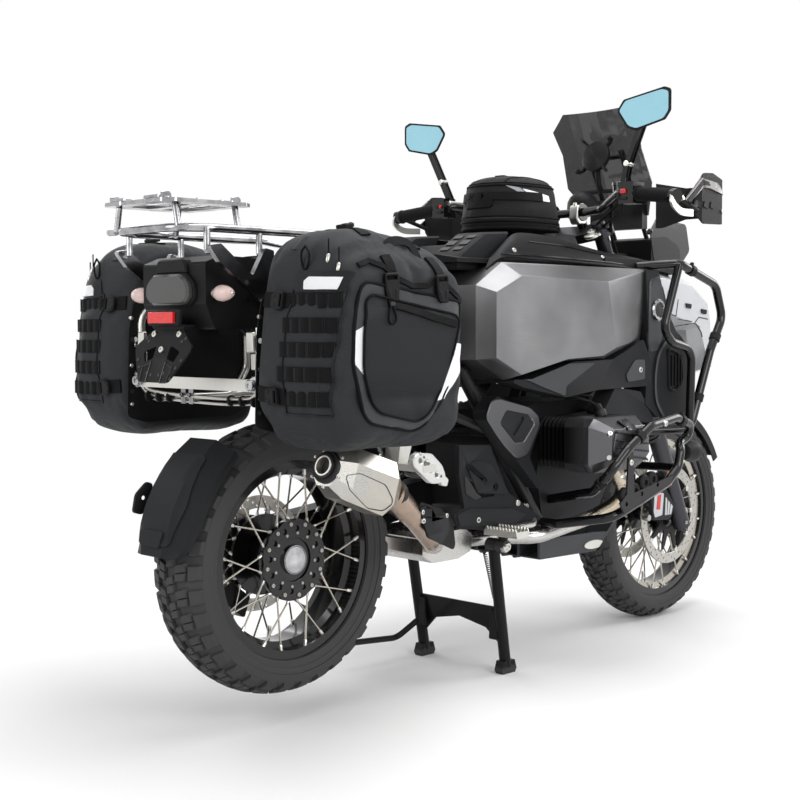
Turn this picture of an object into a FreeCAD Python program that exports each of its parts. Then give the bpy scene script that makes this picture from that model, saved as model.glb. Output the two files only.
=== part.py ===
import FreeCAD, Part
import os
from math import atan2, cos, hypot, pi, radians, sin, tan

# Adventure motorcycle on its centre stand, with soft side bags, tank bag and crash bars.
# Millimetres. X forward, Y to the rider's left, Z up, floor at Z = 0.
# Pieces are drawn with the rear axle at X = 0, then moved so that the origin lies under the middle.
# A span is a pair: where a piece starts and where it ends along one axis.
# A share is a part of the size or span that it follows: 0 is its start and 1 its end.

# Layout
WHEELBASE = 1534.0
RAKE = 26.2
TRAIL = 119.0
REAR_AXLE_Z = 371.6
RUNNING_GAP = 0.05
SEAT_GAP = 0.3
MOVING_GAP = 6.0
OVERRUN = 4.0
CHIP = 0.02


def from_axle(*offsets):
    """Places along X, given as runs from the front axle."""
    return tuple(WHEELBASE + offset for offset in offsets)



# Wheels
FRONT_TYRE_RADIUS = 325.0
FRONT_TYRE_HALF = 60.0
FRONT_RIM_RADIUS = 255.0
FRONT_RIM_HALF = 45.0
REAR_TYRE_RADIUS = 318.0
REAR_TYRE_HALF = 85.0
REAR_RIM_RADIUS = 230.0
REAR_RIM_HALF = 65.0
TYRE_WALL = 13.0
RIM_FLANGE = 5.0
RIM_BED_DROP = 14.0
RIM_WELL_DROP = 30.0
RIM_WELL_HALF = 22.0
RIM_WALL = 6.0
SPOKE_RADIUS = 2.4
SPOKE_PAIRS = 10
SPOKE_SIDES = 6
SPOKE_RIM_INSET = 7.0
SPOKE_SINK = 5.0
DISC_THICK = 5.0
DISC_BAND = 30.0
DISC_ARMS = 10
DISC_ARM_WIDTH = 12.0
DISC_HOLE_RADIUS = 4.0
DISC_HOLES = 20

# Front hub, discs and axle
FRONT_AXLE_RADIUS = 12.5
FRONT_HUB_RADIUS = 30.0
FRONT_HUB_FLANGE = 62.0
FRONT_HUB_FLANGE_Y = 40.0
FRONT_DISC_RADIUS = 152.0
FRONT_DISC_Y = 76.0
FRONT_DISC_SEAT = 52.0

# Rear hub, disc and spindle
SPINDLE_RADIUS = 34.0
SPINDLE_BORE = 24.0
SPINDLE_END_Y = 12.0
REAR_HUB_BORE = 26.0
REAR_HUB_RADIUS = 58.0
REAR_HUB_FLANGE = 96.0
REAR_HUB_FACE_Y = 60.0
REAR_HUB_INNER_Y = 44.0
REAR_DISC_RADIUS = 138.0
REAR_DISC_Y = 70.0
REAR_DISC_SEAT = 54.0
HUB_FLANGE_THICK = 8.0

# Fork and steering
FORK_HALF = 112.0
SLIDER_RADIUS = 27.0
STANCHION_RADIUS = 20.5
SLIDER_TOP = 640.0
LOWER_BRIDGE_AT = 840.0
BRIDGE_THICK = 26.0
UPPER_BRIDGE_AT = 1282.0
FORK_TOP_PROUD = 14.0
STEM_RADIUS = 14.0
HEAD_RADIUS = 34.0
HEAD_SPAN = (1214.0, 1274.0)
BALL_EYE_RADIUS = 32.0
BALL_EYE_DROP = 14.0
BALL_EYE_HIGH = 42.0
BALL_EYE_SPAN = (LOWER_BRIDGE_AT - BALL_EYE_DROP - BALL_EYE_HIGH, LOWER_BRIDGE_AT - BALL_EYE_DROP)
CALIPER_LONG = 105.0
CALIPER_DEEP = 52.0
CALIPER_CHEEK = 19.0

# Handlebar
BAR_RADIUS = 12.0
BAR_GRIP_Y = 481.0
BAR_GRIP_SET_BACK = -618.0
BAR_GRIP_X = from_axle(BAR_GRIP_SET_BACK)[0]
BAR_GRIP_Z = 1240.0
GRIP_RADIUS = 17.0
GRIP_LENGTH = 128.0
BAR_BENDS_SET_BACK = (-578.0, -462.0, -436.0)
BAR_BENDS_X = from_axle(*BAR_BENDS_SET_BACK)
BAR_KNEE = (BAR_BENDS_X[0], 290.0, 1264.0)
BAR_RISE = (BAR_BENDS_X[1], 150.0, 1236.0)
BAR_CLAMP = (BAR_BENDS_X[2], 50.0, 1232.0)
RISER_RADIUS = 15.0
CLAMP_RADIUS = 24.0
CLAMP_WIDTH = 34.0
SWITCH_SIZE = (52.0, 46.0, 56.0)
LEVER_RADIUS = 6.0
GUARD_WALL = 5.0
MIRROR_SET_BACK = (-612.0, -582.0, -594.0, -601.0)
MIRROR_X = from_axle(*MIRROR_SET_BACK)
MIRROR_CENTRE = (MIRROR_X[0], 388.0, 1468.0)
MIRROR_HALF_WIDTH = 84.0
MIRROR_HALF_HEIGHT = 52.0
MIRROR_DEPTH = 22.0
MIRROR_STALK_RADIUS = 6.5
MIRROR_BASE = (MIRROR_X[1], 306.0, 1268.0)
MIRROR_KNEE = (MIRROR_X[2], 330.0, 1335.0)
MIRROR_JOINT = (MIRROR_X[3], 380.0, 1440.0)
GUARD_SET_BACK = (-514.0, -340.0)
GUARD_X = from_axle(*GUARD_SET_BACK)
GUARD_Y = (280.0, 488.0)
GUARD_Z = (1176.0, 1311.0)

# Engine
ENGINE_X = (640.0, 1112.0)
ENGINE_Z = (330.0, 705.0)
ENGINE_HALF = 152.0
GEARBOX_HALF = 120.0
CYLINDER_X = 868.0
CYLINDER_Z = 600.0
BARREL_RADIUS = 56.0
BARREL_Y = (152.0, 262.0)
FIN_X = (786.0, 950.0)
FIN_Z = (530.0, 668.0)
FIN_THICK = 4.0
FIN_COUNT = 8
HEAD_Y = (262.0, 322.0)
HEAD_X = (758.0, 988.0)
HEAD_Z = (530.0, 672.0)
COVER_Y = (322.0, 388.0)
COVER_TAPER = 34.0
COVER_CORNER = 26.0
SUMP_GUARD_X = (800.0, 1150.0)
SUMP_GUARD_Z = (276.0, 372.0)
SUMP_GUARD_HALF = 150.0
SUMP_GUARD_WALL = 4.0

# Exhaust
HEADER_RADIUS = 19.0
HEADER_BEND = 70.0
COLLECTOR_X = (372.0, 560.0)
COLLECTOR_Y = (-120.0, 90.0)
COLLECTOR_Z = (318.0, 392.0)
COLLECTOR_CORNER = 9.0
LINK_PIPE_RADIUS = 25.0
LINK_KNEE = (300.0, -215.0, 402.0)
LINK_CONE = (190.0, -262.0, 470.0)
CONE_RADII = (26.0, 35.0)
SHIELD_X = (150.0, 356.0)
SHIELD_Y = (-300.0, -246.0)
SHIELD_Z = (370.0, 518.0)
SHIELD_WALL = 4.0
SILENCER_FRONT = (86.0, -290.0, 540.0)
SILENCER_REAR = (-118.0, -306.0, 612.0)
SILENCER_HEIGHT = 122.0
SILENCER_WIDTH = 96.0
TAILPIPE_RADIUS = 22.0

# Swingarm, final drive and shocks
SWINGARM_PIVOT = (628.0, 0.0, 452.0)
SWINGARM_Y = (98.0, 160.0)
SWINGARM_HIGH = 86.0
DRIVE_RADIUS = 88.0
DRIVE_Y = (80.0, 176.0)
REAR_CALIPER_LONG = 90.0
SHOCK_FOOT = (402.0, 40.0, 452.0)
SHOCK_TOP = (462.0, 40.0, 800.0)
SPRING_RADIUS = 40.0
SPRING_WIRE = 6.5
SPRING_TURNS = 7
FRONT_SHOCK_SHARE = 0.457
FRONT_SHOCK_LIFT = 22.0
FRONT_SHOCK_TOP = (1082.0, 0.0, 990.0)
FRONT_SPRING_RADIUS = 28.0
ARM_PIVOT = (1000.0, 96.0, 640.0)
ARM_THICK = 34.0

# Frame
FRAME_TUBE = 17.0
FRAME_HALF = 165.0
SUBFRAME_TUBE = 12.5
SUBFRAME_HALF = 96.0
STAND_PIVOT = (607.0, 150.0, 345.0)
STAND_PIN = 9.0
STAND_LUG_RADIUS = 18.0
STAND_LUG_WIDTH = 30.0

# Centre stand and side stand
STAND_FOOT_X = 662.0
STAND_FOOT_HALF = 146.0
STAND_LEG_RADIUS = 15.0
STAND_FOOT_RADIUS = 17.0
STAND_FOOT_LONG = 60.0
STAND_FOOT_WIDE = 26.0
STAND_PLATE_Z = (88.0, 176.0)
STAND_PLATE_THICK = 5.0
STAND_TANG_X = 394.0
STAND_TANG_Y = 176.0
SIDE_STAND_PIVOT = (762.0, 198.0, 296.0)
SIDE_STAND_LENGTH = 285.0
SIDE_STAND_RADIUS = 12.0
SIDE_STAND_PAD = 34.0

# Tank, cover and fairings
TANK_X = (438.0, 1186.0)
TANK_Z = (775.0, 1068.0)
TANK_SHOULDER = 236.0
TANK_FACE = 290.0
TANK_TUNNEL_HALF = 118.0
TANK_TUNNEL_TOP = 1010.0
TANK_WALL = 8.0
COVER_X = (410.0, 1040.0)
COVER_Z = (1066.0, 1160.0)
TANK_COVER_HALF = 200.0
TANK_COVER_TOP_HALF = 132.0
STRIP_X = (1000.0, 1262.0)
STRIP_Z = (1068.0, 1096.0)
STRIP_Y = (166.0, 214.0)
FAIRING_X = (530.0, 1166.0)
FAIRING_Z = (724.0, 872.0)
FAIRING_Y = (196.0, 258.0)
DUCT_FROM_AXLE = (-394.0, -142.0)
DUCT_X = from_axle(*DUCT_FROM_AXLE)
DUCT_Z = (650.0, 1066.0)
DUCT_Y = (176.0, 252.0)
DUCT_WALL = 5.0
FORK_WELL_EXTRA = 8.0
INTAKE_X = (942.0, 1195.0)
INTAKE_Y = (192.0, 250.0)
INTAKE_Z = (633.0, 743.0)

# Front
BEAK_FROM_AXLE = (-204.0, 241.0)
BEAK_X = from_axle(*BEAK_FROM_AXLE)
BEAK_Z = (760.0, 1085.0)
BEAK_HALF = 112.0
BEAK_RIDGE_HALF = 46.0
LAMP_FROM_AXLE = (-138.0, 26.0)
LAMP_X = from_axle(*LAMP_FROM_AXLE)
LAMP_Z = (1066.0, 1180.0)
LAMP_HALF = 96.0
LENS_RADIUS = 36.0
SCREEN_FROM_AXLE = (-142.0, -286.0)
SCREEN_FOOT_X, SCREEN_TOP_X = from_axle(*SCREEN_FROM_AXLE)
SCREEN_Z = (1238.0, 1541.0)
SCREEN_HALF = 152.0
SCREEN_WALL = 4.0
SCREEN_BOW = 34.0
DEFLECTOR_FROM_AXLE = (-318.0, -114.0)
DEFLECTOR_X = from_axle(*DEFLECTOR_FROM_AXLE)
DEFLECTOR_Z = (1092.0, 1216.0)
DEFLECTOR_Y = 214.0
STAY_RADIUS = 7.0
STAY_HALF = 58.0
DASH_SIZE = (26.0, 190.0, 92.0)

# Seats and tail
SEAT_X = (64.0, 436.0)
SEAT_Z = (856.0, 1000.0)
SEAT_HALF = 150.0
PILLION_X = (-170.0, 96.0)
PILLION_Z = (950.0, 1066.0)
PILLION_HALF = 128.0
TAIL_X = (-286.0, 120.0)
TAIL_Z = (904.0, 1062.0)
TAIL_HALF = 112.0
TAIL_LAMP_X = (-312.0, -284.0)
TAIL_LAMP_Z = (956.0, 1052.0)
TAIL_LAMP_HALF = 62.0
PLATE_TOP = (-300.0, 904.0)
PLATE_FOOT = (-346.0, 790.0)
PLATE_HALF = 104.0
PLATE_WALL = 5.0
INDICATOR_X = -266.0
INDICATOR_Y = (122.0, 178.0)
INDICATOR_Z = 980.0
INDICATOR_RADIUS = 17.0

# Rack
RACK_X = (-392.0, -160.0)
RACK_Z = (1143.0, 1176.0)
RACK_HALF = 122.0
RACK_PLATE = 8.0
RACK_TUBE = 9.0
RACK_LOOP_X = (-358.0, 196.0)
RACK_LOOP_Z = 1116.0
RACK_LOOP_HALF = 140.0
RACK_HOLE_RADIUS = 4.3
RACK_HOLE_SPACING = (140.0, 190.0)
RACK_SIDE_Y = (160.0, 174.0)

# Bags and their frame
BAG_X = (-262.0, 150.0)
BAG_WIDTH = 242.0
BAG_Z = (660.0, 1114.0)
BAG_FRAME_TUBE = 9.0
BAG_FRAME_Y = 222.0
BAG_Y = (BAG_FRAME_Y + BAG_FRAME_TUBE + SEAT_GAP, BAG_FRAME_Y + BAG_FRAME_TUBE + SEAT_GAP + BAG_WIDTH)
BAG_FRAME_X = (-216.0, 96.0)
BAG_FRAME_Z = (742.0, 957.0)
CROSS_BAR_X = -232.0
CROSS_BAR_Z = 785.0
CROSS_BAR_HIGH = 26.0
CROSS_BAR_DEEP = 10.0
TANK_BAG_X = (706.0, 1000.0)
TANK_BAG_HALF = 112.0
TANK_BAG_HIGH = 152.0

# Splash guard
SPLASH_RADIUS = 358.0
SPLASH_WALL = 5.0
SPLASH_ANGLES = (126.0, 173.0)
SPLASH_HALF = 96.0
SPLASH_DROP = 34.0
SPLASH_LIP = 16.0
SPLASH_ARM_RADIUS = 9.0

# Pegs and side covers
PEG_X = 520.0
PEG_Z = 398.0
PEG_Y = (212.0, 318.0)
PEG_WIDTH = 44.0
PEG_HIGH = 16.0
PILLION_PEG_X = 206.0
PILLION_PEG_Z = 592.0
PILLION_PEG_Y = (214.0, 300.0)
HEEL_X = (382.0, 722.0)
HEEL_Z = (385.0, 620.0)
HEEL_Y = (203.0, 214.0)
HEEL_HOLE_RADIUS = 7.0
PANEL_X = (492.0, 736.0)
PANEL_Z = (454.0, 735.0)
PANEL_Y = (178.0, 222.0)

# Crash bars
BAR_TUBE = 12.5
LOWER_BAR_X = (760.0, 1160.0)
LOWER_BAR_Y = (176.0, 412.0)
LOWER_BAR_Z = (390.0, 664.0)
BAR_PLATE_WALL = 5.0
BAR_PLATE_HOLE = 6.0
UPPER_BAR_FROM_AXLE = (-394.0, -72.0)
UPPER_BAR_X = from_axle(*UPPER_BAR_FROM_AXLE)
UPPER_BAR_Y = (120.0, 300.0)
UPPER_BAR_Z = (600.0, 1084.0)
BAR_BEND = 46.0

# Front fender
FENDER_GAP = 16.0
FENDER_WALL = 4.0
FENDER_HALF = 68.0
FENDER_ANGLES = (28.0, 128.0)


def vec(x, y, z):
    return FreeCAD.Vector(x, y, z)


def within(span, share):
    return span[0] + (span[1] - span[0]) * share


def middle(span):
    return (span[0] + span[1]) / 2


def length_of(span):
    return span[1] - span[0]


def flip(shape):
    return shape.mirror(vec(0, 0, 0), vec(0, 1, 0))


def pair_of(shape):
    return Part.makeCompound([shape, flip(shape)])


def side_point(point, side=1):
    return vec(point[0], side * point[1], point[2])


def polar(centre, radius, angle):
    """Point at an angle about a wheel centre, 0 forward and 90 up."""
    return vec(centre.x + radius * cos(radians(angle)), 0, centre.z + radius * sin(radians(angle)))


def corner_arc(before, corner, after, radius):
    """Start, middle and end of the arc that rounds one corner."""
    back = before - corner
    ahead = after - corner
    room = min(back.Length, ahead.Length) * CORNER_ROOM_SHARE
    back.normalize()
    ahead.normalize()
    half_angle = back.getAngle(ahead) / 2
    if pi / 2 - half_angle < STRAIGHT_TURN:
        return None
    run = min(radius / tan(half_angle), room)
    radius = run * tan(half_angle)
    bisector = back + ahead
    bisector.normalize()
    centre = corner + bisector * (radius / sin(half_angle))
    return corner + back * run, centre - bisector * radius, corner + ahead * run


CORNER_ROOM_SHARE = 0.49
STRAIGHT_TURN = 0.01


def round_path(points, radius, closed=False):
    """A wire through points, each corner rounded by a tangent arc."""
    count = len(points)
    corners = range(count) if closed else range(1, count - 1)
    arcs = {i: corner_arc(points[i - 1], points[i], points[(i + 1) % count], radius) for i in corners}
    edges = []
    at = points[0] if not closed else None
    if closed:
        last = arcs[count - 1]
        at = last[2] if last else points[count - 1]
    for i in range(count):
        arc = arcs.get(i)
        if arc:
            if (arc[0] - at).Length > STRAIGHT_TURN:
                edges.append(Part.LineSegment(at, arc[0]).toShape())
            edges.append(Part.Arc(*arc).toShape())
            at = arc[2]
        elif (points[i] - at).Length > STRAIGHT_TURN:
            edges.append(Part.LineSegment(at, points[i]).toShape())
            at = points[i]
    return Part.Wire(edges)


def slab(points, span_y, corner=0.0):
    """Outline in X and Z, given as (x, z), raised along Y over a span."""
    at = [vec(x, span_y[0], z) for x, z in points]
    wire = round_path(at, corner, True) if corner else Part.makePolygon(at + at[:1])
    return Part.Face(wire).extrude(vec(0, length_of(span_y), 0))


def outline(span_x, span_z, shares):
    return [(within(span_x, u), within(span_z, w)) for u, w in shares]


def bevel_loft(lower, lower_y, upper, upper_y):
    """Straight-sided loft between two outlines of as many points at two widths."""
    wires = []
    for points, y in ((lower, lower_y), (upper, upper_y)):
        at = [vec(x, y, z) for x, z in points]
        wires.append(Part.makePolygon(at + at[:1]))
    return Part.makeLoft(wires, True, True)


def cushion(span_x, span_z, half, shares, crown_share):
    """Plain soft body: a side outline with its top edges drawn in."""
    points = outline(span_x, span_z, shares)
    mid_x, mid_z = middle(span_x), middle(span_z)
    inner = [(mid_x + (x - mid_x) * crown_share, mid_z + (z - mid_z) * crown_share) for x, z in points]
    shoulder = half * crown_share
    side = bevel_loft(points, shoulder, inner, half)
    return slab(points, (-shoulder, shoulder)).multiFuse([side, flip(side)]).removeSplitter()


def tube(points, radius, bend):
    path = round_path(points, bend)
    ring = Part.Wire(Part.makeCircle(radius, points[0], points[1] - points[0]))
    return path.makePipeShell([ring], True, False)


def middle_of(start, end):
    return (start + end) * (1 / 2)


def rod(start, end, radius):
    run = end - start
    return Part.makeCylinder(radius, run.Length, start, run)


def hex_rod(start, end, radius, sides):
    run = end - start
    side = run.cross(vec(0, 1, 0))
    side.normalize()
    up = run.cross(side)
    up.normalize()
    ring = []
    for i in range(sides):
        turn = 2 * pi * i / sides
        ring.append(start + side * (radius * cos(turn)) + up * (radius * sin(turn)))
    return Part.Face(Part.makePolygon(ring + ring[:1])).extrude(run)


def lathe(profile, centre):
    """Turn a closed outline of (y, radius) points about the Y axis through a centre."""
    at = [vec(centre.x, y, centre.z + radius) for y, radius in profile]
    face = Part.Face(Part.makePolygon(at + at[:1]))
    return face.revolve(centre, vec(0, 1, 0), 360)


def mirrored(chain):
    """A half profile, read from the right edge to the middle, with its mirror image."""
    return chain + [(-y, radius) for y, radius in reversed(chain)]


def box(span_x, span_y, span_z):
    corner = vec(span_x[0], span_y[0], span_z[0])
    return Part.makeBox(length_of(span_x), length_of(span_y), length_of(span_z), corner)


def tidy(shape):
    """Drop the chips that a cut leaves and give back one clean shape."""
    solids = [s for s in shape.Solids if s.Volume > 0]
    if not solids:
        return shape
    largest = max(s.Volume for s in solids)
    kept = [s for s in solids if s.Volume > largest * CHIP]
    return kept[0] if len(kept) == 1 else Part.makeCompound(kept)


def trim(shape, *others):
    """Cut a piece back to where its neighbours start."""
    for other in others:
        if shape.BoundBox.intersect(other.BoundBox):
            shape = shape.cut(other)
    return tidy(shape)


def join(*shapes):
    return shapes[0].multiFuse(list(shapes[1:])).removeSplitter()


REAR_AXLE = vec(0, 0, REAR_AXLE_Z)
FRONT_AXLE = vec(WHEELBASE, 0, FRONT_TYRE_RADIUS)
STEER_FOOT = vec(WHEELBASE + TRAIL, 0, 0)
STEER_AXIS = vec(-sin(radians(RAKE)), 0, cos(radians(RAKE)))
STEER_AHEAD = vec(cos(radians(RAKE)), 0, sin(radians(RAKE)))
AXLE_AT = (FRONT_AXLE - STEER_FOOT).dot(STEER_AXIS)
FORK_AHEAD = (FRONT_AXLE - STEER_FOOT).dot(STEER_AHEAD)


def steer(at, y=0.0, ahead=0.0):
    """Point by its place along the steering axis, to the left of it and ahead of it."""
    return STEER_FOOT + STEER_AXIS * at + STEER_AHEAD * ahead + vec(0, y, 0)


def fork_well():
    """Room that the fork legs sweep about the steering axis."""
    reach = hypot(FORK_HALF, FORK_AHEAD) + SLIDER_RADIUS + FORK_WELL_EXTRA
    return rod(steer(SLIDER_TOP), steer(UPPER_BRIDGE_AT + HEAD_RADIUS * 5), reach)


# Wheels

TYRE_CROWN_SHARES = (0.92, 0.70)
TYRE_BULGE_SHARE = 0.38
TYRE_INNER_SHARES = (0.80, 0.58)


def tyre(centre, radius, half, rim_radius, rim_half):
    high = radius - rim_radius
    bed = rim_radius - RIM_BED_DROP
    bead = rim_half - RIM_FLANGE
    toe = bead - TYRE_WALL
    shoulder_y, shoulder_r = half * TYRE_CROWN_SHARES[0], rim_radius + high * TYRE_CROWN_SHARES[1]
    inner_y, inner_r = half * TYRE_INNER_SHARES[0], rim_radius + high * TYRE_INNER_SHARES[1]

    def at(y, r):
        return vec(centre.x, y, centre.z + r)

    def line(a, b):
        return Part.LineSegment(at(*a), at(*b)).toShape()

    def arc(a, b, c):
        return Part.Arc(at(*a), at(*b), at(*c)).toShape()

    edges = [arc((shoulder_y, shoulder_r), (0, radius), (-shoulder_y, shoulder_r))]
    edges.append(arc((inner_y, inner_r), (0, radius - TYRE_WALL), (-inner_y, inner_r)))
    for side in (1, -1):
        bulge = (side * half, rim_radius + high * TYRE_BULGE_SHARE)
        edges.append(arc((side * shoulder_y, shoulder_r), bulge, (side * bead, rim_radius)))
        edges.append(line((side * bead, rim_radius), (side * bead, bed)))
        edges.append(line((side * bead, bed), (side * toe, bed)))
        edges.append(line((side * toe, bed), (side * toe, rim_radius)))
        edges.append(line((side * toe, rim_radius), (side * inner_y, inner_r)))
    face = Part.Face(Part.Wire(Part.__sortEdges__(edges)))
    return face.revolve(centre, vec(0, 1, 0), 360)


def rim_ring(centre, rim_radius, rim_half):
    bed = rim_radius - RIM_BED_DROP
    well = rim_radius - RIM_WELL_DROP
    inside = rim_half - RIM_FLANGE
    outer = [(rim_half, rim_radius), (inside, rim_radius), (inside, bed)]
    outer += [(RIM_WELL_HALF + RIM_WALL, bed), (RIM_WELL_HALF, well)]
    under = [(-RIM_WELL_HALF - RIM_WALL, well - RIM_WALL)]
    under += [(-RIM_WELL_HALF - RIM_WALL * 2, bed - RIM_WALL), (-rim_half, bed - RIM_WALL)]
    chain = mirrored(outer) + [(y, r) for y, r in reversed(under)]
    chain += [(-y, r) for y, r in under]
    return lathe(chain, centre)


def spokes(centre, hub_radius, hub_y, rim_radius, rim_y, pairs, sweep_hub, sweep_rim, offset):
    """Crossed pairs of spokes on one side, from the hub flange to the rim's edge."""
    rods = []
    for i in range(pairs):
        angle = offset + 360.0 * i / pairs
        for way in (1, -1):
            start = polar(centre, hub_radius, angle + way * sweep_hub) + vec(0, hub_y, 0)
            end = polar(centre, rim_radius, angle - way * sweep_rim) + vec(0, rim_y, 0)
            rods.append(hex_rod(start, end, SPOKE_RADIUS, SPOKE_SIDES))
    return rods


SPOKE_HUB_SWEEP = 13.0
SPOKE_RIM_SWEEP = 8.0


def front_rim():
    bore = FRONT_AXLE_RADIUS + RUNNING_GAP
    face = FRONT_DISC_Y - DISC_THICK / 2
    flange = FRONT_HUB_FLANGE_Y
    chain = [(face, bore), (face, FRONT_DISC_SEAT), (face - HUB_FLANGE_THICK, FRONT_DISC_SEAT)]
    chain += [(face - HUB_FLANGE_THICK * 2, FRONT_HUB_RADIUS), (flange + HUB_FLANGE_THICK / 2, FRONT_HUB_RADIUS)]
    chain += [(flange + HUB_FLANGE_THICK / 2, FRONT_HUB_FLANGE), (flange - HUB_FLANGE_THICK / 2, FRONT_HUB_FLANGE)]
    chain += [(flange - HUB_FLANGE_THICK, FRONT_HUB_RADIUS)]
    parts = [lathe(mirrored(chain), FRONT_AXLE)]
    hub_at = FRONT_HUB_FLANGE - SPOKE_SINK
    rim_at = FRONT_RIM_RADIUS - RIM_BED_DROP - SPOKE_SINK / 2
    pitch = 360.0 / SPOKE_PAIRS
    for side, offset in ((1, 0.0), (-1, pitch / 2)):
        parts += spokes(FRONT_AXLE, hub_at, side * flange, rim_at, side * (FRONT_RIM_HALF - SPOKE_RIM_INSET),
                        SPOKE_PAIRS, SPOKE_HUB_SWEEP, SPOKE_RIM_SWEEP, offset)
    return rim_ring(FRONT_AXLE, FRONT_RIM_RADIUS, FRONT_RIM_HALF).multiFuse(parts)


def rear_rim():
    recess = SPINDLE_RADIUS + RUNNING_GAP
    left = REAR_DISC_Y - DISC_THICK / 2
    right = -REAR_HUB_FACE_Y
    chain = [(right, REAR_HUB_BORE), (right, REAR_HUB_FLANGE), (right + HUB_FLANGE_THICK, REAR_HUB_FLANGE)]
    chain += [(right + HUB_FLANGE_THICK * 2, REAR_HUB_RADIUS), (REAR_HUB_INNER_Y - HUB_FLANGE_THICK, REAR_HUB_RADIUS)]
    chain += [(REAR_HUB_INNER_Y, REAR_HUB_FLANGE), (REAR_HUB_INNER_Y + HUB_FLANGE_THICK, REAR_HUB_FLANGE)]
    chain += [(REAR_HUB_INNER_Y + HUB_FLANGE_THICK, REAR_DISC_SEAT), (left, REAR_DISC_SEAT), (left, recess)]
    chain += [(SPINDLE_END_Y - SEAT_GAP, recess), (SPINDLE_END_Y - SEAT_GAP, REAR_HUB_BORE)]
    parts = [lathe(chain, REAR_AXLE)]
    hub_at = REAR_HUB_FLANGE - SPOKE_SINK
    rim_at = REAR_RIM_RADIUS - RIM_BED_DROP - SPOKE_SINK / 2
    rim_y = REAR_RIM_HALF - SPOKE_RIM_INSET
    pitch = 360.0 / SPOKE_PAIRS
    for hub_y, side, offset in ((right + HUB_FLANGE_THICK / 2, -1, 0.0),
                                (REAR_HUB_INNER_Y + HUB_FLANGE_THICK / 2, 1, pitch / 2)):
        parts += spokes(REAR_AXLE, hub_at, hub_y, rim_at, side * rim_y,
                        SPOKE_PAIRS, SPOKE_HUB_SWEEP, SPOKE_RIM_SWEEP, offset)
    return rim_ring(REAR_AXLE, REAR_RIM_RADIUS, REAR_RIM_HALF).multiFuse(parts)


def brake_disc(centre, y, radius, seat):
    """Drilled friction ring on arms that run in to the hub seat."""
    near, far = y - DISC_THICK / 2, y + DISC_THICK / 2
    inner = radius - DISC_BAND
    parts = [lathe([(near, inner), (near, radius), (far, radius), (far, inner)], centre)]
    carrier = (seat - DISC_ARM_WIDTH, seat)
    parts.append(lathe([(near, carrier[0]), (near, carrier[1]), (far, carrier[1]), (far, carrier[0])], centre))
    for i in range(DISC_ARMS):
        angle = 360.0 * i / DISC_ARMS
        start = polar(centre, seat - DISC_ARM_WIDTH / 2, angle)
        end = polar(centre, inner + DISC_ARM_WIDTH / 2, angle + 360.0 / DISC_ARMS / 2)
        across = (end - start).cross(vec(0, 1, 0))
        across.normalize()
        across = across * (DISC_ARM_WIDTH / 2)
        lift = vec(0, near, 0)
        ring = [start + across + lift, end + across + lift, end - across + lift, start - across + lift]
        parts.append(Part.Face(Part.makePolygon(ring + ring[:1])).extrude(vec(0, DISC_THICK, 0)))
    disc = join(*parts)
    holes = []
    for i in range(DISC_HOLES):
        row = DISC_HOLE_ROW_SHARES[i % len(DISC_HOLE_ROW_SHARES)]
        at = polar(centre, inner + DISC_BAND * row, 360.0 * i / DISC_HOLES) + vec(0, near - OVERRUN, 0)
        holes.append(hex_rod(at, at + vec(0, DISC_THICK + OVERRUN * 2, OVERRUN * CHIP * CHIP), DISC_HOLE_RADIUS, 6))
    return disc.cut(Part.makeCompound(holes))


DISC_HOLE_ROW_SHARES = (0.3, 0.7)


def front_discs():
    disc = brake_disc(FRONT_AXLE, FRONT_DISC_Y, FRONT_DISC_RADIUS, FRONT_DISC_SEAT)
    return pair_of(disc)


# Steering

def fork():
    parts = []
    for side in (1, -1):
        y = side * FORK_HALF
        foot = AXLE_AT - SLIDER_RADIUS * 1.4
        parts.append(rod(steer(foot, y, FORK_AHEAD), steer(SLIDER_TOP, y, FORK_AHEAD), SLIDER_RADIUS))
        top = UPPER_BRIDGE_AT + BRIDGE_THICK + FORK_TOP_PROUD
        parts.append(rod(steer(SLIDER_TOP - BRIDGE_THICK, y, FORK_AHEAD), steer(top, y, FORK_AHEAD), STANCHION_RADIUS))
    for at in (LOWER_BRIDGE_AT, UPPER_BRIDGE_AT):
        parts.append(bridge(at))
    parts.append(rod(steer(UPPER_BRIDGE_AT + OVERRUN), steer(HEAD_SPAN[0] + OVERRUN), STEM_RADIUS))
    parts.append(rod(steer(LOWER_BRIDGE_AT + OVERRUN), steer(BALL_EYE_SPAN[0] + OVERRUN), STEM_RADIUS))
    half = FORK_HALF + SLIDER_RADIUS - OVERRUN
    parts.append(rod(FRONT_AXLE - vec(0, half, 0), FRONT_AXLE + vec(0, half, 0), FRONT_AXLE_RADIUS))
    for side in (1, -1):
        parts.append(front_caliper(side))
    return parts[0].multiFuse(parts[1:]).removeSplitter()


def bridge(at):
    """Fork bridge: a waisted plate from leg to leg, square to the steering axis."""
    reach = FORK_HALF + STANCHION_RADIUS + FORK_TOP_PROUD
    nose = FORK_AHEAD + STANCHION_RADIUS + FORK_TOP_PROUD
    ring = []
    for y_share, ahead_share in BRIDGE_SHARES:
        ring.append(steer(at, reach * y_share, nose * ahead_share))
    return Part.Face(round_path(ring, STANCHION_RADIUS, True)).extrude(STEER_AXIS * BRIDGE_THICK)


BRIDGE_SHARES = ((1, 1), (0.55, 1), (0.3, 0.72), (-0.3, 0.72), (-0.55, 1), (-1, 1), (-1, 0.18),
                 (-0.4, -0.42), (0.4, -0.42), (1, 0.18))


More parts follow.
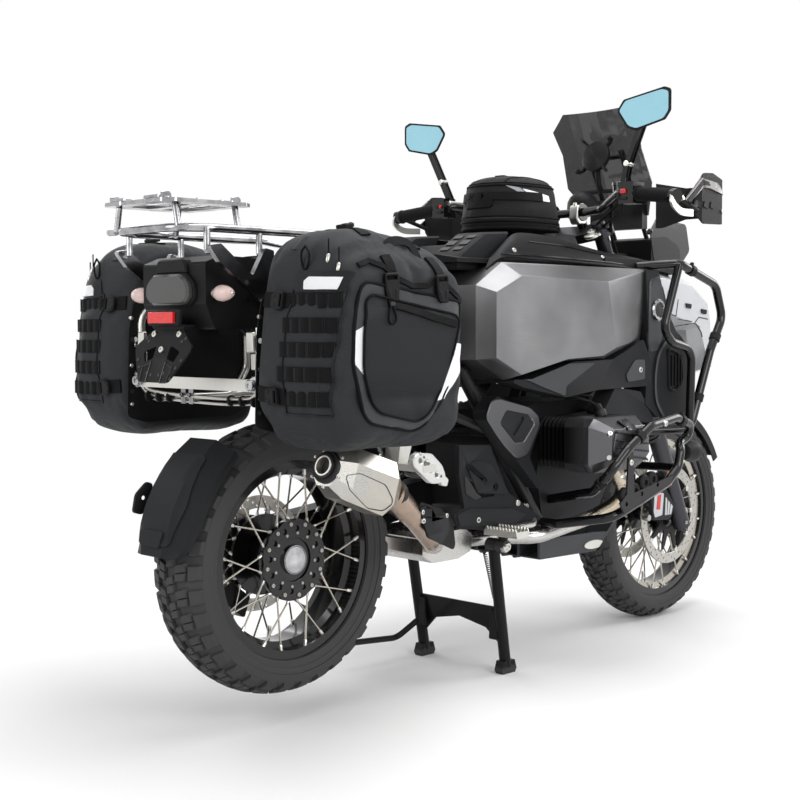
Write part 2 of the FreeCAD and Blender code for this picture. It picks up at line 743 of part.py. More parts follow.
def front_caliper(side):
    """Caliper behind the fork leg, with a slot that the disc runs in."""
    inner = FRONT_DISC_RADIUS - CALIPER_DEEP * 0.8
    outer = inner + CALIPER_DEEP
    half_turn = CALIPER_LONG / FRONT_DISC_RADIUS / 2
    mid = radians(CALIPER_ANGLE)
    near = FRONT_DISC_Y - DISC_THICK / 2 - MOVING_GAP - CALIPER_CHEEK
    far = FRONT_DISC_Y + DISC_THICK / 2 + MOVING_GAP + CALIPER_CHEEK
    ring = []
    for radius, turn in ((inner, -half_turn), (outer, -half_turn), (outer, half_turn), (inner, half_turn)):
        ring.append(FRONT_AXLE + vec(radius * cos(mid + turn), near, radius * sin(mid + turn)))
    block = Part.Face(round_path(ring, CALIPER_CHEEK / 2, True)).extrude(vec(0, far - near, 0))
    slot_y = (FRONT_DISC_Y - DISC_THICK / 2 - MOVING_GAP, FRONT_DISC_Y + DISC_THICK / 2 + MOVING_GAP)
    slot = Part.makeCylinder(FRONT_DISC_RADIUS + MOVING_GAP, length_of(slot_y),
                             FRONT_AXLE + vec(0, slot_y[0], 0), vec(0, 1, 0))
    block = block.cut(slot)
    return block if side > 0 else flip(block)


CALIPER_ANGLE = 138.0


def front_fender():
    inner = FRONT_TYRE_RADIUS + FENDER_GAP
    outer = inner + FENDER_WALL
    side_r = FRONT_TYRE_RADIUS - FENDER_GAP
    chain = [(FENDER_HALF, side_r), (FENDER_HALF, outer - FENDER_WALL * 3), (FENDER_HALF * 0.7, outer)]
    under = [(-FENDER_HALF * 0.7 + FENDER_WALL, inner), (-FENDER_HALF + FENDER_WALL, inner - FENDER_WALL * 3)]
    under += [(-FENDER_HALF + FENDER_WALL, side_r)]
    profile = mirrored(chain) + list(reversed(under)) + [(-y, r) for y, r in under]
    at = [FRONT_AXLE + vec(0, y, 0) + polar(vec(0, 0, 0), r, FENDER_ANGLES[0]) for y, r in profile]
    face = Part.Face(Part.makePolygon(at + at[:1]))
    shell = face.revolve(FRONT_AXLE, vec(0, -1, 0), length_of(FENDER_ANGLES))
    stay_at = polar(FRONT_AXLE, inner, FENDER_STAY_ANGLE)
    stays = []
    for side in (1, -1):
        start = vec(stay_at.x, side * (FENDER_HALF - FENDER_WALL), stay_at.z - FENDER_GAP)
        stays.append(rod(start, start + vec(0, side * (FORK_HALF - FENDER_HALF), 0), FENDER_GAP / 2))
    return join(shell, *stays)


FENDER_STAY_ANGLE = 90.0 + RAKE


def handlebar():
    half = [vec(BAR_GRIP_X, BAR_GRIP_Y, BAR_GRIP_Z), side_point(BAR_KNEE), side_point(BAR_RISE), side_point(BAR_CLAMP)]
    points = half + [vec(p.x, -p.y, p.z) for p in reversed(half)]
    parts = [tube(points, BAR_RADIUS, BAR_BEND)]
    for side in (1, -1):
        end = vec(BAR_GRIP_X, side * BAR_GRIP_Y, BAR_GRIP_Z)
        knee = side_point(BAR_KNEE, side)
        along = knee - end
        along.normalize()
        parts.append(rod(end, end + along * GRIP_LENGTH, GRIP_RADIUS))
        parts.append(rod(end - along * GRIP_RADIUS, end + along * OVERRUN, GRIP_RADIUS * 1.12))
        at = end + along * (GRIP_LENGTH + SWITCH_SIZE[1] / 2)
        corner = at - vec(SWITCH_SIZE[0] / 2, SWITCH_SIZE[1] / 2, SWITCH_SIZE[2] / 2)
        parts.append(Part.makeBox(*SWITCH_SIZE, corner))
        lever_in = at + vec(SWITCH_SIZE[0], 0, 0)
        lever_out = end + along * OVERRUN + vec(SWITCH_SIZE[0] * 1.2, 0, 0)
        parts.append(rod(at, lever_in, LEVER_RADIUS * 1.6))
        parts.append(rod(lever_in, lever_out, LEVER_RADIUS))
        clamp = side_point(BAR_CLAMP, side)
        parts.append(rod(clamp - vec(0, CLAMP_WIDTH / 2, 0), clamp + vec(0, CLAMP_WIDTH / 2, 0), CLAMP_RADIUS))
        foot = steer(UPPER_BRIDGE_AT + BRIDGE_THICK, side * BAR_CLAMP[1], (clamp - STEER_FOOT).dot(STEER_AHEAD))
        parts.append(rod(foot, clamp, RISER_RADIUS))
    return parts[0].multiFuse(parts[1:]).removeSplitter()


GUARD_SHARES = ((0.0, 0.16), (0.0, 0.7), (0.2, 0.98), (0.46, 1.0), (1.02, 0.8), (1.02, 0.24), (0.74, 0.02), (0.2, 0.0))
GUARD_PLAN_SHARES = ((0.0, 0.97), (0.14, 1.0), (0.75, 0.98), (0.99, 0.77), (0.98, 0.34), (0.7, 0.02))
GUARD_ARM_SHARE = 0.25


def handguards():
    """Each guard is a curved shell in front of a grip, on an arm from the bar's end."""
    parts = []
    outer = []
    for x_share, y_share in GUARD_PLAN_SHARES:
        outer.append(vec(within(GUARD_X, x_share), within(GUARD_Y, y_share), GUARD_Z[0]))
    inner = []
    for (_, y_share), p in reversed(list(zip(GUARD_PLAN_SHARES, outer))):
        inner.append(p - vec(GUARD_WALL, GUARD_WALL * y_share, 0))
    band = Part.Face(Part.makePolygon(outer + inner + outer[:1])).extrude(vec(0, 0, length_of(GUARD_Z)))
    mask = slab(outline(GUARD_X, GUARD_Z, GUARD_SHARES), (0, GUARD_Y[1] * 1.1), GUARD_WALL * 4)
    shell = band.common(mask)
    end = vec(BAR_GRIP_X, BAR_GRIP_Y, BAR_GRIP_Z)
    tip = vec(GUARD_X[0] + GUARD_WALL * 2, GUARD_Y[1] - GUARD_WALL, within(GUARD_Z, GUARD_ARM_SHARE))
    arm = rod(end + vec(0, GRIP_RADIUS / 2, 0), tip, LEVER_RADIUS)
    parts.append(join(shell, arm))
    return pair_of(parts[0])


def mirrors():
    """Angular mirror heads on bent stalks; the glass looks to the rear."""
    ring = []
    for y_share, z_share in MIRROR_SHARES:
        y = MIRROR_CENTRE[1] + MIRROR_HALF_WIDTH * y_share
        ring.append(vec(MIRROR_CENTRE[0], y, MIRROR_CENTRE[2] + MIRROR_HALF_HEIGHT * z_share))
    glass = round_path(ring, MIRROR_DEPTH / 2, True)
    back = []
    centre = side_point(MIRROR_CENTRE)
    for p in ring:
        back.append(centre + (p - centre) * MIRROR_BACK_SHARE + vec(MIRROR_DEPTH, 0, 0))
    head = Part.makeLoft([glass, round_path(back, MIRROR_DEPTH / 3, True)], True, True)
    start = side_point(MIRROR_BASE)
    stalk = tube([start, side_point(MIRROR_KNEE), side_point(MIRROR_JOINT)], MIRROR_STALK_RADIUS, MIRROR_DEPTH)
    return pair_of(join(head, stalk))


MIRROR_SHARES = ((1.0, 0.85), (0.75, 1.0), (-0.75, 0.62), (-1.0, 0.1), (-0.62, -0.8), (-0.3, -1.0), (0.8, -0.62), (1.0, -0.2))
MIRROR_BACK_SHARE = 0.72


# Engine and exhaust

ENGINE_SHARES = ((0.0, 0.26), (0.0, 0.72), (0.16, 0.94), (0.42, 1.0), (0.86, 1.0), (1.0, 0.8), (1.0, 0.3),
                 (0.86, 0.03), (0.42, 0.0), (0.1, 0.1))
CRANKCASE_SHARES = ((0.36, 0.1), (0.3, 0.5), (0.4, 0.88), (0.86, 0.92), (0.96, 0.76), (0.96, 0.32), (0.84, 0.08))


def engine_block():
    core = slab(outline(ENGINE_X, ENGINE_Z, ENGINE_SHARES), (-GEARBOX_HALF, GEARBOX_HALF), ENGINE_HALF * 0.15)
    case = slab(outline(ENGINE_X, ENGINE_Z, CRANKCASE_SHARES), (-ENGINE_HALF, ENGINE_HALF), ENGINE_HALF * 0.15)
    return join(core, case)


def cylinders():
    """Finned barrel and head on each side of the crankcase."""
    centre = vec(CYLINDER_X, BARREL_Y[0], CYLINDER_Z)
    barrel = Part.makeCylinder(BARREL_RADIUS, length_of(BARREL_Y), centre, vec(0, 1, 0))
    pitch = length_of(BARREL_Y) / FIN_COUNT
    corner = COVER_CORNER
    fins = []
    for i in range(FIN_COUNT):
        start = BARREL_Y[0] + pitch * (i + 0.5)
        points = outline(FIN_X, FIN_Z, SQUARE_SHARES)
        fins.append(slab(points, (start, start + FIN_THICK), corner))
    head = slab(outline(HEAD_X, HEAD_Z, SQUARE_SHARES), HEAD_Y, corner)
    return pair_of(join(barrel, head, *fins))


SQUARE_SHARES = ((0, 0), (0, 1), (1, 1), (1, 0))


def valve_covers():
    outer = outline(HEAD_X, HEAD_Z, COVER_SHARES)
    span_x = (HEAD_X[0] + COVER_TAPER, HEAD_X[1] - COVER_TAPER)
    span_z = (HEAD_Z[0] + COVER_TAPER * 0.8, HEAD_Z[1] - COVER_TAPER * 0.8)
    inner = outline(span_x, span_z, COVER_SHARES)
    rim = slab(outer, (COVER_Y[0], COVER_Y[0] + COVER_TAPER / 2))
    dome = bevel_loft(outer, COVER_Y[0] + COVER_TAPER / 2, inner, COVER_Y[1])
    return pair_of(join(rim, dome))


COVER_SHARES = ((0.1, 0), (0, 0.16), (0, 0.84), (0.1, 1), (0.9, 1), (1, 0.84), (1, 0.16), (0.9, 0))


def sump_guard():
    """Bent plate under the engine that rises at the front."""
    points = outline(SUMP_GUARD_X, SUMP_GUARD_Z, ((0, 0.06), (0.72, 0.0), (1, 0.82)))
    inner = [(x - SUMP_GUARD_WALL * way, z + SUMP_GUARD_WALL) for (x, z), way in zip(points, (0, 0.3, 1.2))]
    plate = slab(points + list(reversed(inner)), (-SUMP_GUARD_HALF, SUMP_GUARD_HALF))
    ribs = []
    for share in SUMP_RIB_SHARES:
        y = SUMP_GUARD_HALF * share
        lower = outline(SUMP_GUARD_X, SUMP_GUARD_Z, ((0, 0.06), (0.72, 0.0), (0.9, 0.5), (0.72, 0.56), (0, 0.62)))
        ribs.append(slab(lower, (y - SUMP_GUARD_WALL, y + SUMP_GUARD_WALL)))
    return join(plate, *ribs)


SUMP_RIB_SHARES = (-0.97, -0.5, 0.5, 0.97)


def exhaust():
    """Two headers that meet in the collector box, and the pipe on to the silencer."""
    parts = [slab(outline(COLLECTOR_X, COLLECTOR_Z, COLLECTOR_SHARES), COLLECTOR_Y, COLLECTOR_CORNER)]
    for side in (1, -1):
        top = vec(within(HEAD_X, 0.8), side * middle(HEAD_Y), HEAD_Z[0])
        points = [vec(top.x + HEADER_RADIUS * ahead, side * HEADER_RADIUS * out, top.z - HEADER_RADIUS * drop)
                  for ahead, out, drop in HEADER_SHARES]
        points.append(vec(STAND_PIVOT[0] + HEADER_RADIUS * 2.6, side * HEADER_RADIUS * 5.2, middle(COLLECTOR_Z)))
        points.append(vec(COLLECTOR_X[1] - HEADER_RADIUS, side * HEADER_RADIUS * 4.2, middle(COLLECTOR_Z)))
        parts.append(tube([top] + points, HEADER_RADIUS, HEADER_BEND))
    start = vec(COLLECTOR_X[0] + LINK_PIPE_RADIUS * 3, COLLECTOR_Y[0] + LINK_PIPE_RADIUS * 1.3, middle(COLLECTOR_Z))
    front = vec(*SILENCER_FRONT)
    cone_from = vec(*LINK_CONE)
    parts.append(tube([start, vec(*LINK_KNEE), cone_from, middle_of(cone_from, front)], LINK_PIPE_RADIUS, HEADER_BEND))
    run = front - cone_from
    parts.append(Part.makeCone(CONE_RADII[0], CONE_RADII[1], run.Length, cone_from, run))
    return parts[0].multiFuse(parts[1:]).removeSplitter()


COLLECTOR_SHARES = ((0.0, 0.3), (0.0, 0.86), (0.14, 1.0), (0.86, 1.0), (1.0, 0.74), (0.96, 0.2), (0.7, 0.0), (0.2, 0.0))
SHIELD_SHARES = ((0.09, 0.97), (0.62, 0.76), (0.93, 0.48), (1.0, 0.0), (0.33, 0.35))


def heat_shield():
    """Flat plate outside the link pipe, turned to follow it."""
    ring = []
    for x_share, z_share in SHIELD_SHARES:
        ring.append(vec(within(SHIELD_X, x_share), within(SHIELD_Y, x_share), within(SHIELD_Z, z_share)))
    return Part.Face(round_path(ring, SHIELD_WALL * 3, True)).extrude(vec(0, SHIELD_WALL, 0))


HEADER_SHARES = ((3.2, 15.2, 4.4), (0.0, 11.4, 7.4), (-10.6, 9.9, 9.2))
SILENCER_RING_SHARES = ((0.5, 0.2), (0.32, 0.5), (-0.32, 0.5), (-0.5, 0.2), (-0.5, -0.28), (-0.24, -0.5), (0.3, -0.5),
                        (0.5, -0.3))
SILENCER_GIRTH_SHARES = ((0.0, 0.62), (0.16, 1.0), (0.8, 0.94), (1.0, 0.66))


def silencer():
    """Faceted can that tapers at both ends, with a round outlet."""
    front, rear = vec(*SILENCER_FRONT), vec(*SILENCER_REAR)
    axis = rear - front
    side = axis.cross(vec(0, 0, 1))
    side.normalize()
    up = side.cross(axis)
    up.normalize()
    wires = []
    for at, girth in SILENCER_GIRTH_SHARES:
        centre = front + axis * at
        ring = [centre + side * (SILENCER_WIDTH * girth * u) + up * (SILENCER_HEIGHT * girth * w)
                for u, w in SILENCER_RING_SHARES]
        wires.append(Part.makePolygon(ring + ring[:1]))
    can = Part.makeLoft(wires, True, True)
    axis.normalize()
    outlet = rod(rear - axis * TAILPIPE_RADIUS, rear + axis * (TAILPIPE_RADIUS * 0.7), TAILPIPE_RADIUS)
    bore = rod(rear - axis * (TAILPIPE_RADIUS / 2), rear + axis * TAILPIPE_RADIUS * 2, TAILPIPE_RADIUS * 0.84)
    return join(can, outlet).cut(bore)


# Rear suspension and front arm

def swingarm():
    """Single-sided arm with the shaft drive, its hollow spindle and the rear caliper."""
    pivot = vec(*SWINGARM_PIVOT)
    high = SWINGARM_HIGH / 2
    points = [(pivot.x, pivot.z - high), (pivot.x + high, pivot.z), (pivot.x, pivot.z + high)]
    points += [(REAR_AXLE.x + DRIVE_RADIUS * 0.4, REAR_AXLE.z + high * 1.5), (REAR_AXLE.x, REAR_AXLE.z + high)]
    points += [(REAR_AXLE.x, REAR_AXLE.z - high)]
    arm = slab(points, SWINGARM_Y, high / 2)
    near, far = DRIVE_Y
    waist = DRIVE_RADIUS * 0.72
    chain = [(near, SPINDLE_BORE), (near, waist), (near + HUB_FLANGE_THICK, DRIVE_RADIUS)]
    chain += [(middle(DRIVE_Y), DRIVE_RADIUS), (far - HUB_FLANGE_THICK, waist), (far, waist * 0.8), (far, 0), (near + HUB_FLANGE_THICK * 4, 0)]
    chain += [(near + HUB_FLANGE_THICK * 4, SPINDLE_BORE)]
    casing = lathe(chain, REAR_AXLE)
    spindle = lathe([(SPINDLE_END_Y, SPINDLE_BORE), (SPINDLE_END_Y, SPINDLE_RADIUS),
                     (near + OVERRUN, SPINDLE_RADIUS), (near + OVERRUN, SPINDLE_BORE)], REAR_AXLE)
    foot = vec(*SHOCK_FOOT)
    lug = rod(foot - vec(0, SPRING_RADIUS * 0.6, 0), vec(foot.x, SWINGARM_Y[0] + OVERRUN, foot.z), SPRING_RADIUS * 0.28)
    return join(arm, casing, spindle, rear_caliper(), lug)


REAR_CALIPER_ANGLE = 232.0


def rear_caliper():
    inner = REAR_DISC_RADIUS - DISC_BAND - OVERRUN
    outer = REAR_DISC_RADIUS + MOVING_GAP * 3
    half_turn = REAR_CALIPER_LONG / REAR_DISC_RADIUS / 2
    mid = radians(REAR_CALIPER_ANGLE)
    slot_y = (REAR_DISC_Y - DISC_THICK / 2 - MOVING_GAP, REAR_DISC_Y + DISC_THICK / 2 + MOVING_GAP)
    near, far = slot_y[0] - MOVING_GAP, SWINGARM_Y[0] + CALIPER_CHEEK
    ring = []
    for radius, turn in ((inner, -half_turn), (outer, -half_turn), (outer, half_turn), (inner, half_turn)):
        ring.append(REAR_AXLE + vec(radius * cos(mid + turn), near, radius * sin(mid + turn)))
    block = Part.Face(round_path(ring, MOVING_GAP, True)).extrude(vec(0, far - near, 0))
    slot = Part.makeCylinder(REAR_DISC_RADIUS + MOVING_GAP, length_of(slot_y),
                             REAR_AXLE + vec(0, slot_y[0], 0), vec(0, 1, 0))
    hanger_end = polar(REAR_AXLE, DRIVE_RADIUS * 0.8, REAR_CALIPER_ANGLE) + vec(0, far - CALIPER_CHEEK / 2, 0)
    hanger = rod(polar(REAR_AXLE, middle((inner, outer)), REAR_CALIPER_ANGLE) + vec(0, far - CALIPER_CHEEK / 2, 0),
                 hanger_end, CALIPER_CHEEK / 2)
    return join(block.cut(slot), hanger)


def spring_unit(foot, top, spring_radius, body_radius):
    """Damper with its coil spring shown as rounded rings."""
    axis = top - foot
    run = axis.Length
    axis.normalize()
    side = axis.cross(vec(0, 1, 0))
    side.normalize()
    eye = body_radius * 1.1
    core_span = (eye, run - eye)
    low, high = within(core_span, SPRING_SPAN_SHARES[0]), within(core_span, SPRING_SPAN_SHARES[1])
    pitch = (high - low) / SPRING_TURNS
    chain = [(0, eye / 2), (body_radius * 0.7, eye / 2), (body_radius, eye * 1.2), (body_radius, low - SPRING_WIRE)]
    chain += [(spring_radius, low - SPRING_WIRE), (spring_radius, low)]
    for i in range(SPRING_TURNS):
        start = low + pitch * i
        chain += [(spring_radius - SPRING_WIRE * 1.6, start), (spring_radius, start + pitch / 2)]
    chain += [(spring_radius - SPRING_WIRE * 1.6, high), (spring_radius, high)]
    chain += [(spring_radius, high + SPRING_WIRE), (body_radius, high + SPRING_WIRE)]
    chain += [(body_radius, run - eye * 1.2), (body_radius * 0.7, run - eye / 2), (0, run - eye / 2)]
    at = [foot + side * r + axis * s for r, s in chain]
    body = Part.Face(Part.makePolygon(at + at[:1])).revolve(foot, axis, 360)
    ends = [Part.makeCylinder(eye, eye * 2, p - vec(0, eye, 0), vec(0, 1, 0)) for p in (foot, top)]
    return join(body, *ends)


SPRING_SPAN_SHARES = (0.16, 0.8)


def shocks():
    rear = spring_unit(vec(*SHOCK_FOOT), vec(*SHOCK_TOP), SPRING_RADIUS, SPRING_RADIUS * 0.5)
    front = spring_unit(front_shock_foot(), vec(*FRONT_SHOCK_TOP), FRONT_SPRING_RADIUS, FRONT_SPRING_RADIUS * 0.5)
    return Part.makeCompound([rear, front])


def front_shock_foot():
    """Foot of the front shock, on the wishbone between its pivot and the ball joint."""
    root = vec(ARM_PIVOT[0], 0, ARM_PIVOT[2])
    return root + (steer(middle(BALL_EYE_SPAN)) - root) * FRONT_SHOCK_SHARE + vec(0, 0, FRONT_SHOCK_LIFT)


def front_arm():
    """Wishbone from the engine to the ball joint under the lower fork bridge."""
    eye = steer(middle(BALL_EYE_SPAN))
    half = ARM_THICK / 2
    parts = []
    for side in (1, -1):
        root = side_point(ARM_PIVOT, side)
        inner = vec(0, side * -half, 0)
        ring = [root + vec(0, side * half, -half), root + vec(0, side * -half, -half)]
        ring += [root + vec(0, side * -half, half), root + vec(0, side * half, half)]
        tip = [eye + vec(0, side * half * 0.9, -half), eye + inner * 0.2 + vec(0, 0, -half)]
        tip += [eye + inner * 0.2 + vec(0, 0, half), eye + vec(0, side * half * 0.9, half)]
        parts.append(Part.makeLoft([Part.makePolygon(ring + ring[:1]), Part.makePolygon(tip + tip[:1])], True, True))
    parts.append(rod(steer(BALL_EYE_SPAN[0]), steer(BALL_EYE_SPAN[1]), BALL_EYE_RADIUS))
    brace = front_shock_foot()
    cross = vec(0, ARM_PIVOT[1] * ARM_BRACE_SHARE, 0)
    parts.append(rod(brace - cross, brace + cross, half * ARM_BRACE_RADIUS_SHARE))
    arm = parts[0].multiFuse(parts[1:]).removeSplitter()
    return arm.cut(rod(steer(BALL_EYE_SPAN[0] - OVERRUN), steer(BALL_EYE_SPAN[1] + OVERRUN), STEM_RADIUS + RUNNING_GAP))


ARM_BRACE_SHARE = 0.7
ARM_BRACE_RADIUS_SHARE = 0.6


# Frames

def main_frame():
    """Steering head, twin top tubes, side beams, front downtubes and the stand's lugs."""
    head_mid = steer(middle(HEAD_SPAN))
    parts = [rod(steer(HEAD_SPAN[0]), steer(HEAD_SPAN[1]), HEAD_RADIUS)]
    for side in (1, -1):
        start = head_mid + vec(-HEAD_RADIUS * 0.3, side * HEAD_RADIUS * 0.5, 0)
        top = [start, vec(within(TANK_X, 0.66), side * FRAME_HALF * 0.45, within(TANK_Z, 0.72))]
        top += [vec(within(TANK_X, 0.3), side * FRAME_HALF * 0.6, within(TANK_Z, 0.24))]
        top.append(on_beam(0, side))
        parts.append(tube(top, FRAME_TUBE, BAR_BEND))
        parts.append(rod(on_beam(0, side), on_beam(1, side), FRAME_TUBE))
        parts.append(Part.makeSphere(FRAME_TUBE, on_beam(0, side)))
        lug = side_point(STAND_PIVOT, side) + vec(0, side * STAND_LUG_WIDTH, 0)
        hang = on_beam(STAND_ARM_SHARE, side)
        elbow = vec(lug.x + STAND_LUG_RADIUS, lug.y, hang.z - FRAME_TUBE * 0.5)
        parts.append(tube([hang, elbow, lug], FRAME_TUBE * 0.7, STAND_LUG_RADIUS))
        parts.append(rod(lug - vec(0, STAND_LUG_WIDTH / 2, 0), lug + vec(0, STAND_LUG_WIDTH / 2, 0), STAND_LUG_RADIUS * 0.9))
        down = [start + vec(0, 0, -HEAD_RADIUS * 0.2), vec(ARM_PIVOT[0] + FRAME_TUBE * 2, side * FRAME_HALF * 0.62, ARM_PIVOT[2] + FRAME_TUBE * 8)]
        down += [vec(ARM_PIVOT[0] - FRAME_TUBE, side * FRAME_HALF * 0.62, ENGINE_Z[1] - FRAME_TUBE)]
        parts.append(tube(down, FRAME_TUBE * 0.9, BAR_BEND))
    top = vec(*FRONT_SHOCK_TOP)
    reach = vec(0, HEAD_RADIUS * 1.5, 0)
    parts.append(rod(top - reach, top + reach, FRONT_SPRING_RADIUS * 0.3))
    for share in (0, CROSS_TUBE_SHARE):
        parts.append(rod(on_beam(share, -1), on_beam(share, 1), FRAME_TUBE * 0.8))
    frame = parts[0].multiFuse(parts[1:])
    stem = rod(steer(HEAD_SPAN[0] - OVERRUN), steer(HEAD_SPAN[1] + OVERRUN), STEM_RADIUS + RUNNING_GAP)
    return frame.cut(stem)


BEAM_TOP = (SHOCK_TOP[0], SHOCK_TOP[2])
BEAM_FOOT = (800.0, 352.0)
CROSS_TUBE_SHARE = 0.36
STAND_ARM_SHARE = 0.8


def on_beam(share, side):
    """Point on the side beam that runs from under the tank down to the engine's foot."""
    x = within((BEAM_TOP[0], BEAM_FOOT[0]), share)
    return vec(x, side * FRAME_HALF, within((BEAM_TOP[1], BEAM_FOOT[1]), share))


def rear_subframe():
    parts = []
    for side in (1, -1):
        y = side * SUBFRAME_HALF
        rail = [on_beam(0, side)]
        rail += [vec(within(SEAT_X, 0.7), y, SEAT_Z[0] - SUBFRAME_TUBE * 1.6), vec(PILLION_X[1], y, within(TAIL_Z, 0.1))]
        rail += [vec(within(TAIL_X, 0.14), y * 0.7, within(TAIL_Z, 0.5))]
        parts.append(tube(rail, SUBFRAME_TUBE, BAR_BEND))
        strut = [on_beam(CROSS_TUBE_SHARE, side), vec(PILLION_PEG_X, side * FRAME_HALF, within(BAG_FRAME_Z, 0.1))]
        strut.append(rail[2] + (rail[3] - rail[2]) * RAIL_JOINT_SHARE)
        parts.append(tube(strut, SUBFRAME_TUBE * 0.9, BAR_BEND))
    x = PILLION_X[1]
    parts.append(rod(vec(x, -SUBFRAME_HALF, within(TAIL_Z, 0.1)), vec(x, SUBFRAME_HALF, within(TAIL_Z, 0.1)), SUBFRAME_TUBE * 0.9))
    return parts[0].multiFuse(parts[1:])


RAIL_JOINT_SHARE = 0.55


# Stands

def center_stand():
    """Two legs on pivot pins, a cross plate with an arch, feet and a tang for the rider's foot."""
    parts = []
    for side in (1, -1):
        top = side_point(STAND_PIVOT, side)
        foot = vec(STAND_FOOT_X, side * STAND_FOOT_HALF, STAND_FOOT_RADIUS)
        foot_x = (foot.x - STAND_FOOT_LONG / 2, foot.x + STAND_FOOT_LONG / 2)
        foot_y = (foot.y - STAND_FOOT_WIDE / 2, foot.y + STAND_FOOT_WIDE / 2)
        parts.append(rod(top, foot, STAND_LEG_RADIUS))
        eye = (STAND_PIVOT[1] - STAND_LUG_WIDTH / 2, STAND_PIVOT[1] + STAND_LUG_WIDTH / 2)
        for low, high, radius in ((eye[0], eye[1], STAND_LUG_RADIUS), (eye[0], eye[1] + STAND_LUG_WIDTH, STAND_PIN)):
            ends = sorted((side * low, side * high))
            parts.append(rod(vec(top.x, ends[0], top.z), vec(top.x, ends[1], top.z), radius))
        parts.append(slab(outline(foot_x, (0, STAND_FOOT_RADIUS * 2), STAND_FOOT_SHARES), foot_y))
    ring = []
    for share, z in STAND_PLATE_SHARES:
        ring.append((share, within(STAND_PLATE_Z, z)))
    lean = (STAND_FOOT_X - STAND_PIVOT[0]) / (STAND_PIVOT[2] - STAND_FOOT_RADIUS)
    at = [vec(STAND_PIVOT[0] + lean * (STAND_PIVOT[2] - z), STAND_PIVOT[1] * y, z) for y, z in ring]
    plate = Part.Face(Part.makePolygon(at + at[:1])).extrude(vec(STAND_PLATE_THICK, 0, 0))
    parts.append(plate)
    tang_top = vec(STAND_FOOT_X - STAND_LEG_RADIUS, STAND_FOOT_HALF, within(STAND_PLATE_Z, 0.2))
    tang = [tang_top, vec(within((STAND_TANG_X, STAND_FOOT_X), 0.7), STAND_TANG_Y, STAND_PLATE_Z[0] * 0.62)]
    tang += [vec(STAND_TANG_X, STAND_TANG_Y, STAND_PLATE_Z[0] * 0.8)]
    parts.append(tube(tang, STAND_LEG_RADIUS * 0.55, BAR_BEND))
    pad = tang[-1] - vec(0, STAND_FOOT_RADIUS * 0.25, 0)
    parts.append(rod(pad, pad + vec(0, STAND_FOOT_RADIUS, 0), STAND_LEG_RADIUS * 0.8))
    return parts[0].multiFuse(parts[1:]).removeSplitter()


STAND_FOOT_SHARES = ((0.0, 0.3), (0.14, 1.0), (0.86, 1.0), (1.0, 0.3), (0.9, 0.0), (0.1, 0.0))
STAND_PLATE_SHARES = ((-0.98, 1.0), (0.98, 1.0), (0.98, -0.3), (0.6, 0.3), (0.0, 0.5), (-0.6, 0.3), (-0.98, -0.3))


def side_stand():
    """Folded leg on the left, with a flat foot."""
    pivot = vec(*SIDE_STAND_PIVOT)
    end = pivot + vec(-SIDE_STAND_LENGTH, SIDE_STAND_RADIUS * 3, -SIDE_STAND_RADIUS * 0.5)
    parts = [rod(pivot, end + vec(SIDE_STAND_RADIUS / 4, 0, 0), SIDE_STAND_RADIUS)]
    width = STAND_LUG_WIDTH / 2
    parts.append(rod(pivot - vec(0, width, 0), pivot + vec(0, width, 0), STAND_LUG_RADIUS))
    parts.append(rod(end, end + vec(SIDE_STAND_RADIUS / 2, 0, 0), SIDE_STAND_PAD))
    stand = join(*parts)
    hole = rod(pivot - vec(0, width * 2, 0), pivot + vec(0, width * 2, 0), STAND_PIN + RUNNING_GAP)
    return stand.cut(hole)


def side_stand_mount():
    """Bracket on the frame with the pin that the side stand turns on."""
    pivot = vec(*SIDE_STAND_PIVOT)
    half = STAND_LUG_WIDTH / 2
    pin = rod(pivot + vec(0, -half * 3, 0), pivot + vec(0, half, 0), STAND_PIN)
    inner = pivot - vec(0, half * 2, 0)
    ring = [inner + vec(-STAND_LUG_RADIUS, 0, -STAND_LUG_RADIUS), inner + vec(STAND_LUG_RADIUS, 0, -STAND_LUG_RADIUS)]
    ring += [vec(BEAM_FOOT[0] + FRAME_TUBE, inner.y, BEAM_FOOT[1]), vec(BEAM_FOOT[0] - FRAME_TUBE * 2, inner.y, BEAM_FOOT[1] + FRAME_TUBE)]
    plate = Part.Face(Part.makePolygon(ring + ring[:1])).extrude(vec(0, -half, 0))
    return join(pin, plate)


# Bodywork

TANK_EDGE_SHARES = ((0.0, 0.8), (0.13, 1.0), (1.0, 1.0), (0.93, 0.33), (0.7, 0.15), (0.42, 0.14), (0.14, 0.0), (0.0, 0.18))
TANK_CREASE_SHARES = ((0.02, 0.74), (0.15, 0.88), (0.63, 0.86), (0.68, 0.26), (0.6, 0.19), (0.4, 0.17), (0.15, 0.05), (0.02, 0.2))


def fuel_tank(well):
    """Wide tank: flat creased side faces over a long front bevel, with a tunnel for the frame."""
    edge = outline(TANK_X, TANK_Z, TANK_EDGE_SHARES)
    crease = outline(TANK_X, TANK_Z, TANK_CREASE_SHARES)
    core = slab(edge, (-TANK_SHOULDER, TANK_SHOULDER))
    side = bevel_loft(edge, TANK_SHOULDER, crease, TANK_FACE)
    shell = join(core, side, flip(side))
    tunnel = box((TANK_X[0] - OVERRUN, TANK_X[1] + OVERRUN), (-TANK_TUNNEL_HALF, TANK_TUNNEL_HALF),
                 (TANK_Z[0] - OVERRUN, TANK_TUNNEL_TOP))
    hollow_x = (TANK_X[0] + TANK_WALL * 2, TANK_X[1] - TANK_WALL * 2)
    hollow_z = (TANK_Z[0] + TANK_WALL, TANK_Z[1] - TANK_WALL)
    inner = outline(hollow_x, hollow_z, TANK_EDGE_SHARES)
    hollow = slab(inner, (TANK_TUNNEL_HALF + TANK_WALL, TANK_SHOULDER))
    shell = shell.cut(tunnel).cut(hollow).cut(flip(hollow))
    return tidy(shell.cut(well))


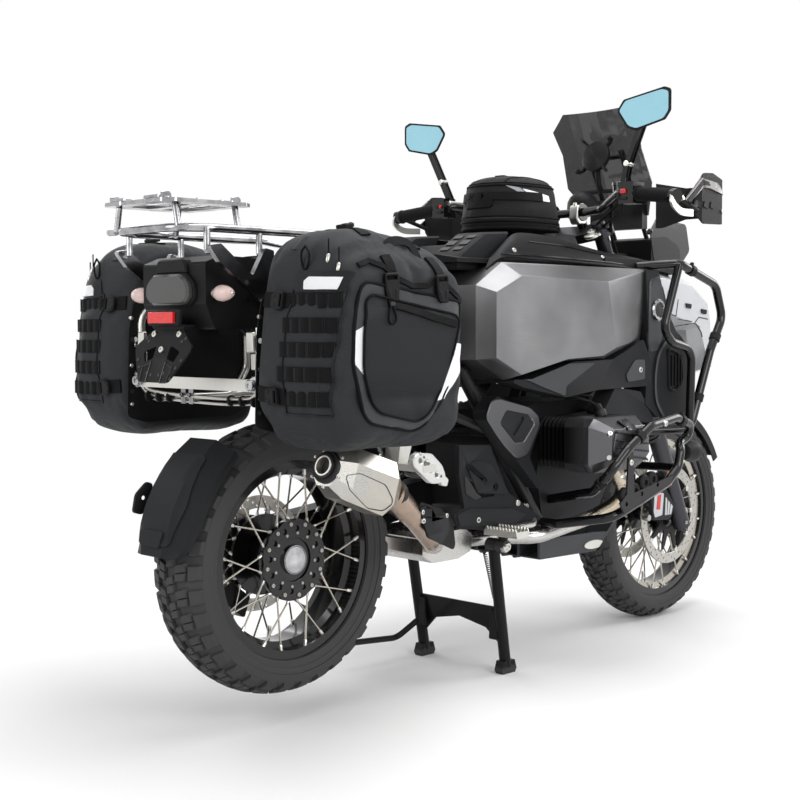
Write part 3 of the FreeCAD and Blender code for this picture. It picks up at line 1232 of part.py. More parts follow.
COVER_BASE_SHARE = 0.22
COVER_RISE = ((0.1, ((0.5, 0.46), (0.64, 0.74), (0.96, 0.66))), (1.0, ((0.64, 0.2), (0.76, 0.66), (0.95, 0.6))))
STRIP_SHARES = ((0, 0), (0, 1), (0.7, 1), (1, 0.4), (0.9, 0))


def tank_cover(well):
    """Black top of the tank: a low plate, a raised middle and the strips beside the steering."""
    base_z = (COVER_Z[0], within(COVER_Z, COVER_BASE_SHARE))
    side = outline(COVER_X, base_z, SQUARE_SHARES)
    core = slab(side, (-TANK_COVER_TOP_HALF, TANK_COVER_TOP_HALF))
    low = outline(COVER_X, (COVER_Z[0], middle(base_z)), SQUARE_SHARES)
    skirt = bevel_loft(side, TANK_COVER_TOP_HALF, low, TANK_COVER_HALF)
    wires = []
    for level, plan in COVER_RISE:
        z = within(COVER_Z, level)
        half = [vec(within(COVER_X, u), TANK_COVER_HALF * w, z) for u, w in plan]
        ring = half + [vec(p.x, -p.y, p.z) for p in reversed(half)]
        wires.append(Part.makePolygon(ring + ring[:1]))
    rise = Part.makeLoft(wires, True, True)
    strip = slab(outline(STRIP_X, STRIP_Z, STRIP_SHARES), STRIP_Y)
    return tidy(join(core, skirt, flip(skirt), rise, strip, flip(strip)).cut(well))


FAIRING_SHARES = ((0.0, 0.36), (0.14, 0.34), (0.42, 0.62), (0.7, 0.64), (0.93, 1.0), (1.0, 0.5), (0.96, 0.12), (0.6, 0.1), (0.38, 0.0), (0.1, 0.22))


INTAKE_SHARES = ((0.23, 1.0), (0.71, 0.85), (1.0, 0.0), (0.0, 0.35))


def intake_covers():
    """Black covers above the cylinders, ahead of the frame."""
    return pair_of(slab(outline(INTAKE_X, INTAKE_Z, INTAKE_SHARES), INTAKE_Y, TANK_WALL))


def side_fairings(well):
    """Grey panels under the tank and the black ducts ahead of them."""
    panel = slab(outline(FAIRING_X, FAIRING_Z, FAIRING_SHARES), FAIRING_Y, TANK_WALL)
    duct = slab(outline(DUCT_X, DUCT_Z, DUCT_SHARES), DUCT_Y, TANK_WALL)
    mouth_x = (DUCT_X[0] + DUCT_WALL * 4, DUCT_X[1] + OVERRUN)
    mouth_z = (within(DUCT_Z, 0.06), within(DUCT_Z, 0.42))
    mouth = box(mouth_x, (DUCT_Y[0] + DUCT_WALL, DUCT_Y[1] - DUCT_WALL), mouth_z)
    return pair_of(tidy(join(panel, duct.cut(mouth)).cut(well)))


DUCT_SHARES = ((0.0, 0.1), (0.06, 0.5), (0.0, 1.0), (0.24, 1.0), (0.5, 0.62), (1.0, 0.44), (0.98, 0.0), (0.24, 0.0))

BEAK_EDGE_SHARES = ((0.0, 0.98), (0.3, 1.0), (0.7, 0.92), (0.97, 0.7), (1.0, 0.5), (0.96, 0.16), (0.9, 0.0), (0.82, 0.0),
                    (0.76, 0.42), (0.4, 0.5), (0.0, 0.56))
BEAK_CREASE_SHARES = ((0.0, 0.9), (0.26, 0.9), (0.6, 0.84), (0.8, 0.68), (0.84, 0.5), (0.86, 0.2), (0.86, 0.06), (0.83, 0.06),
                      (0.7, 0.46), (0.36, 0.56), (0.0, 0.62))


def beak():
    """Front cowl with bevelled cheeks and a nose that comes down over the wheel."""
    edge = outline(BEAK_X, BEAK_Z, BEAK_EDGE_SHARES)
    crease = outline(BEAK_X, BEAK_Z, BEAK_CREASE_SHARES)
    core = slab(edge, (-BEAK_RIDGE_HALF, BEAK_RIDGE_HALF))
    cheek = bevel_loft(edge, BEAK_RIDGE_HALF, crease, BEAK_HALF)
    return join(core, cheek, flip(cheek))


def headlamp():
    """Housing above the cowl with a round lens and two side lights."""
    side = outline(LAMP_X, LAMP_Z, ((0.0, 0.1), (0.0, 0.9), (0.5, 1.0), (0.94, 0.7), (1.0, 0.1), (0.9, 0.0)))
    body = slab(side, (-LAMP_HALF, LAMP_HALF), TANK_WALL)
    centre = vec(LAMP_X[1] - LENS_RADIUS, 0, middle(LAMP_Z))
    lens = rod(centre, centre + vec(LENS_RADIUS + TANK_WALL, 0, 0), LENS_RADIUS)
    return join(body, lens)


SCREEN_SHARES = ((0.66, 0.0), (1.0, 0.3), (0.93, 0.62), (1.0, 0.84), (0.72, 1.0))


def windshield():
    """Bowed screen that leans back, and the two clear deflectors beside it."""
    half = [(SCREEN_HALF * u, within(SCREEN_Z, w)) for u, w in SCREEN_SHARES]
    ring = half + [(-y, z) for y, z in reversed(half)]
    at = [vec(SCREEN_TOP_X - SCREEN_BOW * 3, y, z) for y, z in ring]
    mask = Part.Face(Part.makePolygon(at + at[:1])).extrude(vec(SCREEN_FOOT_X - SCREEN_TOP_X + SCREEN_BOW * 6, 0, 0))
    z_low, z_high = SCREEN_Z[0] - OVERRUN, SCREEN_Z[1] + OVERRUN
    reach = SCREEN_HALF + OVERRUN
    lean = vec(SCREEN_TOP_X - SCREEN_FOOT_X, 0, z_high - z_low)

    def bow(back):
        steps = [i / SCREEN_FACETS for i in range(-SCREEN_FACETS, SCREEN_FACETS + 1)]
        return [vec(SCREEN_FOOT_X - back - SCREEN_BOW * u * u, reach * u, z_low) for u in steps]

    plan = bow(0) + list(reversed(bow(SCREEN_WALL)))
    screen = Part.Face(Part.makePolygon(plan + plan[:1])).extrude(lean).common(mask)
    deflector = slab(outline(DEFLECTOR_X, DEFLECTOR_Z, DEFLECTOR_SHARES), (DEFLECTOR_Y - SCREEN_WALL, DEFLECTOR_Y),
                     SCREEN_BOW / 2)
    return Part.makeCompound([screen, deflector, flip(deflector)])


SCREEN_FACETS = 5
DEFLECTOR_SHARES = ((0.1, 0.0), (0.0, 0.7), (0.16, 1.0), (0.9, 0.92), (1.0, 0.3), (0.8, 0.0))


def windshield_frame():
    """Stays from the headlamp to the screen, with the dash screen and a device mount."""
    parts = []
    for side in (1, -1):
        y = side * STAY_HALF
        foot = vec(within(LAMP_X, 0.2), y, LAMP_Z[1] - TANK_WALL)
        top = vec(screen_x(within(SCREEN_Z, 0.62)) - SCREEN_WALL * 4, y, within(SCREEN_Z, 0.62))
        parts.append(rod(foot, top, STAY_RADIUS))
        arm_from = vec(within(LAMP_X, 0.3), y, LAMP_Z[0] + TANK_WALL * 2)
        reach = vec(middle(DEFLECTOR_X), side * (DEFLECTOR_Y - SCREEN_WALL), within(DEFLECTOR_Z, 0.3))
        parts.append(rod(arm_from, reach, STAY_RADIUS * 0.9))
    for share in STAY_CROSS_SHARES:
        z = within(SCREEN_Z, share)
        parts.append(rod(vec(stay_x(z), -STAY_HALF * 1.25, z), vec(stay_x(z), STAY_HALF * 1.25, z), STAY_RADIUS * 0.8))
    z = within(SCREEN_Z, STAY_CROSS_SHARES[0])
    centre = vec(stay_x(z) - DASH_SIZE[0], 0, z)
    parts.append(Part.makeBox(*DASH_SIZE, centre - vec(DASH_SIZE[0] / 2, DASH_SIZE[1] / 2, DASH_SIZE[2] / 2)))
    parts.append(rod(centre, vec(stay_x(z), 0, z), STAY_RADIUS * 0.6))
    head = steer(middle(HEAD_SPAN)) + vec(middle((STEM_RADIUS, HEAD_RADIUS)), 0, 0)
    parts.append(rod(head, vec(LAMP_X[0] + TANK_WALL, 0, head.z), STEM_RADIUS))
    return parts[0].multiFuse(parts[1:])


STAY_CROSS_SHARES = (0.02, 0.56)


def screen_x(z):
    share = (z - SCREEN_Z[0]) / length_of(SCREEN_Z)
    return within((SCREEN_FOOT_X, SCREEN_TOP_X), share)


def stay_x(z):
    foot_z, top_z = LAMP_Z[1] - TANK_WALL, within(SCREEN_Z, 0.62)
    share = (z - foot_z) / (top_z - foot_z)
    return within((within(LAMP_X, 0.2), screen_x(top_z) - SCREEN_WALL * 4), share)


RIDER_SEAT_SHARES = ((0.0, 0.3), (0.02, 0.8), (0.2, 0.62), (0.6, 0.56), (1.0, 1.0), (1.0, 0.1), (0.7, 0.0), (0.1, 0.0))
PILLION_SEAT_SHARES = ((0.0, 0.3), (0.02, 0.86), (0.5, 1.0), (0.94, 0.94), (1.0, 0.5), (0.94, 0.06), (0.1, 0.0))


def seats():
    rider = cushion(SEAT_X, SEAT_Z, SEAT_HALF, RIDER_SEAT_SHARES, 0.86)
    pillion = cushion(PILLION_X, PILLION_Z, PILLION_HALF, PILLION_SEAT_SHARES, 0.86)
    return rider, pillion


TAIL_SHARES = ((0.0, 0.34), (0.0, 0.9), (0.1, 1.0), (0.5, 0.96), (1.0, 0.4), (0.96, 0.1), (0.5, 0.1), (0.3, 0.0), (0.06, 0.0))


def tail_unit():
    """Tail cowl, and under it the bare plate holder with two long windows."""
    points = outline(TAIL_X, TAIL_Z, TAIL_SHARES)
    body = slab(points, (-TAIL_HALF, TAIL_HALF), TANK_WALL)
    down = vec(PLATE_FOOT[0] - PLATE_TOP[0], 0, PLATE_FOOT[1] - PLATE_TOP[1])

    def on_plate(y_share, run_share):
        return vec(PLATE_TOP[0], PLATE_HALF * y_share, PLATE_TOP[1]) + down * run_share

    def patch(shares, corner):
        wire = round_path([on_plate(u, w) for u, w in shares], corner, True)
        return wire

    plate = Part.Face(patch(PLATE_SHARES, PLATE_WALL * 3)).extrude(vec(PLATE_WALL, 0, 0))
    for side in (1, -1):
        window = Part.Face(patch([(side * u, w) for u, w in PLATE_WINDOW_SHARES], PLATE_WALL))
        plate = plate.cut(window.extrude(vec(PLATE_WALL * 3, 0, 0)).translate(vec(-PLATE_WALL, 0, 0)))
    neck = box((PLATE_TOP[0], within(TAIL_X, 0.2)), (-PLATE_HALF * 0.5, PLATE_HALF * 0.5),
               (PLATE_TOP[1] - PLATE_WALL * 4, PLATE_TOP[1] + PLATE_WALL * 2))
    return join(body, neck, plate)


PLATE_SHARES = ((-0.5, 0.0), (0.5, 0.0), (1.0, 0.34), (0.8, 0.62), (0.5, 1.0), (-0.5, 1.0), (-0.8, 0.62), (-1.0, 0.34))
PLATE_WINDOW_SHARES = ((0.24, 0.3), (0.62, 0.42), (0.5, 0.62), (0.24, 0.56))


def tail_lamp():
    """Lamp with a raised cover, and the reflector below it."""
    side = outline(TAIL_LAMP_X, TAIL_LAMP_Z, ((0.0, 0.3), (0.2, 0.9), (0.5, 1.0), (1.0, 1.0), (1.0, 0.0), (0.3, 0.0)))
    lamp = slab(side, (-TAIL_LAMP_HALF, TAIL_LAMP_HALF))
    reflector_z = (TAIL_LAMP_Z[0] - REFLECTOR_DROP, TAIL_LAMP_Z[0] - REFLECTOR_DROP + REFLECTOR_HIGH)
    reflector_x = (TAIL_X[0] - REFLECTOR_PROUD, TAIL_X[0] + REFLECTOR_PROUD * 3)
    reflector = box(reflector_x, (-REFLECTOR_HALF, REFLECTOR_HALF), reflector_z)
    return lamp, reflector


REFLECTOR_DROP = 46.0
REFLECTOR_HIGH = 26.0
REFLECTOR_HALF = 46.0
REFLECTOR_PROUD = 7.0


def indicators():
    stem = rod(vec(INDICATOR_X, TAIL_HALF - OVERRUN, INDICATOR_Z), vec(INDICATOR_X, INDICATOR_Y[0] + OVERRUN, INDICATOR_Z), INDICATOR_RADIUS * 0.4)
    wires = []
    for share, girth, back in INDICATOR_SHARES:
        y = within(INDICATOR_Y, share)
        wires.append(Part.Wire(Part.makeCircle(INDICATOR_RADIUS * girth, vec(INDICATOR_X - INDICATOR_RADIUS * back, y, INDICATOR_Z), vec(0, 1, 0))))
    pod = Part.makeLoft(wires, True, False)
    return pair_of(join(stem, pod))


INDICATOR_SHARES = ((0.0, 0.6, 0.0), (0.3, 1.0, 0.1), (0.7, 0.9, 0.14), (1.0, 0.4, 0.1))


def luggage_rack():
    """Top plate with slots, a tube loop under it and a forked bracket on each side."""
    plate_z = (RACK_Z[1] - RACK_PLATE, RACK_Z[1])
    parts = []
    for side in (1, -1):
        ring = [vec(within(RACK_X, u), side * RACK_HALF * w, plate_z[0]) for u, w in RACK_SIDE_SHARES]
        parts.append(Part.Face(round_path(ring, RACK_PLATE * 1.5, True)).extrude(vec(0, 0, RACK_PLATE)))
    for share in RACK_CROSS_SHARES:
        x = within(RACK_X, share)
        parts.append(box((x - RACK_TUBE * 1.6, x + RACK_TUBE * 1.6), (-RACK_HALF * 0.9, RACK_HALF * 0.9), plate_z))
    plate = parts[0].multiFuse(parts[1:])
    holes = []
    for sx in (-0.5, 0.5):
        for sy in (-0.5, 0.5):
            at = vec(middle(RACK_X) + RACK_HOLE_SPACING[0] * sx, RACK_HOLE_SPACING[1] * sy, plate_z[0] - OVERRUN)
            holes.append(Part.makeCylinder(RACK_HOLE_RADIUS, RACK_PLATE + OVERRUN * 2, at))
    plate = plate.cut(Part.makeCompound(holes))
    loop = []
    for side in (1, -1):
        y = side * RACK_LOOP_HALF
        points = [vec(RACK_LOOP_X[0], 0, RACK_LOOP_Z), vec(RACK_LOOP_X[0], y * 0.7, RACK_LOOP_Z)]
        points += [vec(within(RACK_LOOP_X, 0.12), y, RACK_LOOP_Z), vec(within(RACK_LOOP_X, 0.8), y, RACK_LOOP_Z)]
        points += [vec(RACK_LOOP_X[1], y * 0.8, RACK_LOOP_Z - RACK_TUBE * 2)]
        loop.append(tube(points, RACK_TUBE, BAR_BEND))
        for share in (0.16, 0.84):
            x = within(RACK_X, share)
            loop.append(rod(vec(x, y * 0.8, RACK_LOOP_Z), vec(x, y * 0.72, RACK_Z[1] - RACK_PLATE), RACK_TUBE * 0.8))
            loop.append(rod(vec(x, y * 0.8, RACK_LOOP_Z), vec(x, y, RACK_LOOP_Z), RACK_TUBE * 0.8))
    brackets = []
    for side in (1, -1):
        span = sorted((side * RACK_SIDE_Y[0], side * RACK_SIDE_Y[1]))
        brackets.append(slab(outline(RACK_FORK_X, RACK_FORK_Z, RACK_FORK_SHARES), span, RACK_TUBE * 0.6))
        for share, z_share in RACK_FORK_TIE_SHARES:
            at = vec(within(RACK_FORK_X, share), side * RACK_SIDE_Y[1], within(RACK_FORK_Z, z_share))
            brackets.append(rod(at, vec(at.x, side * RACK_LOOP_HALF, at.z), RACK_TUBE * 0.8))
            brackets.append(rod(vec(at.x, side * RACK_LOOP_HALF, at.z), vec(at.x, side * RACK_LOOP_HALF, RACK_LOOP_Z), RACK_TUBE * 0.8))
        low = vec(within(RACK_FORK_X, 0.88), side * RACK_SIDE_Y[1], within(RACK_FORK_Z, 0.08))
        brackets.append(rod(low, vec(low.x, side * SUBFRAME_HALF * 0.9, low.z), RACK_TUBE * 0.8))
    return plate.multiFuse(loop + brackets)


RACK_SIDE_SHARES = ((0.0, 0.3), (0.0, 0.86), (0.1, 1.0), (0.92, 1.0), (1.0, 0.84), (1.0, 0.66), (0.22, 0.62), (0.14, 0.3))
RACK_CROSS_SHARES = (0.08, 0.5, 0.93)
RACK_FORK_X = (-324.0, -148.0)
RACK_FORK_Z = (962.0, 1082.0)
RACK_FORK_SHARES = ((0.0, 0.96), (0.18, 1.0), (0.66, 0.46), (0.86, 0.96), (1.0, 0.92), (0.92, 0.0), (0.8, 0.0), (0.16, 0.68))
RACK_FORK_TIE_SHARES = ((0.12, 0.88), (0.92, 0.86))


# Bags

def pannier(side):
    """Soft bag: an upright body whose top is domed and falls towards the front and the outside."""
    wires = []
    mid_x = middle(BAG_X)
    for y_share, girth, top_share in BAG_STATION_SHARES:
        ring = []
        for u, w in BAG_OUTLINE_SHARES:
            level = w if w < BAG_BELLY_SHARE else BAG_BELLY_SHARE + (w - BAG_BELLY_SHARE) * top_share
            x = mid_x + (within(BAG_X, u) - mid_x) * girth
            ring.append(vec(x, within(BAG_Y, y_share), within(BAG_Z, level)))
        wires.append(Part.makePolygon(ring + ring[:1]))
    bag = Part.makeLoft(wires, True, True)
    return bag if side > 0 else flip(bag)


BAG_BELLY_SHARE = 0.5
BAG_OUTLINE_SHARES = ((0.08, 0.08), (0.0, 0.2), (0.06, 0.76), (0.13, 0.93), (0.35, 1.0), (0.93, 0.9), (1.0, 0.76),
                      (0.98, 0.12), (0.88, 0.0), (0.16, 0.0))
BAG_STATION_SHARES = ((0.0, 0.94, 0.9), (0.14, 1.0, 0.97), (0.62, 1.0, 1.0), (0.86, 0.98, 0.8), (1.0, 0.9, 0.66))


def pannier_frame():
    """Side loops that carry the bags, joined by a flattened bar behind the wheel."""
    parts = []
    for side in (1, -1):
        y = side * BAG_FRAME_Y
        ring = [vec(within(BAG_FRAME_X, u), y, within(BAG_FRAME_Z, w)) for u, w in BAG_LOOP_SHARES]
        parts.append(tube(ring, BAG_FRAME_TUBE, BAR_BEND))
        tie_top = vec(within(BAG_FRAME_X, 0.7), y, BAG_FRAME_Z[1])
        rail = vec(tie_top.x, side * SUBFRAME_HALF * 0.9, within(TAIL_Z, 0.2))
        parts.append(rod(tie_top, rail, BAG_FRAME_TUBE * 0.8))
        low = vec(within(BAG_FRAME_X, 0.86), y, BAG_FRAME_Z[0])
        parts.append(rod(low, vec(low.x + BAG_FRAME_TUBE * 9, side * FRAME_HALF, low.z + BAG_FRAME_TUBE), BAG_FRAME_TUBE * 0.8))
    half = BAG_FRAME_Y
    ends = (CROSS_BAR_X - CROSS_BAR_DEEP / 2, CROSS_BAR_X + CROSS_BAR_DEEP / 2)
    parts.append(box(ends, (-half, half), (CROSS_BAR_Z - CROSS_BAR_HIGH / 2, CROSS_BAR_Z + CROSS_BAR_HIGH / 2)))
    for side in (1, -1):
        parts.append(rod(vec(CROSS_BAR_X, side * half, CROSS_BAR_Z), vec(BAG_FRAME_X[0], side * half, CROSS_BAR_Z), CROSS_BAR_HIGH / 2))
    return parts[0].multiFuse(parts[1:])


BAG_LOOP_SHARES = ((0.0, 0.2), (0.0, 1.0), (1.0, 1.0), (1.0, 0.3), (0.86, 0.0), (0.1, 0.0), (0.0, 0.16))


def tank_bag():
    """Oval bag on the tank: straight lower wall, domed lid."""
    wires = []
    for level, girth in TANK_BAG_SHARES:
        z = TANK_BAG_Z[0] + TANK_BAG_HIGH * level
        half_x = length_of(TANK_BAG_X) / 2 * girth
        half_y = TANK_BAG_HALF * girth
        x = middle(TANK_BAG_X)
        ring = [vec(x + half_x * u, half_y * w, z) for u, w in OVAL_SHARES]
        wires.append(round_path(ring, TANK_BAG_HALF * 0.4, True))
    return Part.makeLoft(wires, True, True)


TANK_BAG_Z = (COVER_Z[1] + SEAT_GAP, COVER_Z[1] + TANK_BAG_HIGH)
TANK_BAG_SHARES = ((0.0, 0.86), (0.1, 0.96), (0.5, 1.0), (0.8, 0.96), (0.95, 0.8), (1.0, 0.6))
OVAL_SHARES = ((1.0, 0.45), (0.7, 1.0), (-0.7, 1.0), (-1.0, 0.45), (-1.0, -0.45), (-0.7, -1.0), (0.7, -1.0), (1.0, -0.45))


def splash_guard():
    """Faceted shield behind the wheel, on an arm from the final drive."""
    wires = []
    for share, face_share, side_share, drop_share in SPLASH_SHARES:
        face, side = SPLASH_HALF * face_share, SPLASH_HALF * side_share
        low = SPLASH_RADIUS - SPLASH_DROP * drop_share
        chain = [(side, low - SPLASH_LIP), (side, low), (face, SPLASH_RADIUS)]
        under = [(-face + SPLASH_WALL / 2, SPLASH_RADIUS - SPLASH_WALL), (-side + SPLASH_WALL, low - SPLASH_WALL / 2)]
        under += [(-side + SPLASH_WALL, low - SPLASH_LIP)]
        profile = mirrored(chain) + list(reversed(under)) + [(-y, r) for y, r in under]
        angle = within(SPLASH_ANGLES, share)
        at = [polar(REAR_AXLE, r, angle) + vec(0, y, 0) for y, r in profile]
        wires.append(Part.makePolygon(at + at[:1]))
    shell = Part.makeLoft(wires, True, True)
    arm_y = middle(SWINGARM_Y)
    elbow = polar(REAR_AXLE, REAR_TYRE_RADIUS * SPLASH_ELBOW_SHARE, SPLASH_ARM_ANGLE) + vec(0, arm_y, 0)
    end = polar(REAR_AXLE, SPLASH_RADIUS - SPLASH_DROP - SPLASH_LIP / 2, SPLASH_ARM_ANGLE)
    points = [REAR_AXLE + vec(0, arm_y, 0), elbow, end + vec(0, SPLASH_HALF - SPLASH_WALL, 0)]
    return join(shell, tube(points, SPLASH_ARM_RADIUS, BAR_BEND))


SPLASH_SHARES = ((0.0, 0.48, 0.95, 0.84), (0.16, 0.54, 0.98, 1.0), (0.32, 0.56, 1.0, 1.0), (0.48, 0.56, 1.0, 1.0),
                 (0.64, 0.55, 0.99, 1.0), (0.8, 0.5, 0.94, 0.94), (0.92, 0.43, 0.84, 0.76), (1.0, 0.36, 0.7, 0.4))
SPLASH_ELBOW_SHARE = 0.8
SPLASH_ARM_ANGLE = 160.0


# Pegs, covers and bars

def foot_pegs():
    """Rider's pegs on brackets from the frame, passenger's pegs on hangers."""
    peg = box((PEG_X - PEG_WIDTH / 2, PEG_X + PEG_WIDTH / 2), PEG_Y, (PEG_Z - PEG_HIGH / 2, PEG_Z + PEG_HIGH / 2))
    beam = on_beam(STAND_ARM_SHARE, 1)
    root = vec(PEG_X, PEG_Y[0] + PEG_HIGH / 2, PEG_Z)
    bracket = tube([beam, vec(beam.x - PEG_WIDTH, root.y, PEG_Z), root], PEG_HIGH / 2, PEG_WIDTH / 2)
    pillion_x = (PILLION_PEG_X - PEG_WIDTH / 2, PILLION_PEG_X + PEG_WIDTH / 2)
    pillion = box(pillion_x, PILLION_PEG_Y, (PILLION_PEG_Z - PEG_HIGH, PILLION_PEG_Z))
    hanger_y = (FRAME_HALF + SUBFRAME_TUBE * 0.9, PILLION_PEG_Y[0] + PEG_HIGH / 2)
    hanger = slab(outline((PILLION_PEG_X - PEG_WIDTH * 0.6, PILLION_PEG_X + PEG_WIDTH * 1.6), (PILLION_PEG_Z - PEG_HIGH, within(BAG_FRAME_Z, 0.16)),
                          ((0.0, 0.0), (0.3, 0.0), (0.86, 0.8), (0.8, 1.0), (0.5, 1.0), (0.1, 0.3))), hanger_y, PEG_HIGH / 2)
    return pair_of(join(peg, bracket)), pair_of(join(pillion, hanger))


HEEL_SHARES = ((0.06, 1.0), (0.4, 0.97), (0.61, 0.44), (1.0, 0.11), (0.83, 0.0), (0.07, 0.12), (0.0, 0.28), (0.12, 0.33),
               (0.06, 0.68))
HEEL_WINDOW_SHARES = ((0.11, 0.68), (0.22, 0.42), (0.49, 0.42))
HEEL_SLOT_SHARES = ((0.138, 0.774), (0.156, 0.808), (0.335, 0.615), (0.318, 0.581))
HEEL_HOLE_SHARES = (0.44, 0.52)
PANEL_SHARES = ((0.18, 1.0), (0.0, 0.88), (0.02, 0.79), (1.0, 0.0), (0.705, 0.434), (0.9, 0.72), (0.7, 0.86))
RAISED_SHARES = ((0.29, 0.91), (0.27, 0.71), (0.51, 0.55), (0.74, 0.78))


def side_covers():
    """Heel guard plates with a window, a slot and a hole, and the angular panels above them."""
    through = (HEEL_Y[0] - OVERRUN, HEEL_Y[1] + OVERRUN)
    heel = slab(outline(HEEL_X, HEEL_Z, HEEL_SHARES), HEEL_Y, OVERRUN)
    for shares in (HEEL_WINDOW_SHARES, HEEL_SLOT_SHARES):
        heel = heel.cut(slab(outline(HEEL_X, HEEL_Z, shares), through, OVERRUN))
    hole = vec(within(HEEL_X, HEEL_HOLE_SHARES[0]), through[0], within(HEEL_Z, HEEL_HOLE_SHARES[1]))
    heel = heel.cut(rod(hole, hole + vec(0, length_of(through), 0), HEEL_HOLE_RADIUS))
    panel = slab(outline(PANEL_X, PANEL_Z, PANEL_SHARES), PANEL_Y, TANK_WALL)
    raised = slab(outline(PANEL_X, PANEL_Z, RAISED_SHARES), (PANEL_Y[1] - OVERRUN, PANEL_Y[1] + TANK_WALL), TANK_WALL)
    return pair_of(Part.makeCompound([heel, join(panel, raised)]))


LOWER_LOOP_SHARES = ((0.2, -0.12, 0.19), (0.083, 0.65, 0.33), (0.015, 0.95, 0.53), (0.17, 1.0, 0.75), (0.43, 1.0, 0.945),
                     (0.75, 0.97, 1.0), (0.98, 0.91, 0.91), (0.99, 0.87, 0.79), (0.88, 0.87, 0.73), (0.83, 0.95, 0.68),
                     (0.795, 0.95, 0.5), (0.665, 0.95, 0.37), (0.37, 0.95, 0.245), (0.11, 0.87, 0.1), (0.02, 0.23, 0.0),
                     (0.02, 0.0, 0.0))
BAR_PLATE_SHARES = ((0.08, 0.25), (0.13, 0.14), (0.37, 0.26), (0.665, 0.385), (0.685, 0.45), (0.35, 0.36), (0.235, 0.33),
                    (0.22, 0.73), (0.17, 0.73), (0.155, 0.33))
BAR_PLATE_HOLE_SHARES = ((0.15, 0.235), (0.32, 0.31), (0.5, 0.375))


def lower_crash_bars():
    """Tube loop round each cylinder, with a tie to the crankcase and a bolted guard plate."""
    ring = []
    for u, v, w in LOWER_LOOP_SHARES:
        ring.append(vec(within(LOWER_BAR_X, u), within(LOWER_BAR_Y, v), within(LOWER_BAR_Z, w)))
    loop = tube(ring, BAR_TUBE, BAR_BEND)
    root = vec(ENGINE_X[1] - BAR_TUBE * 2, ENGINE_HALF - BAR_TUBE, within(ENGINE_Z, 0.4))
    elbow = vec(ENGINE_X[1] + BAR_TUBE * 2, ENGINE_HALF + BAR_TUBE * 3, within(ENGINE_Z, 0.5))
    tie = tube([root, elbow, ring[10]], BAR_TUBE * TIE_GIRTH_SHARE, BAR_BEND)
    outer = ring[12].y + BAR_TUBE
    plate_y = (outer - BAR_PLATE_WALL / 2, outer + BAR_PLATE_WALL / 2)
    plate = slab(outline(LOWER_BAR_X, LOWER_BAR_Z, BAR_PLATE_SHARES), plate_y)
    for u, w in BAR_PLATE_HOLE_SHARES:
        at = vec(within(LOWER_BAR_X, u), outer - BAR_PLATE_WALL, within(LOWER_BAR_Z, w))
        plate = plate.cut(rod(at, at + vec(0, BAR_PLATE_WALL * 2, 0), BAR_PLATE_HOLE))
    return pair_of(join(loop, tie, plate))


TIE_GIRTH_SHARE = 0.94
UPPER_LOOP_SHARES = ((0.04, 0.5, 0.985), (0.3, 1.0, 1.0), (0.88, 1.0, 0.885), (1.0, 1.0, 0.69), (0.8, 1.0, 0.49), (0.5, 0.98, 0.03), (0.0, 0.4, 0.02))
INNER_BRANCH_SHARES = ((0.28, 1.0, 0.99), (0.05, 1.0, 0.62), (0.18, 1.0, 0.545), (0.5, 1.0, 0.5), (0.48, 0.99, 0.04))


def upper_crash_bars():
    """Outer loop beside the fairing and the inner branch that comes down to the engine."""
    def place(shares):
        return [vec(within(UPPER_BAR_X, u), within(UPPER_BAR_Y, v), within(UPPER_BAR_Z, w)) for u, v, w in shares]
    loop = tube(place(UPPER_LOOP_SHARES), BAR_TUBE, BAR_BEND)
    branch = tube(place(INNER_BRANCH_SHARES), BAR_TUBE * 0.96, BAR_BEND)
    return pair_of(join(loop, branch))


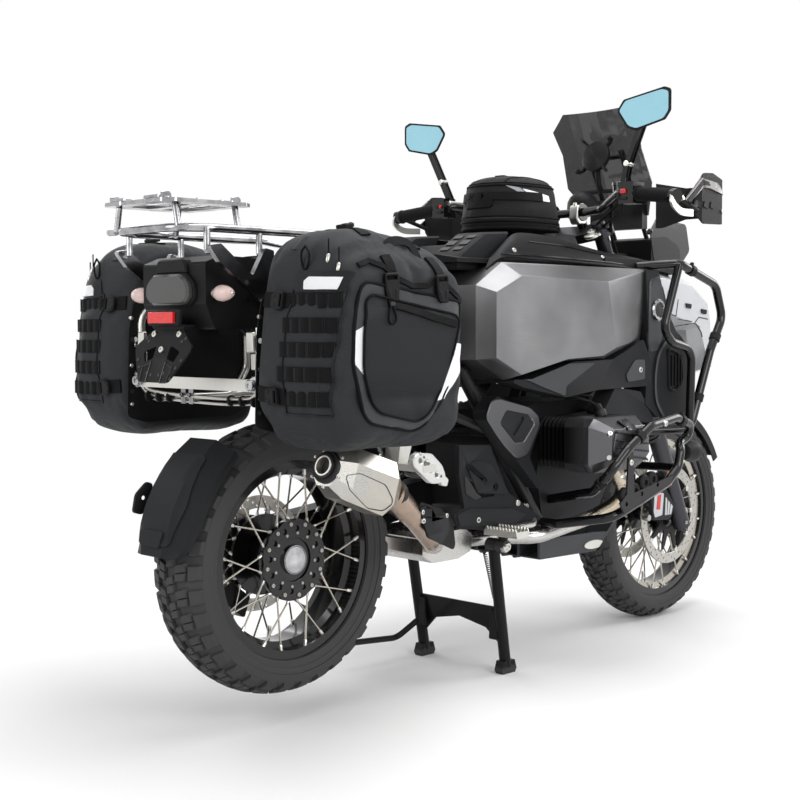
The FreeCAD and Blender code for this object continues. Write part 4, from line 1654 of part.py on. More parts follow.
def build():
    """All pieces by node name, each trimmed where its neighbours start."""
    well = fork_well()
    block = engine_block()
    barrels = cylinders()
    frame = join(main_frame(), side_stand_mount())
    frame = trim(frame, block)
    for side in (1, -1):
        pivot = side_point(STAND_PIVOT, side)
        reach = STAND_LUG_WIDTH
        sides = sorted((side * (STAND_PIVOT[1] - reach / 2 - SEAT_GAP), side * (STAND_PIVOT[1] + reach / 2 + SEAT_GAP)))
        frame = frame.cut(rod(vec(pivot.x, sides[0], pivot.z), vec(pivot.x, sides[1], pivot.z), STAND_LUG_RADIUS + MOVING_GAP))
        bore = sorted((side * STAND_PIVOT[1], side * (STAND_PIVOT[1] + reach * 3)))
        frame = frame.cut(rod(vec(pivot.x, bore[0], pivot.z), vec(pivot.x, bore[1], pivot.z), STAND_PIN + RUNNING_GAP))
    frame = tidy(frame)
    arm = trim(front_arm(), block, frame)
    drive = trim(swingarm(), block, frame)
    springs = trim(shocks(), block, frame, arm, drive)
    pipes = trim(exhaust(), block, barrels, frame)
    can = trim(silencer(), pipes)
    shield = trim(heat_shield(), pipes, can)
    guard = trim(sump_guard(), block, frame, pipes)
    tank = trim(fuel_tank(well), frame, springs)
    top = trim(tank_cover(well), tank, frame)
    fairings = trim(side_fairings(well), tank, top, frame, block, barrels)
    intakes = trim(intake_covers(), fairings, frame, block, barrels, arm)
    subframe = trim(rear_subframe(), frame, tank, springs)
    rider, pillion = seats()
    rider = trim(rider, frame, subframe, tank, top, springs)
    tail = trim(tail_unit(), subframe, rider)
    pillion = trim(pillion, subframe, tail, rider)
    lamp, reflector = tail_lamp()
    rack = trim(luggage_rack(), subframe, tail, pillion)
    lamps = trim(Part.makeCompound([lamp, reflector]), tail)
    blinkers = trim(indicators(), tail)
    carrier = trim(pannier_frame(), subframe, frame, tail, rack, pillion)
    left_bag = trim(pannier(1), carrier, rack)
    right_bag = trim(pannier(-1), carrier, rack, can)
    pegs, pillion_pegs = foot_pegs()
    covers = trim(side_covers(), frame, drive, block, barrels, pipes, subframe, tank, fairings, springs)
    pegs = trim(Part.makeCompound([pegs, pillion_pegs]), frame, subframe, covers, pipes, drive)
    low_bars = trim(lower_crash_bars(), block, frame, barrels, pipes, covers, guard)
    high_bars = trim(upper_crash_bars(), fairings, tank, top, frame, low_bars, block)
    nose = trim(beak(), fairings, high_bars)
    light = trim(headlamp(), nose)
    stays = trim(windshield_frame(), frame, light, nose, top)
    screens = trim(windshield(), stays, high_bars)
    splash = trim(splash_guard(), drive)
    legs = fork()
    fender = trim(front_fender(), legs)
    bars = trim(handlebar(), legs)
    guards = trim(handguards(), bars)
    glasses = trim(mirrors(), bars)
    return {
        "main_frame": frame, "rear_subframe": subframe, "engine_block": block, "cylinders": barrels,
        "valve_covers": valve_covers(), "skid_plate": guard, "exhaust": pipes, "silencer": can,
        "heat_shield": shield, "intake_covers": intakes,
        "swingarm": drive, "shocks": springs, "front_arm": arm, "fuel_tank": tank, "tank_cover": top,
        "side_fairings": fairings, "beak": nose, "headlamp": light, "windshield": screens,
        "windshield_frame": stays, "rider_seat": rider, "pillion_seat": pillion, "luggage_rack": rack,
        "tail_unit": tail, "tail_lamp": lamps, "indicators": blinkers, "pannier_frame": carrier,
        "pannier_left": left_bag, "pannier_right": right_bag, "tank_bag": tank_bag(),
        "splash_guard": splash, "foot_pegs": pegs, "side_covers": covers, "lower_crash_bars": low_bars,
        "upper_crash_bars": high_bars, "fork": legs, "front_fender": fender, "handlebar": bars,
        "handguards": guards, "mirrors": glasses,
        "front_tyre": tyre(FRONT_AXLE, FRONT_TYRE_RADIUS, FRONT_TYRE_HALF, FRONT_RIM_RADIUS, FRONT_RIM_HALF),
        "front_rim": front_rim(), "front_discs": front_discs(),
        "rear_tyre": tyre(REAR_AXLE, REAR_TYRE_RADIUS, REAR_TYRE_HALF, REAR_RIM_RADIUS, REAR_RIM_HALF),
        "rear_rim": rear_rim(), "rear_disc": brake_disc(REAR_AXLE, REAR_DISC_Y, REAR_DISC_RADIUS, REAR_DISC_SEAT),
        "center_stand": center_stand(), "side_stand": side_stand(),
    }


def main():
    os.makedirs("parts", exist_ok=True)
    pieces = build()
    shift = vec(-middle((RACK_X[0], WHEELBASE + FRONT_TYRE_RADIUS)), 0, 0)
    for node, shape in pieces.items():
        shape.translate(shift)
        shape.exportStep("parts/" + node + ".step")
        spans = shape.BoundBox
        print("%-18s solids %2d  volume %8.0f cm3  X %6.0f %6.0f  Y %5.0f %5.0f  Z %5.0f %5.0f  valid %s" % (
            node, len(shape.Solids), shape.Volume / 1000, spans.XMin, spans.XMax, spans.YMin, spans.YMax,
            spans.ZMin, spans.ZMax, shape.isValid()))
    print("shift", shift.x)


main()
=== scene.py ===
"""Looks of an adventure motorcycle on its centre stand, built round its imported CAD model.

Points are written as the CAD source writes them, in millimetres from under the rear axle,
and place() turns them into metres in the shared frame.
Outlines, paths and places in the classes' fields are in these millimetres, or in shares of a size.
The profiles of turned pieces are pairs of a place along the axis and a radius, in metres, and so
are the outlines of buckles, latches and keys.
"""

import logging
import math
from dataclasses import dataclass
from enum import Enum
from typing import Callable, Dict, Iterable, List, Optional, Sequence, Tuple, Union

import bmesh
import bpy
from mathutils import Matrix, Vector
from mathutils.bvhtree import BVHTree


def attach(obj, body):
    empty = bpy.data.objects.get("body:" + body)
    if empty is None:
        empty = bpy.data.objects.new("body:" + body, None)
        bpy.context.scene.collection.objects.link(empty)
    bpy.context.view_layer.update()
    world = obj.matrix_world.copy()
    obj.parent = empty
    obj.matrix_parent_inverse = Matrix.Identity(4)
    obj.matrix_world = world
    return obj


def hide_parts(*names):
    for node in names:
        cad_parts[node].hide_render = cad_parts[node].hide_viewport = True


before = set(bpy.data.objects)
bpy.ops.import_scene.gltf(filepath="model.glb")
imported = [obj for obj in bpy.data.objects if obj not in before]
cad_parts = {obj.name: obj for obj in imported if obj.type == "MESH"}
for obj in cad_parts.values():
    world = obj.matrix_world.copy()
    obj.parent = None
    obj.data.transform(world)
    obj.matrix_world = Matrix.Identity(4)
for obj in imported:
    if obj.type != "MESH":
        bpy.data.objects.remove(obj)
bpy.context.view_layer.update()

LOG = logging.getLogger("motorcycle")
MM = 0.001
AXLE_BACK = 733.5
REAR_AXLE = (0.0, 371.6)
FRONT_AXLE = (1534.0, 325.0)
RAKE = math.radians(26.2)
STEER_FOOT_X = 1653.0
UP = Vector((0, 0, 1))
LEFT = Vector((0, 1, 0))
AHEAD = Vector((1, 0, 0))

Color = Tuple[float, float, float]
Pair = Tuple[float, float]
Triple = Tuple[float, float, float]


def place(x: float, y: float, z: float) -> Vector:
    """Point in metres in the shared frame, from millimetres behind or ahead of the rear axle."""
    return Vector(((x - AXLE_BACK) * MM, y * MM, z * MM))


def places(points: Iterable[Triple]) -> List[Vector]:
    """The same for a list of points."""
    return [place(*p) for p in points]


def steer(along: float, y: float, ahead: float = 0.0) -> Vector:
    """Point along the steering axis, to the left of it and ahead of it, in millimetres."""
    x = STEER_FOOT_X - math.sin(RAKE) * along + math.cos(RAKE) * ahead
    return place(x, y, math.cos(RAKE) * along + math.sin(RAKE) * ahead)


def both(points: Iterable[Triple]) -> List[List[Triple]]:
    """A list of points and its mirror image on the other side."""
    left = list(points)
    return [left, [(x, -y, z) for x, y, z in left]]


# Shader graphs

class Wire:
    """A value on a shader socket; maths written on it adds the nodes."""

    def __init__(self, graph: "Graph", socket: bpy.types.NodeSocket) -> None:
        """Keep the graph and the socket."""
        self.graph = graph
        self.socket = socket

    def _math(self, operation: str, *values: "Feed", clamp: bool = False) -> "Wire":
        """One Math node on these values."""
        settings = {"operation": operation, "use_clamp": clamp}
        return self.graph.node("ShaderNodeMath", settings, dict(enumerate(values)))

    def __add__(self, other: "Feed") -> "Wire":
        """Sum."""
        return self._math("ADD", self, other)

    __radd__ = __add__

    def __sub__(self, other: "Feed") -> "Wire":
        """Difference."""
        return self._math("SUBTRACT", self, other)

    def __rsub__(self, other: "Feed") -> "Wire":
        """Difference from a number."""
        return self._math("SUBTRACT", other, self)

    def __mul__(self, other: "Feed") -> "Wire":
        """Product."""
        return self._math("MULTIPLY", self, other)

    __rmul__ = __mul__

    def __truediv__(self, other: "Feed") -> "Wire":
        """Quotient."""
        return self._math("DIVIDE", self, other)

    def __pow__(self, other: "Feed") -> "Wire":
        """Power."""
        return self._math("POWER", self, other)

    def __abs__(self) -> "Wire":
        """Size without sign."""
        return self._math("ABSOLUTE", self)

    def sine(self) -> "Wire":
        """Sine of the value."""
        return self._math("SINE", self)

    def above(self, edge: "Feed", width: float) -> "Wire":
        """Mask from 0 to 1 as the value rises past an edge over a width."""
        return ((self - edge) / width)._math("ADD", (self - edge) / width, 0.5, clamp=True)


Feed = Union[Wire, float, int, Sequence[float]]


class Graph:
    """Node tree of one material, with its shader ready to feed."""

    def __init__(self, material: bpy.types.Material) -> None:
        """Empty the tree and add the shader.

        Args:
            material: the material that the nodes belong to.
        """
        material.use_nodes = True
        self.tree = material.node_tree
        self.tree.nodes.clear()
        self.shader = self.tree.nodes.new("ShaderNodeBsdfPrincipled")
        output = self.tree.nodes.new("ShaderNodeOutputMaterial")
        self.tree.links.new(self.shader.outputs[0], output.inputs[0])

    def node(
        self, kind: str, settings: Dict, feeds: Dict[Union[int, str], Feed], out: Union[int, str] = 0
    ) -> Wire:
        """Add one node of any kind.

        Args:
            kind: the node's type.
            settings: its own settings; "stops" are a ramp's (position, grey or colour) pairs.
            feeds: values or wires for its inputs, by index or name.
            out: the output to give back.

        Returns:
            The chosen output.
        """
        made = self.tree.nodes.new(kind)
        for key, value in settings.items():
            if key == "stops":
                self._set_stops(made.color_ramp, value)
            else:
                setattr(made, key, value)
        for key, value in feeds.items():
            self.feed(made.inputs[key], value)
        return Wire(self, made.outputs[out])

    @staticmethod
    def _set_stops(ramp: bpy.types.ColorRamp, stops: Sequence[Tuple[float, Feed]]) -> None:
        """Give a ramp its stops.

        Args:
            ramp: the colour ramp.
            stops: (position, grey or colour) pairs.
        """
        while len(ramp.elements) < len(stops):
            ramp.elements.new(1.0)
        for element, (position, value) in zip(ramp.elements, stops):
            element.position = position
            grey = isinstance(value, (int, float))
            element.color = (value, value, value, 1.0) if grey else (*value, 1.0)

    def feed(self, socket: bpy.types.NodeSocket, value: Feed) -> None:
        """Link a wire to a socket, or set its value.

        Args:
            socket: the input.
            value: a wire, a number or a colour.
        """
        if isinstance(value, Wire):
            self.tree.links.new(value.socket, socket)
        elif isinstance(value, (int, float)):
            socket.default_value = value
        else:
            wide = len(socket.default_value)
            socket.default_value = (*value, 1.0)[:wide] if wide > len(value) else tuple(value)

    def set(self, **values: Feed) -> None:
        """Feed the shader; names have underscores for spaces and are in title case."""
        for name, value in values.items():
            self.feed(self.shader.inputs[name.replace("_", " ")], value)

    def where(self) -> Wire:
        """Place on the piece, in metres in the shared frame."""
        return self.node("ShaderNodeTexCoord", {}, {}, "Object")

    def axis(self, spot: Wire) -> List[Wire]:
        """The three coordinates of a place."""
        split = self.node("ShaderNodeSeparateXYZ", {}, {0: spot})
        return [Wire(self, o) for o in split.socket.node.outputs]

    def stretched(self, scale: Triple) -> Wire:
        """Place with each axis scaled, for streaks."""
        return self.node("ShaderNodeVectorMath", {"operation": "MULTIPLY"}, {0: self.where(), 1: scale})

    def noise(self, size: float, spot: Optional[Wire] = None, detail: float = 3.0) -> Wire:
        """Noise from 0 to 1 with blotches of a size in metres."""
        feeds = {"Vector": spot or self.where(), "Scale": 1 / size, "Detail": detail}
        return self.node("ShaderNodeTexNoise", {}, feeds)

    def cells(self, size: float, feature: str = "F1", spot: Optional[Wire] = None) -> Wire:
        """Distance pattern of cells of a size in metres."""
        return self.node(
            "ShaderNodeTexVoronoi", {"feature": feature}, {"Vector": spot or self.where(), "Scale": 1 / size}
        )

    def mix(self, factor: Feed, first: Feed, second: Feed) -> Wire:
        """Colour between two colours."""
        return self.node("ShaderNodeMix", {"data_type": "RGBA"}, {0: factor, 6: first, 7: second}, 2)

    def bump(self, height: Wire, depth: float, strength: float = 1.0) -> None:
        """Feed the shader's normal from a height pattern whose full depth is in metres."""
        feeds = {"Strength": strength, "Distance": depth, "Height": height}
        self.set(Normal=self.node("ShaderNodeBump", {}, feeds, "Normal"))

    def edges(self, width: float = 0.06) -> Wire:
        """Mask of the outer edges, where paint wears."""
        return self.node("ShaderNodeNewGeometry", {}, {}, "Pointiness").above(0.5 + width, width)


def shade(color: Color, share: float) -> Color:
    """A colour made darker or lighter by a share."""
    return tuple(min(1.0, c * share) for c in color)


@dataclass(frozen=True)
class Finish:
    """A surface finish; each kind fills in its own graph."""

    name: str
    color: Color
    roughness: float = 0.5
    metallic: float = 0.0
    coat: float = 0.0

    @property
    def gloss(self) -> float:
        """Strength of the plain reflection; soft surfaces have little."""
        return 0.1 if self.metallic < 0.45 and self.roughness > 0.38 else 0.25

    def material(self) -> bpy.types.Material:
        """The finish's material, made on first use.

        Returns:
            The material.
        """
        found = bpy.data.materials.get(self.name)
        if found:
            return found
        made = bpy.data.materials.new(self.name)
        graph = Graph(made)
        graph.set(
            Metallic=self.metallic, Coat_Weight=self.coat, Coat_Roughness=0.08, Specular_IOR_Level=self.gloss
        )
        self.fill(graph)
        return made

    def fill(self, graph: Graph) -> None:
        """Feed the shader."""
        raise NotImplementedError


@dataclass(frozen=True)
class Coated(Finish):
    """Paint, powder coat or moulded plastic: fine grain, cloudy tone and paler edges."""

    grain: float = 0.0008
    depth: float = 0.00008
    tone: float = 0.8
    worn: float = 0.25

    def fill(self, graph: Graph) -> None:
        """Feed the shader.

        Args:
            graph: the material's nodes.
        """
        cloud = graph.noise(0.12)
        base = graph.mix(cloud, shade(self.color, self.tone), shade(self.color, 2 - self.tone))
        pale = tuple(min(1.0, c + self.worn * 0.5) for c in self.color)
        graph.set(Base_Color=graph.mix(graph.edges() * self.worn, base, pale))
        speck = graph.noise(self.grain, detail=2.0)
        graph.set(Roughness=self.roughness + (cloud - 0.5) * 0.12 + (speck - 0.5) * 0.1)
        graph.bump(speck, self.depth)


@dataclass(frozen=True)
class Brushed(Finish):
    """Metal brushed along one axis, with long streaks and a cloudy mottle; a dark tint makes the mottle
    painted reflection.
    """

    along: int = 0
    streak: float = 0.0006
    depth: float = 0.00005
    # The tint colours the cloudy patches: a dark tint makes them painted reflection, a warm one a tone of the
    # steel. Patch is their size in metres.
    tone_and_reflection_tint: Color = (1.0, 1.0, 1.0)
    patch: float = 0.16

    def fill(self, graph: Graph) -> None:
        """Feed the shader.

        Args:
            graph: the material's nodes.
        """
        scale = tuple(0.02 if i == self.along else 1.0 for i in range(3))
        streaks = graph.noise(self.streak, graph.stretched(scale), 4.0)
        # Large cloudy patches, painted reflection where the tint is dark; they also vary the roughness.
        cloud = (graph.noise(self.patch) - 0.5) * 2.6 + 0.5
        base = graph.mix(streaks, shade(self.color, 0.78), shade(self.color, 1.12))
        graph.set(Base_Color=graph.mix(cloud, base, tuple(c * t for c, t in zip(self.color, self.tone_and_reflection_tint))))
        graph.set(Roughness=self.roughness + (streaks - 0.5) * 0.16 + (cloud - 0.5) * 0.1)
        graph.bump(streaks, self.depth)


@dataclass(frozen=True)
class HeatTinted(Finish):
    """Bright pipe that heat has turned golden near the engine and bronze towards the silencer."""

    head: Pair = (0.12, 0.3)
    cone: Pair = (-0.42, -0.34)

    def fill(self, graph: Graph) -> None:
        """Feed the shader.

        Args:
            graph: the material's nodes.
        """
        x, _, _ = graph.axis(graph.where())
        cloud = graph.noise(0.03)
        near_head = x.above(sum(self.head) / 2, self.head[1] - self.head[0])
        near_can = 1 - x.above(sum(self.cone) / 2, self.cone[1] - self.cone[0])
        base = graph.mix(cloud, shade(self.color, 0.85), shade(self.color, 1.1))
        gold = graph.mix(cloud, (0.45, 0.3, 0.12), (0.62, 0.47, 0.24))
        bronze = graph.mix(cloud, (0.3, 0.2, 0.14), (0.42, 0.3, 0.22))
        graph.set(Base_Color=graph.mix(near_can * 0.85, graph.mix(near_head * 0.8, base, gold), bronze))
        graph.set(Roughness=self.roughness + (cloud - 0.5) * 0.16)
        graph.bump(graph.noise(0.001), 0.00002)


@dataclass(frozen=True)
class Woven(Finish):
    """Coated or plain woven cloth: crossed threads on every face, with soft mottling."""

    thread: float = 0.0011
    depth: float = 0.0002
    second: float = 1.5
    sheen: float = 0.02

    def fill(self, graph: Graph) -> None:
        """Feed the shader.

        Args:
            graph: the material's nodes.
        """
        turn = 2 * math.pi / (self.thread * 2)
        waves = [(c * turn).sine() for c in graph.axis(graph.where())]
        weave = (waves[0] * waves[1] + waves[1] * waves[2] + waves[2] * waves[0]) * 0.5 + 0.5
        cloud = graph.noise(0.07, detail=4.0)
        base = graph.mix(weave, shade(self.color, 0.75), shade(self.color, self.second))
        graph.set(Base_Color=graph.mix(cloud * 0.5, base, shade(self.color, 1.3)), Sheen_Weight=self.sheen)
        graph.set(Roughness=self.roughness + (cloud - 0.5) * 0.2)
        graph.bump(weave + cloud * 2.0, self.depth)


@dataclass(frozen=True)
class Grained(Finish):
    """Vinyl, leather or rubber with a pebbled grain."""

    pebble: float = 0.0016
    depth: float = 0.00025

    def fill(self, graph: Graph) -> None:
        """Feed the shader.

        Args:
            graph: the material's nodes.
        """
        cell = graph.cells(self.pebble)
        cloud = graph.noise(0.05, detail=4.0)
        graph.set(Base_Color=graph.mix(cloud, shade(self.color, 0.7), shade(self.color, 1.35)))
        graph.set(Roughness=self.roughness + (cloud - 0.5) * 0.22 + cell * 0.08)
        graph.bump(1 - cell, self.depth)


@dataclass(frozen=True)
class Clear(Finish):
    """Tinted clear sheet or lens with faint dust."""

    alpha: float = 0.5
    ripple: float = 0.0

    def fill(self, graph: Graph) -> None:
        """Feed the shader.

        Args:
            graph: the material's nodes.
        """
        dust = graph.noise(0.03, detail=5.0)
        graph.set(Base_Color=graph.mix(dust * 0.3, self.color, shade(self.color, 1.4)))
        graph.set(Roughness=self.roughness + dust * 0.06, Alpha=self.alpha + (dust - 0.5) * 0.05)
        if self.ripple:
            graph.bump(graph.cells(self.ripple), self.ripple * 0.3)


@dataclass(frozen=True)
class SpokedRim(Finish):
    """Black rim and hub with bright spokes between two radii about the axle."""

    axle: Pair = (0.0, 0.0)
    spokes: Triple = (0.1, 0.2, 0.21)
    flange: float = 0.03
    bright: Color = (0.5, 0.47, 0.41)

    def fill(self, graph: Graph) -> None:
        """Feed the shader.

        Args:
            graph: the material's nodes.
        """
        x, y, z = graph.axis(graph.where())
        centre = place(self.axle[0], 0, self.axle[1])
        radius = ((x - centre.x) ** 2.0 + (z - centre.z) ** 2.0) ** 0.5
        inside, outside = self.spokes[1:]
        limit = abs(y).above(self.flange, 0.001) * (outside - inside) + inside
        mask = radius.above(self.spokes[0], 0.001) * (1 - radius.above(limit, 0.001))
        cloud = graph.noise(0.03)
        dark = graph.mix(cloud, shade(self.color, 0.7), shade(self.color, 1.4))
        pale = graph.mix(cloud, shade(self.bright, 0.8), self.bright)
        graph.set(Base_Color=graph.mix(mask, dark, pale), Metallic=0.35 + mask * 0.6)
        graph.set(Roughness=self.roughness + mask * 0.06 + (cloud - 0.5) * 0.1)
        graph.bump(graph.noise(0.0012), 0.00004)


# Meshes

class Form:
    """Points and faces of a mesh in the making, in metres in the shared frame."""

    def __init__(self, points: Iterable[Vector] = (), faces: Iterable[Tuple[int, ...]] = ()) -> None:
        """Keep the points and faces."""
        self.points = list(points)
        self.faces = list(faces)

    def add(self, *others: "Form") -> "Form":
        """Take in other forms and give back this one.

        Args:
            *others: the forms.

        Returns:
            This form.
        """
        for other in others:
            start = len(self.points)
            self.points += other.points
            self.faces += [tuple(i + start for i in f) for f in other.faces]
        return self

    def moved(self, matrix: Matrix) -> "Form":
        """A copy moved by a matrix."""
        return Form([matrix @ p for p in self.points], self.faces)

    def mirrored(self) -> "Form":
        """A copy on the other side of the machine."""
        return Form([Vector((p.x, -p.y, p.z)) for p in self.points], [tuple(reversed(f)) for f in self.faces])

    def paired(self) -> "Form":
        """This form and its mirror image in one."""
        return Form(self.points, self.faces).add(self.mirrored())


def loft(rings: Sequence[Sequence[Vector]], closed: bool = True, caps: bool = True) -> Form:
    """Skin over rings of as many points.

    Args:
        rings: the rings in order.
        closed: whether each ring's end joins its start.
        caps: whether the first and last ring are filled.

    Returns:
        The form.
    """
    count = len(rings[0])
    faces = []
    for r in range(len(rings) - 1):
        for i in range(count if closed else count - 1):
            a, b = r * count + i, r * count + (i + 1) % count
            faces.append((a, b, b + count, a + count))
    if caps:
        last = (len(rings) - 1) * count
        faces += [tuple(reversed(range(count))), tuple(range(last, last + count))]
    return Form([p for ring in rings for p in ring], faces)


def rounded(points: Sequence[Vector], reach: float, closed: bool = False, steps: int = 5) -> List[Vector]:
    """A line whose corners are rounded over a reach in metres.

    Args:
        points: the line's points.
        reach: how far from a corner the rounding starts, in metres.
        closed: whether the line's end joins its start.
        steps: stretches in each rounding.

    Returns:
        The new line.
    """
    made = []
    count = len(points)
    for i, p in enumerate(points):
        if not closed and i in (0, count - 1):
            made.append(p)
            continue
        back, ahead = points[i - 1] - p, points[(i + 1) % count] - p
        room = min(reach, back.length * 0.48, ahead.length * 0.48)
        start, end = p + back.normalized() * room, p + ahead.normalized() * room
        for k in range(steps + 1):
            t = k / steps
            made.append(start * (1 - t) ** 2 + p * (2 * t * (1 - t)) + end * t ** 2)
    return made


def flowing(points: Sequence[Vector], steps: int = 6) -> List[Vector]:
    """A smooth line through points.

    Args:
        points: the points.
        steps: stretches between two points.

    Returns:
        The new line.
    """
    ends = [points[0] * 2 - points[1], *points, points[-1] * 2 - points[-2]]
    made = []
    for a, b, c, d in zip(ends, ends[1:], ends[2:], ends[3:]):
        for k in range(steps):
            t = k / steps
            made.append((b * 2 + (c - a) * t + (a * 2 - b * 5 + c * 4 - d) * t ** 2
                         + (b * 3 - a - c * 3 + d) * t ** 3) * 0.5)
    return made + [points[-1]]


def along_path(
    points: Sequence[Vector], section: Callable[[float], Sequence[Pair]], normal: Optional[Vector] = None,
    closed: bool = False
) -> Form:
    """Sweep a section along a line.

    Args:
        points: the line.
        section: the section's (side, up) points in metres, for a share of the line.
        normal: a direction that the section's up stays near; without it, it turns little.
        closed: whether the line's end joins its start.

    Returns:
        The form.
    """
    count = len(points)
    rings = []
    up = None
    for i, p in enumerate(points):
        before = points[i - 1] if i or closed else p
        after = points[(i + 1) % count] if i < count - 1 or closed else p
        run = (after - before).normalized()
        if normal is not None:
            up = normal - run * normal.dot(run)
        elif up is None:
            up = run.orthogonal()
        else:
            up = up - run * up.dot(run)
        up.normalize()
        side = run.cross(up)
        rings.append([p + side * u + up * w for u, w in section(i / max(1, count - 1))])
    if closed:
        return loft(rings + rings[:1], caps=False)
    return loft(rings)


def circle(radius: float, sides: int) -> List[Pair]:
    """Points of a round section."""
    return [
        (radius * math.cos(2 * math.pi * k / sides), radius * math.sin(2 * math.pi * k / sides))
        for k in range(sides)
    ]


def tube(points: Sequence[Vector], radius: float, sides: int = 14, closed: bool = False) -> Form:
    """Round tube along a line; the radius is in metres."""
    ring = circle(radius, sides)
    return along_path(points, lambda share: ring, closed=closed)


def turned(start: Vector, end: Vector, profile: Sequence[Pair], sides: int = 28) -> Form:
    """Turned piece about the line from start to end.

    Args:
        start: where the line starts.
        end: where it ends.
        profile: (place along, radius) in metres, from the start.
        sides: points round the piece.

    Returns:
        The form.
    """
    run = (end - start).normalized()
    up = run.orthogonal().normalized()
    side = run.cross(up)
    rings = []
    for at, radius in profile:
        rings.append([start + run * at + side * u + up * w for u, w in circle(max(radius, 1e-5), sides)])
    return loft(rings)


def bolt(at: Vector, out: Vector, radius: float, high: float, sides: int = 6) -> Form:
    """Screw head with a socket, standing on a surface."""
    profile = [
        (-high, radius), (high * 0.7, radius), (high, radius * 0.85), (high, radius * 0.45),
        (high * 0.4, radius * 0.4)
    ]
    return turned(at, at + out, profile, sides)


def spot_of(origin: Vector, across: Vector, out: Vector) -> Matrix:
    """Matrix whose X runs across, whose Z points out of a surface.

    Args:
        origin: its middle.
        across: where X points, roughly.
        out: where Z points.

    Returns:
        The matrix.
    """
    out = out.normalized()
    across = (across - out * across.dot(out)).normalized()
    rows = (across, out.cross(across), out)
    turn = Matrix(rows).transposed().to_4x4()
    return Matrix.Translation(origin) @ turn


def plate(outline: Sequence[Pair], thick: float, spot: Matrix, holes: Sequence[Sequence[Pair]] = (),
          chamfer: float = 0.0) -> Form:
    """Flat plate with holes and chamfered edges.

    Args:
        outline: the edge's points in the spot's own plane, in metres.
        thick: thickness in metres, half on each side of the plane.
        spot: where the plate lies.
        holes: outlines of the holes.
        chamfer: width of the edge's chamfer.

    Returns:
        The form.
    """
    curve = bpy.data.curves.new("plate", "CURVE")
    curve.dimensions = "2D"
    curve.fill_mode = "BOTH"
    curve.extrude = max(thick / 2 - chamfer, 0.00005)
    curve.bevel_depth = chamfer
    curve.bevel_resolution = 0
    curve.offset = -chamfer
    for ring in (outline, *holes):
        spline = curve.splines.new("POLY")
        spline.points.add(len(ring) - 1)
        for point, (u, v) in zip(spline.points, ring):
            point.co = (u, v, 0.0, 1.0)
        spline.use_cyclic_u = True
    holder = bpy.data.objects.new("plate", curve)
    mesh = bpy.data.meshes.new_from_object(holder)
    form = Form([spot @ v.co for v in mesh.vertices], [tuple(p.vertices) for p in mesh.polygons])
    bpy.data.objects.remove(holder)
    bpy.data.curves.remove(curve)
    bpy.data.meshes.remove(mesh)
    return form


def box(half_wide: float, half_high: float) -> List[Pair]:
    """Rectangle about the middle of a plane."""
    return [
        (-half_wide, -half_high), (half_wide, -half_high), (half_wide, half_high), (-half_wide, half_high)
    ]


def strip(half: float, low: float, top_half: Optional[float] = None,
          high: Optional[float] = None) -> Callable[[float], List[Pair]]:
    """Section of a flat strip, to sweep along a line.

    Args:
        half: half its width at the bottom.
        low: how far the bottom lies under the line.
        top_half: half its width at the top, if not the same.
        high: how far the top lies over the line, if not the same.

    Returns:
        The section, which is the same all along.
    """
    wide, rise = top_half or half, high or low
    section = [(-half, -low), (half, -low), (wide, rise), (-wide, rise)]
    return lambda share: section


def slab(outline: Sequence[Vector], out: Vector) -> Form:
    """Outline raised off a surface."""
    return loft([outline, [p + out for p in outline]])


def patch_of(at: Vector, across: Vector, along: Vector) -> List[Vector]:
    """Corners of a small rectangle about a point."""
    return [at - across - along, at - across + along, at + across + along, at + across - along]


def ring_of(centre: Pair, radius: float, sides: int = 16) -> List[Pair]:
    """Round outline about a centre in a plane."""
    return [(centre[0] + u, centre[1] + v) for u, v in circle(radius, sides)]


def slot_of(start: Pair, end: Pair, radius: float, steps: int = 6) -> List[Pair]:
    """Outline of a slot with round ends.

    Args:
        start: centre of one end.
        end: centre of the other.
        radius: half the slot's width.
        steps: stretches in each end.

    Returns:
        The outline.
    """
    angle = math.atan2(end[1] - start[1], end[0] - start[0])
    made = []
    for centre, turn in ((end, angle - math.pi / 2), (start, angle + math.pi / 2)):
        for k in range(steps + 1):
            a = turn + math.pi * k / steps
            made.append((centre[0] + radius * math.cos(a), centre[1] + radius * math.sin(a)))
    return made


def soft_corners(outline: Sequence[Pair], reach: float, steps: int = 4) -> List[Pair]:
    """Outline in a plane with its corners rounded."""
    line = rounded([Vector((u, v, 0)) for u, v in outline], reach, True, steps)
    return [(p.x, p.y) for p in line]


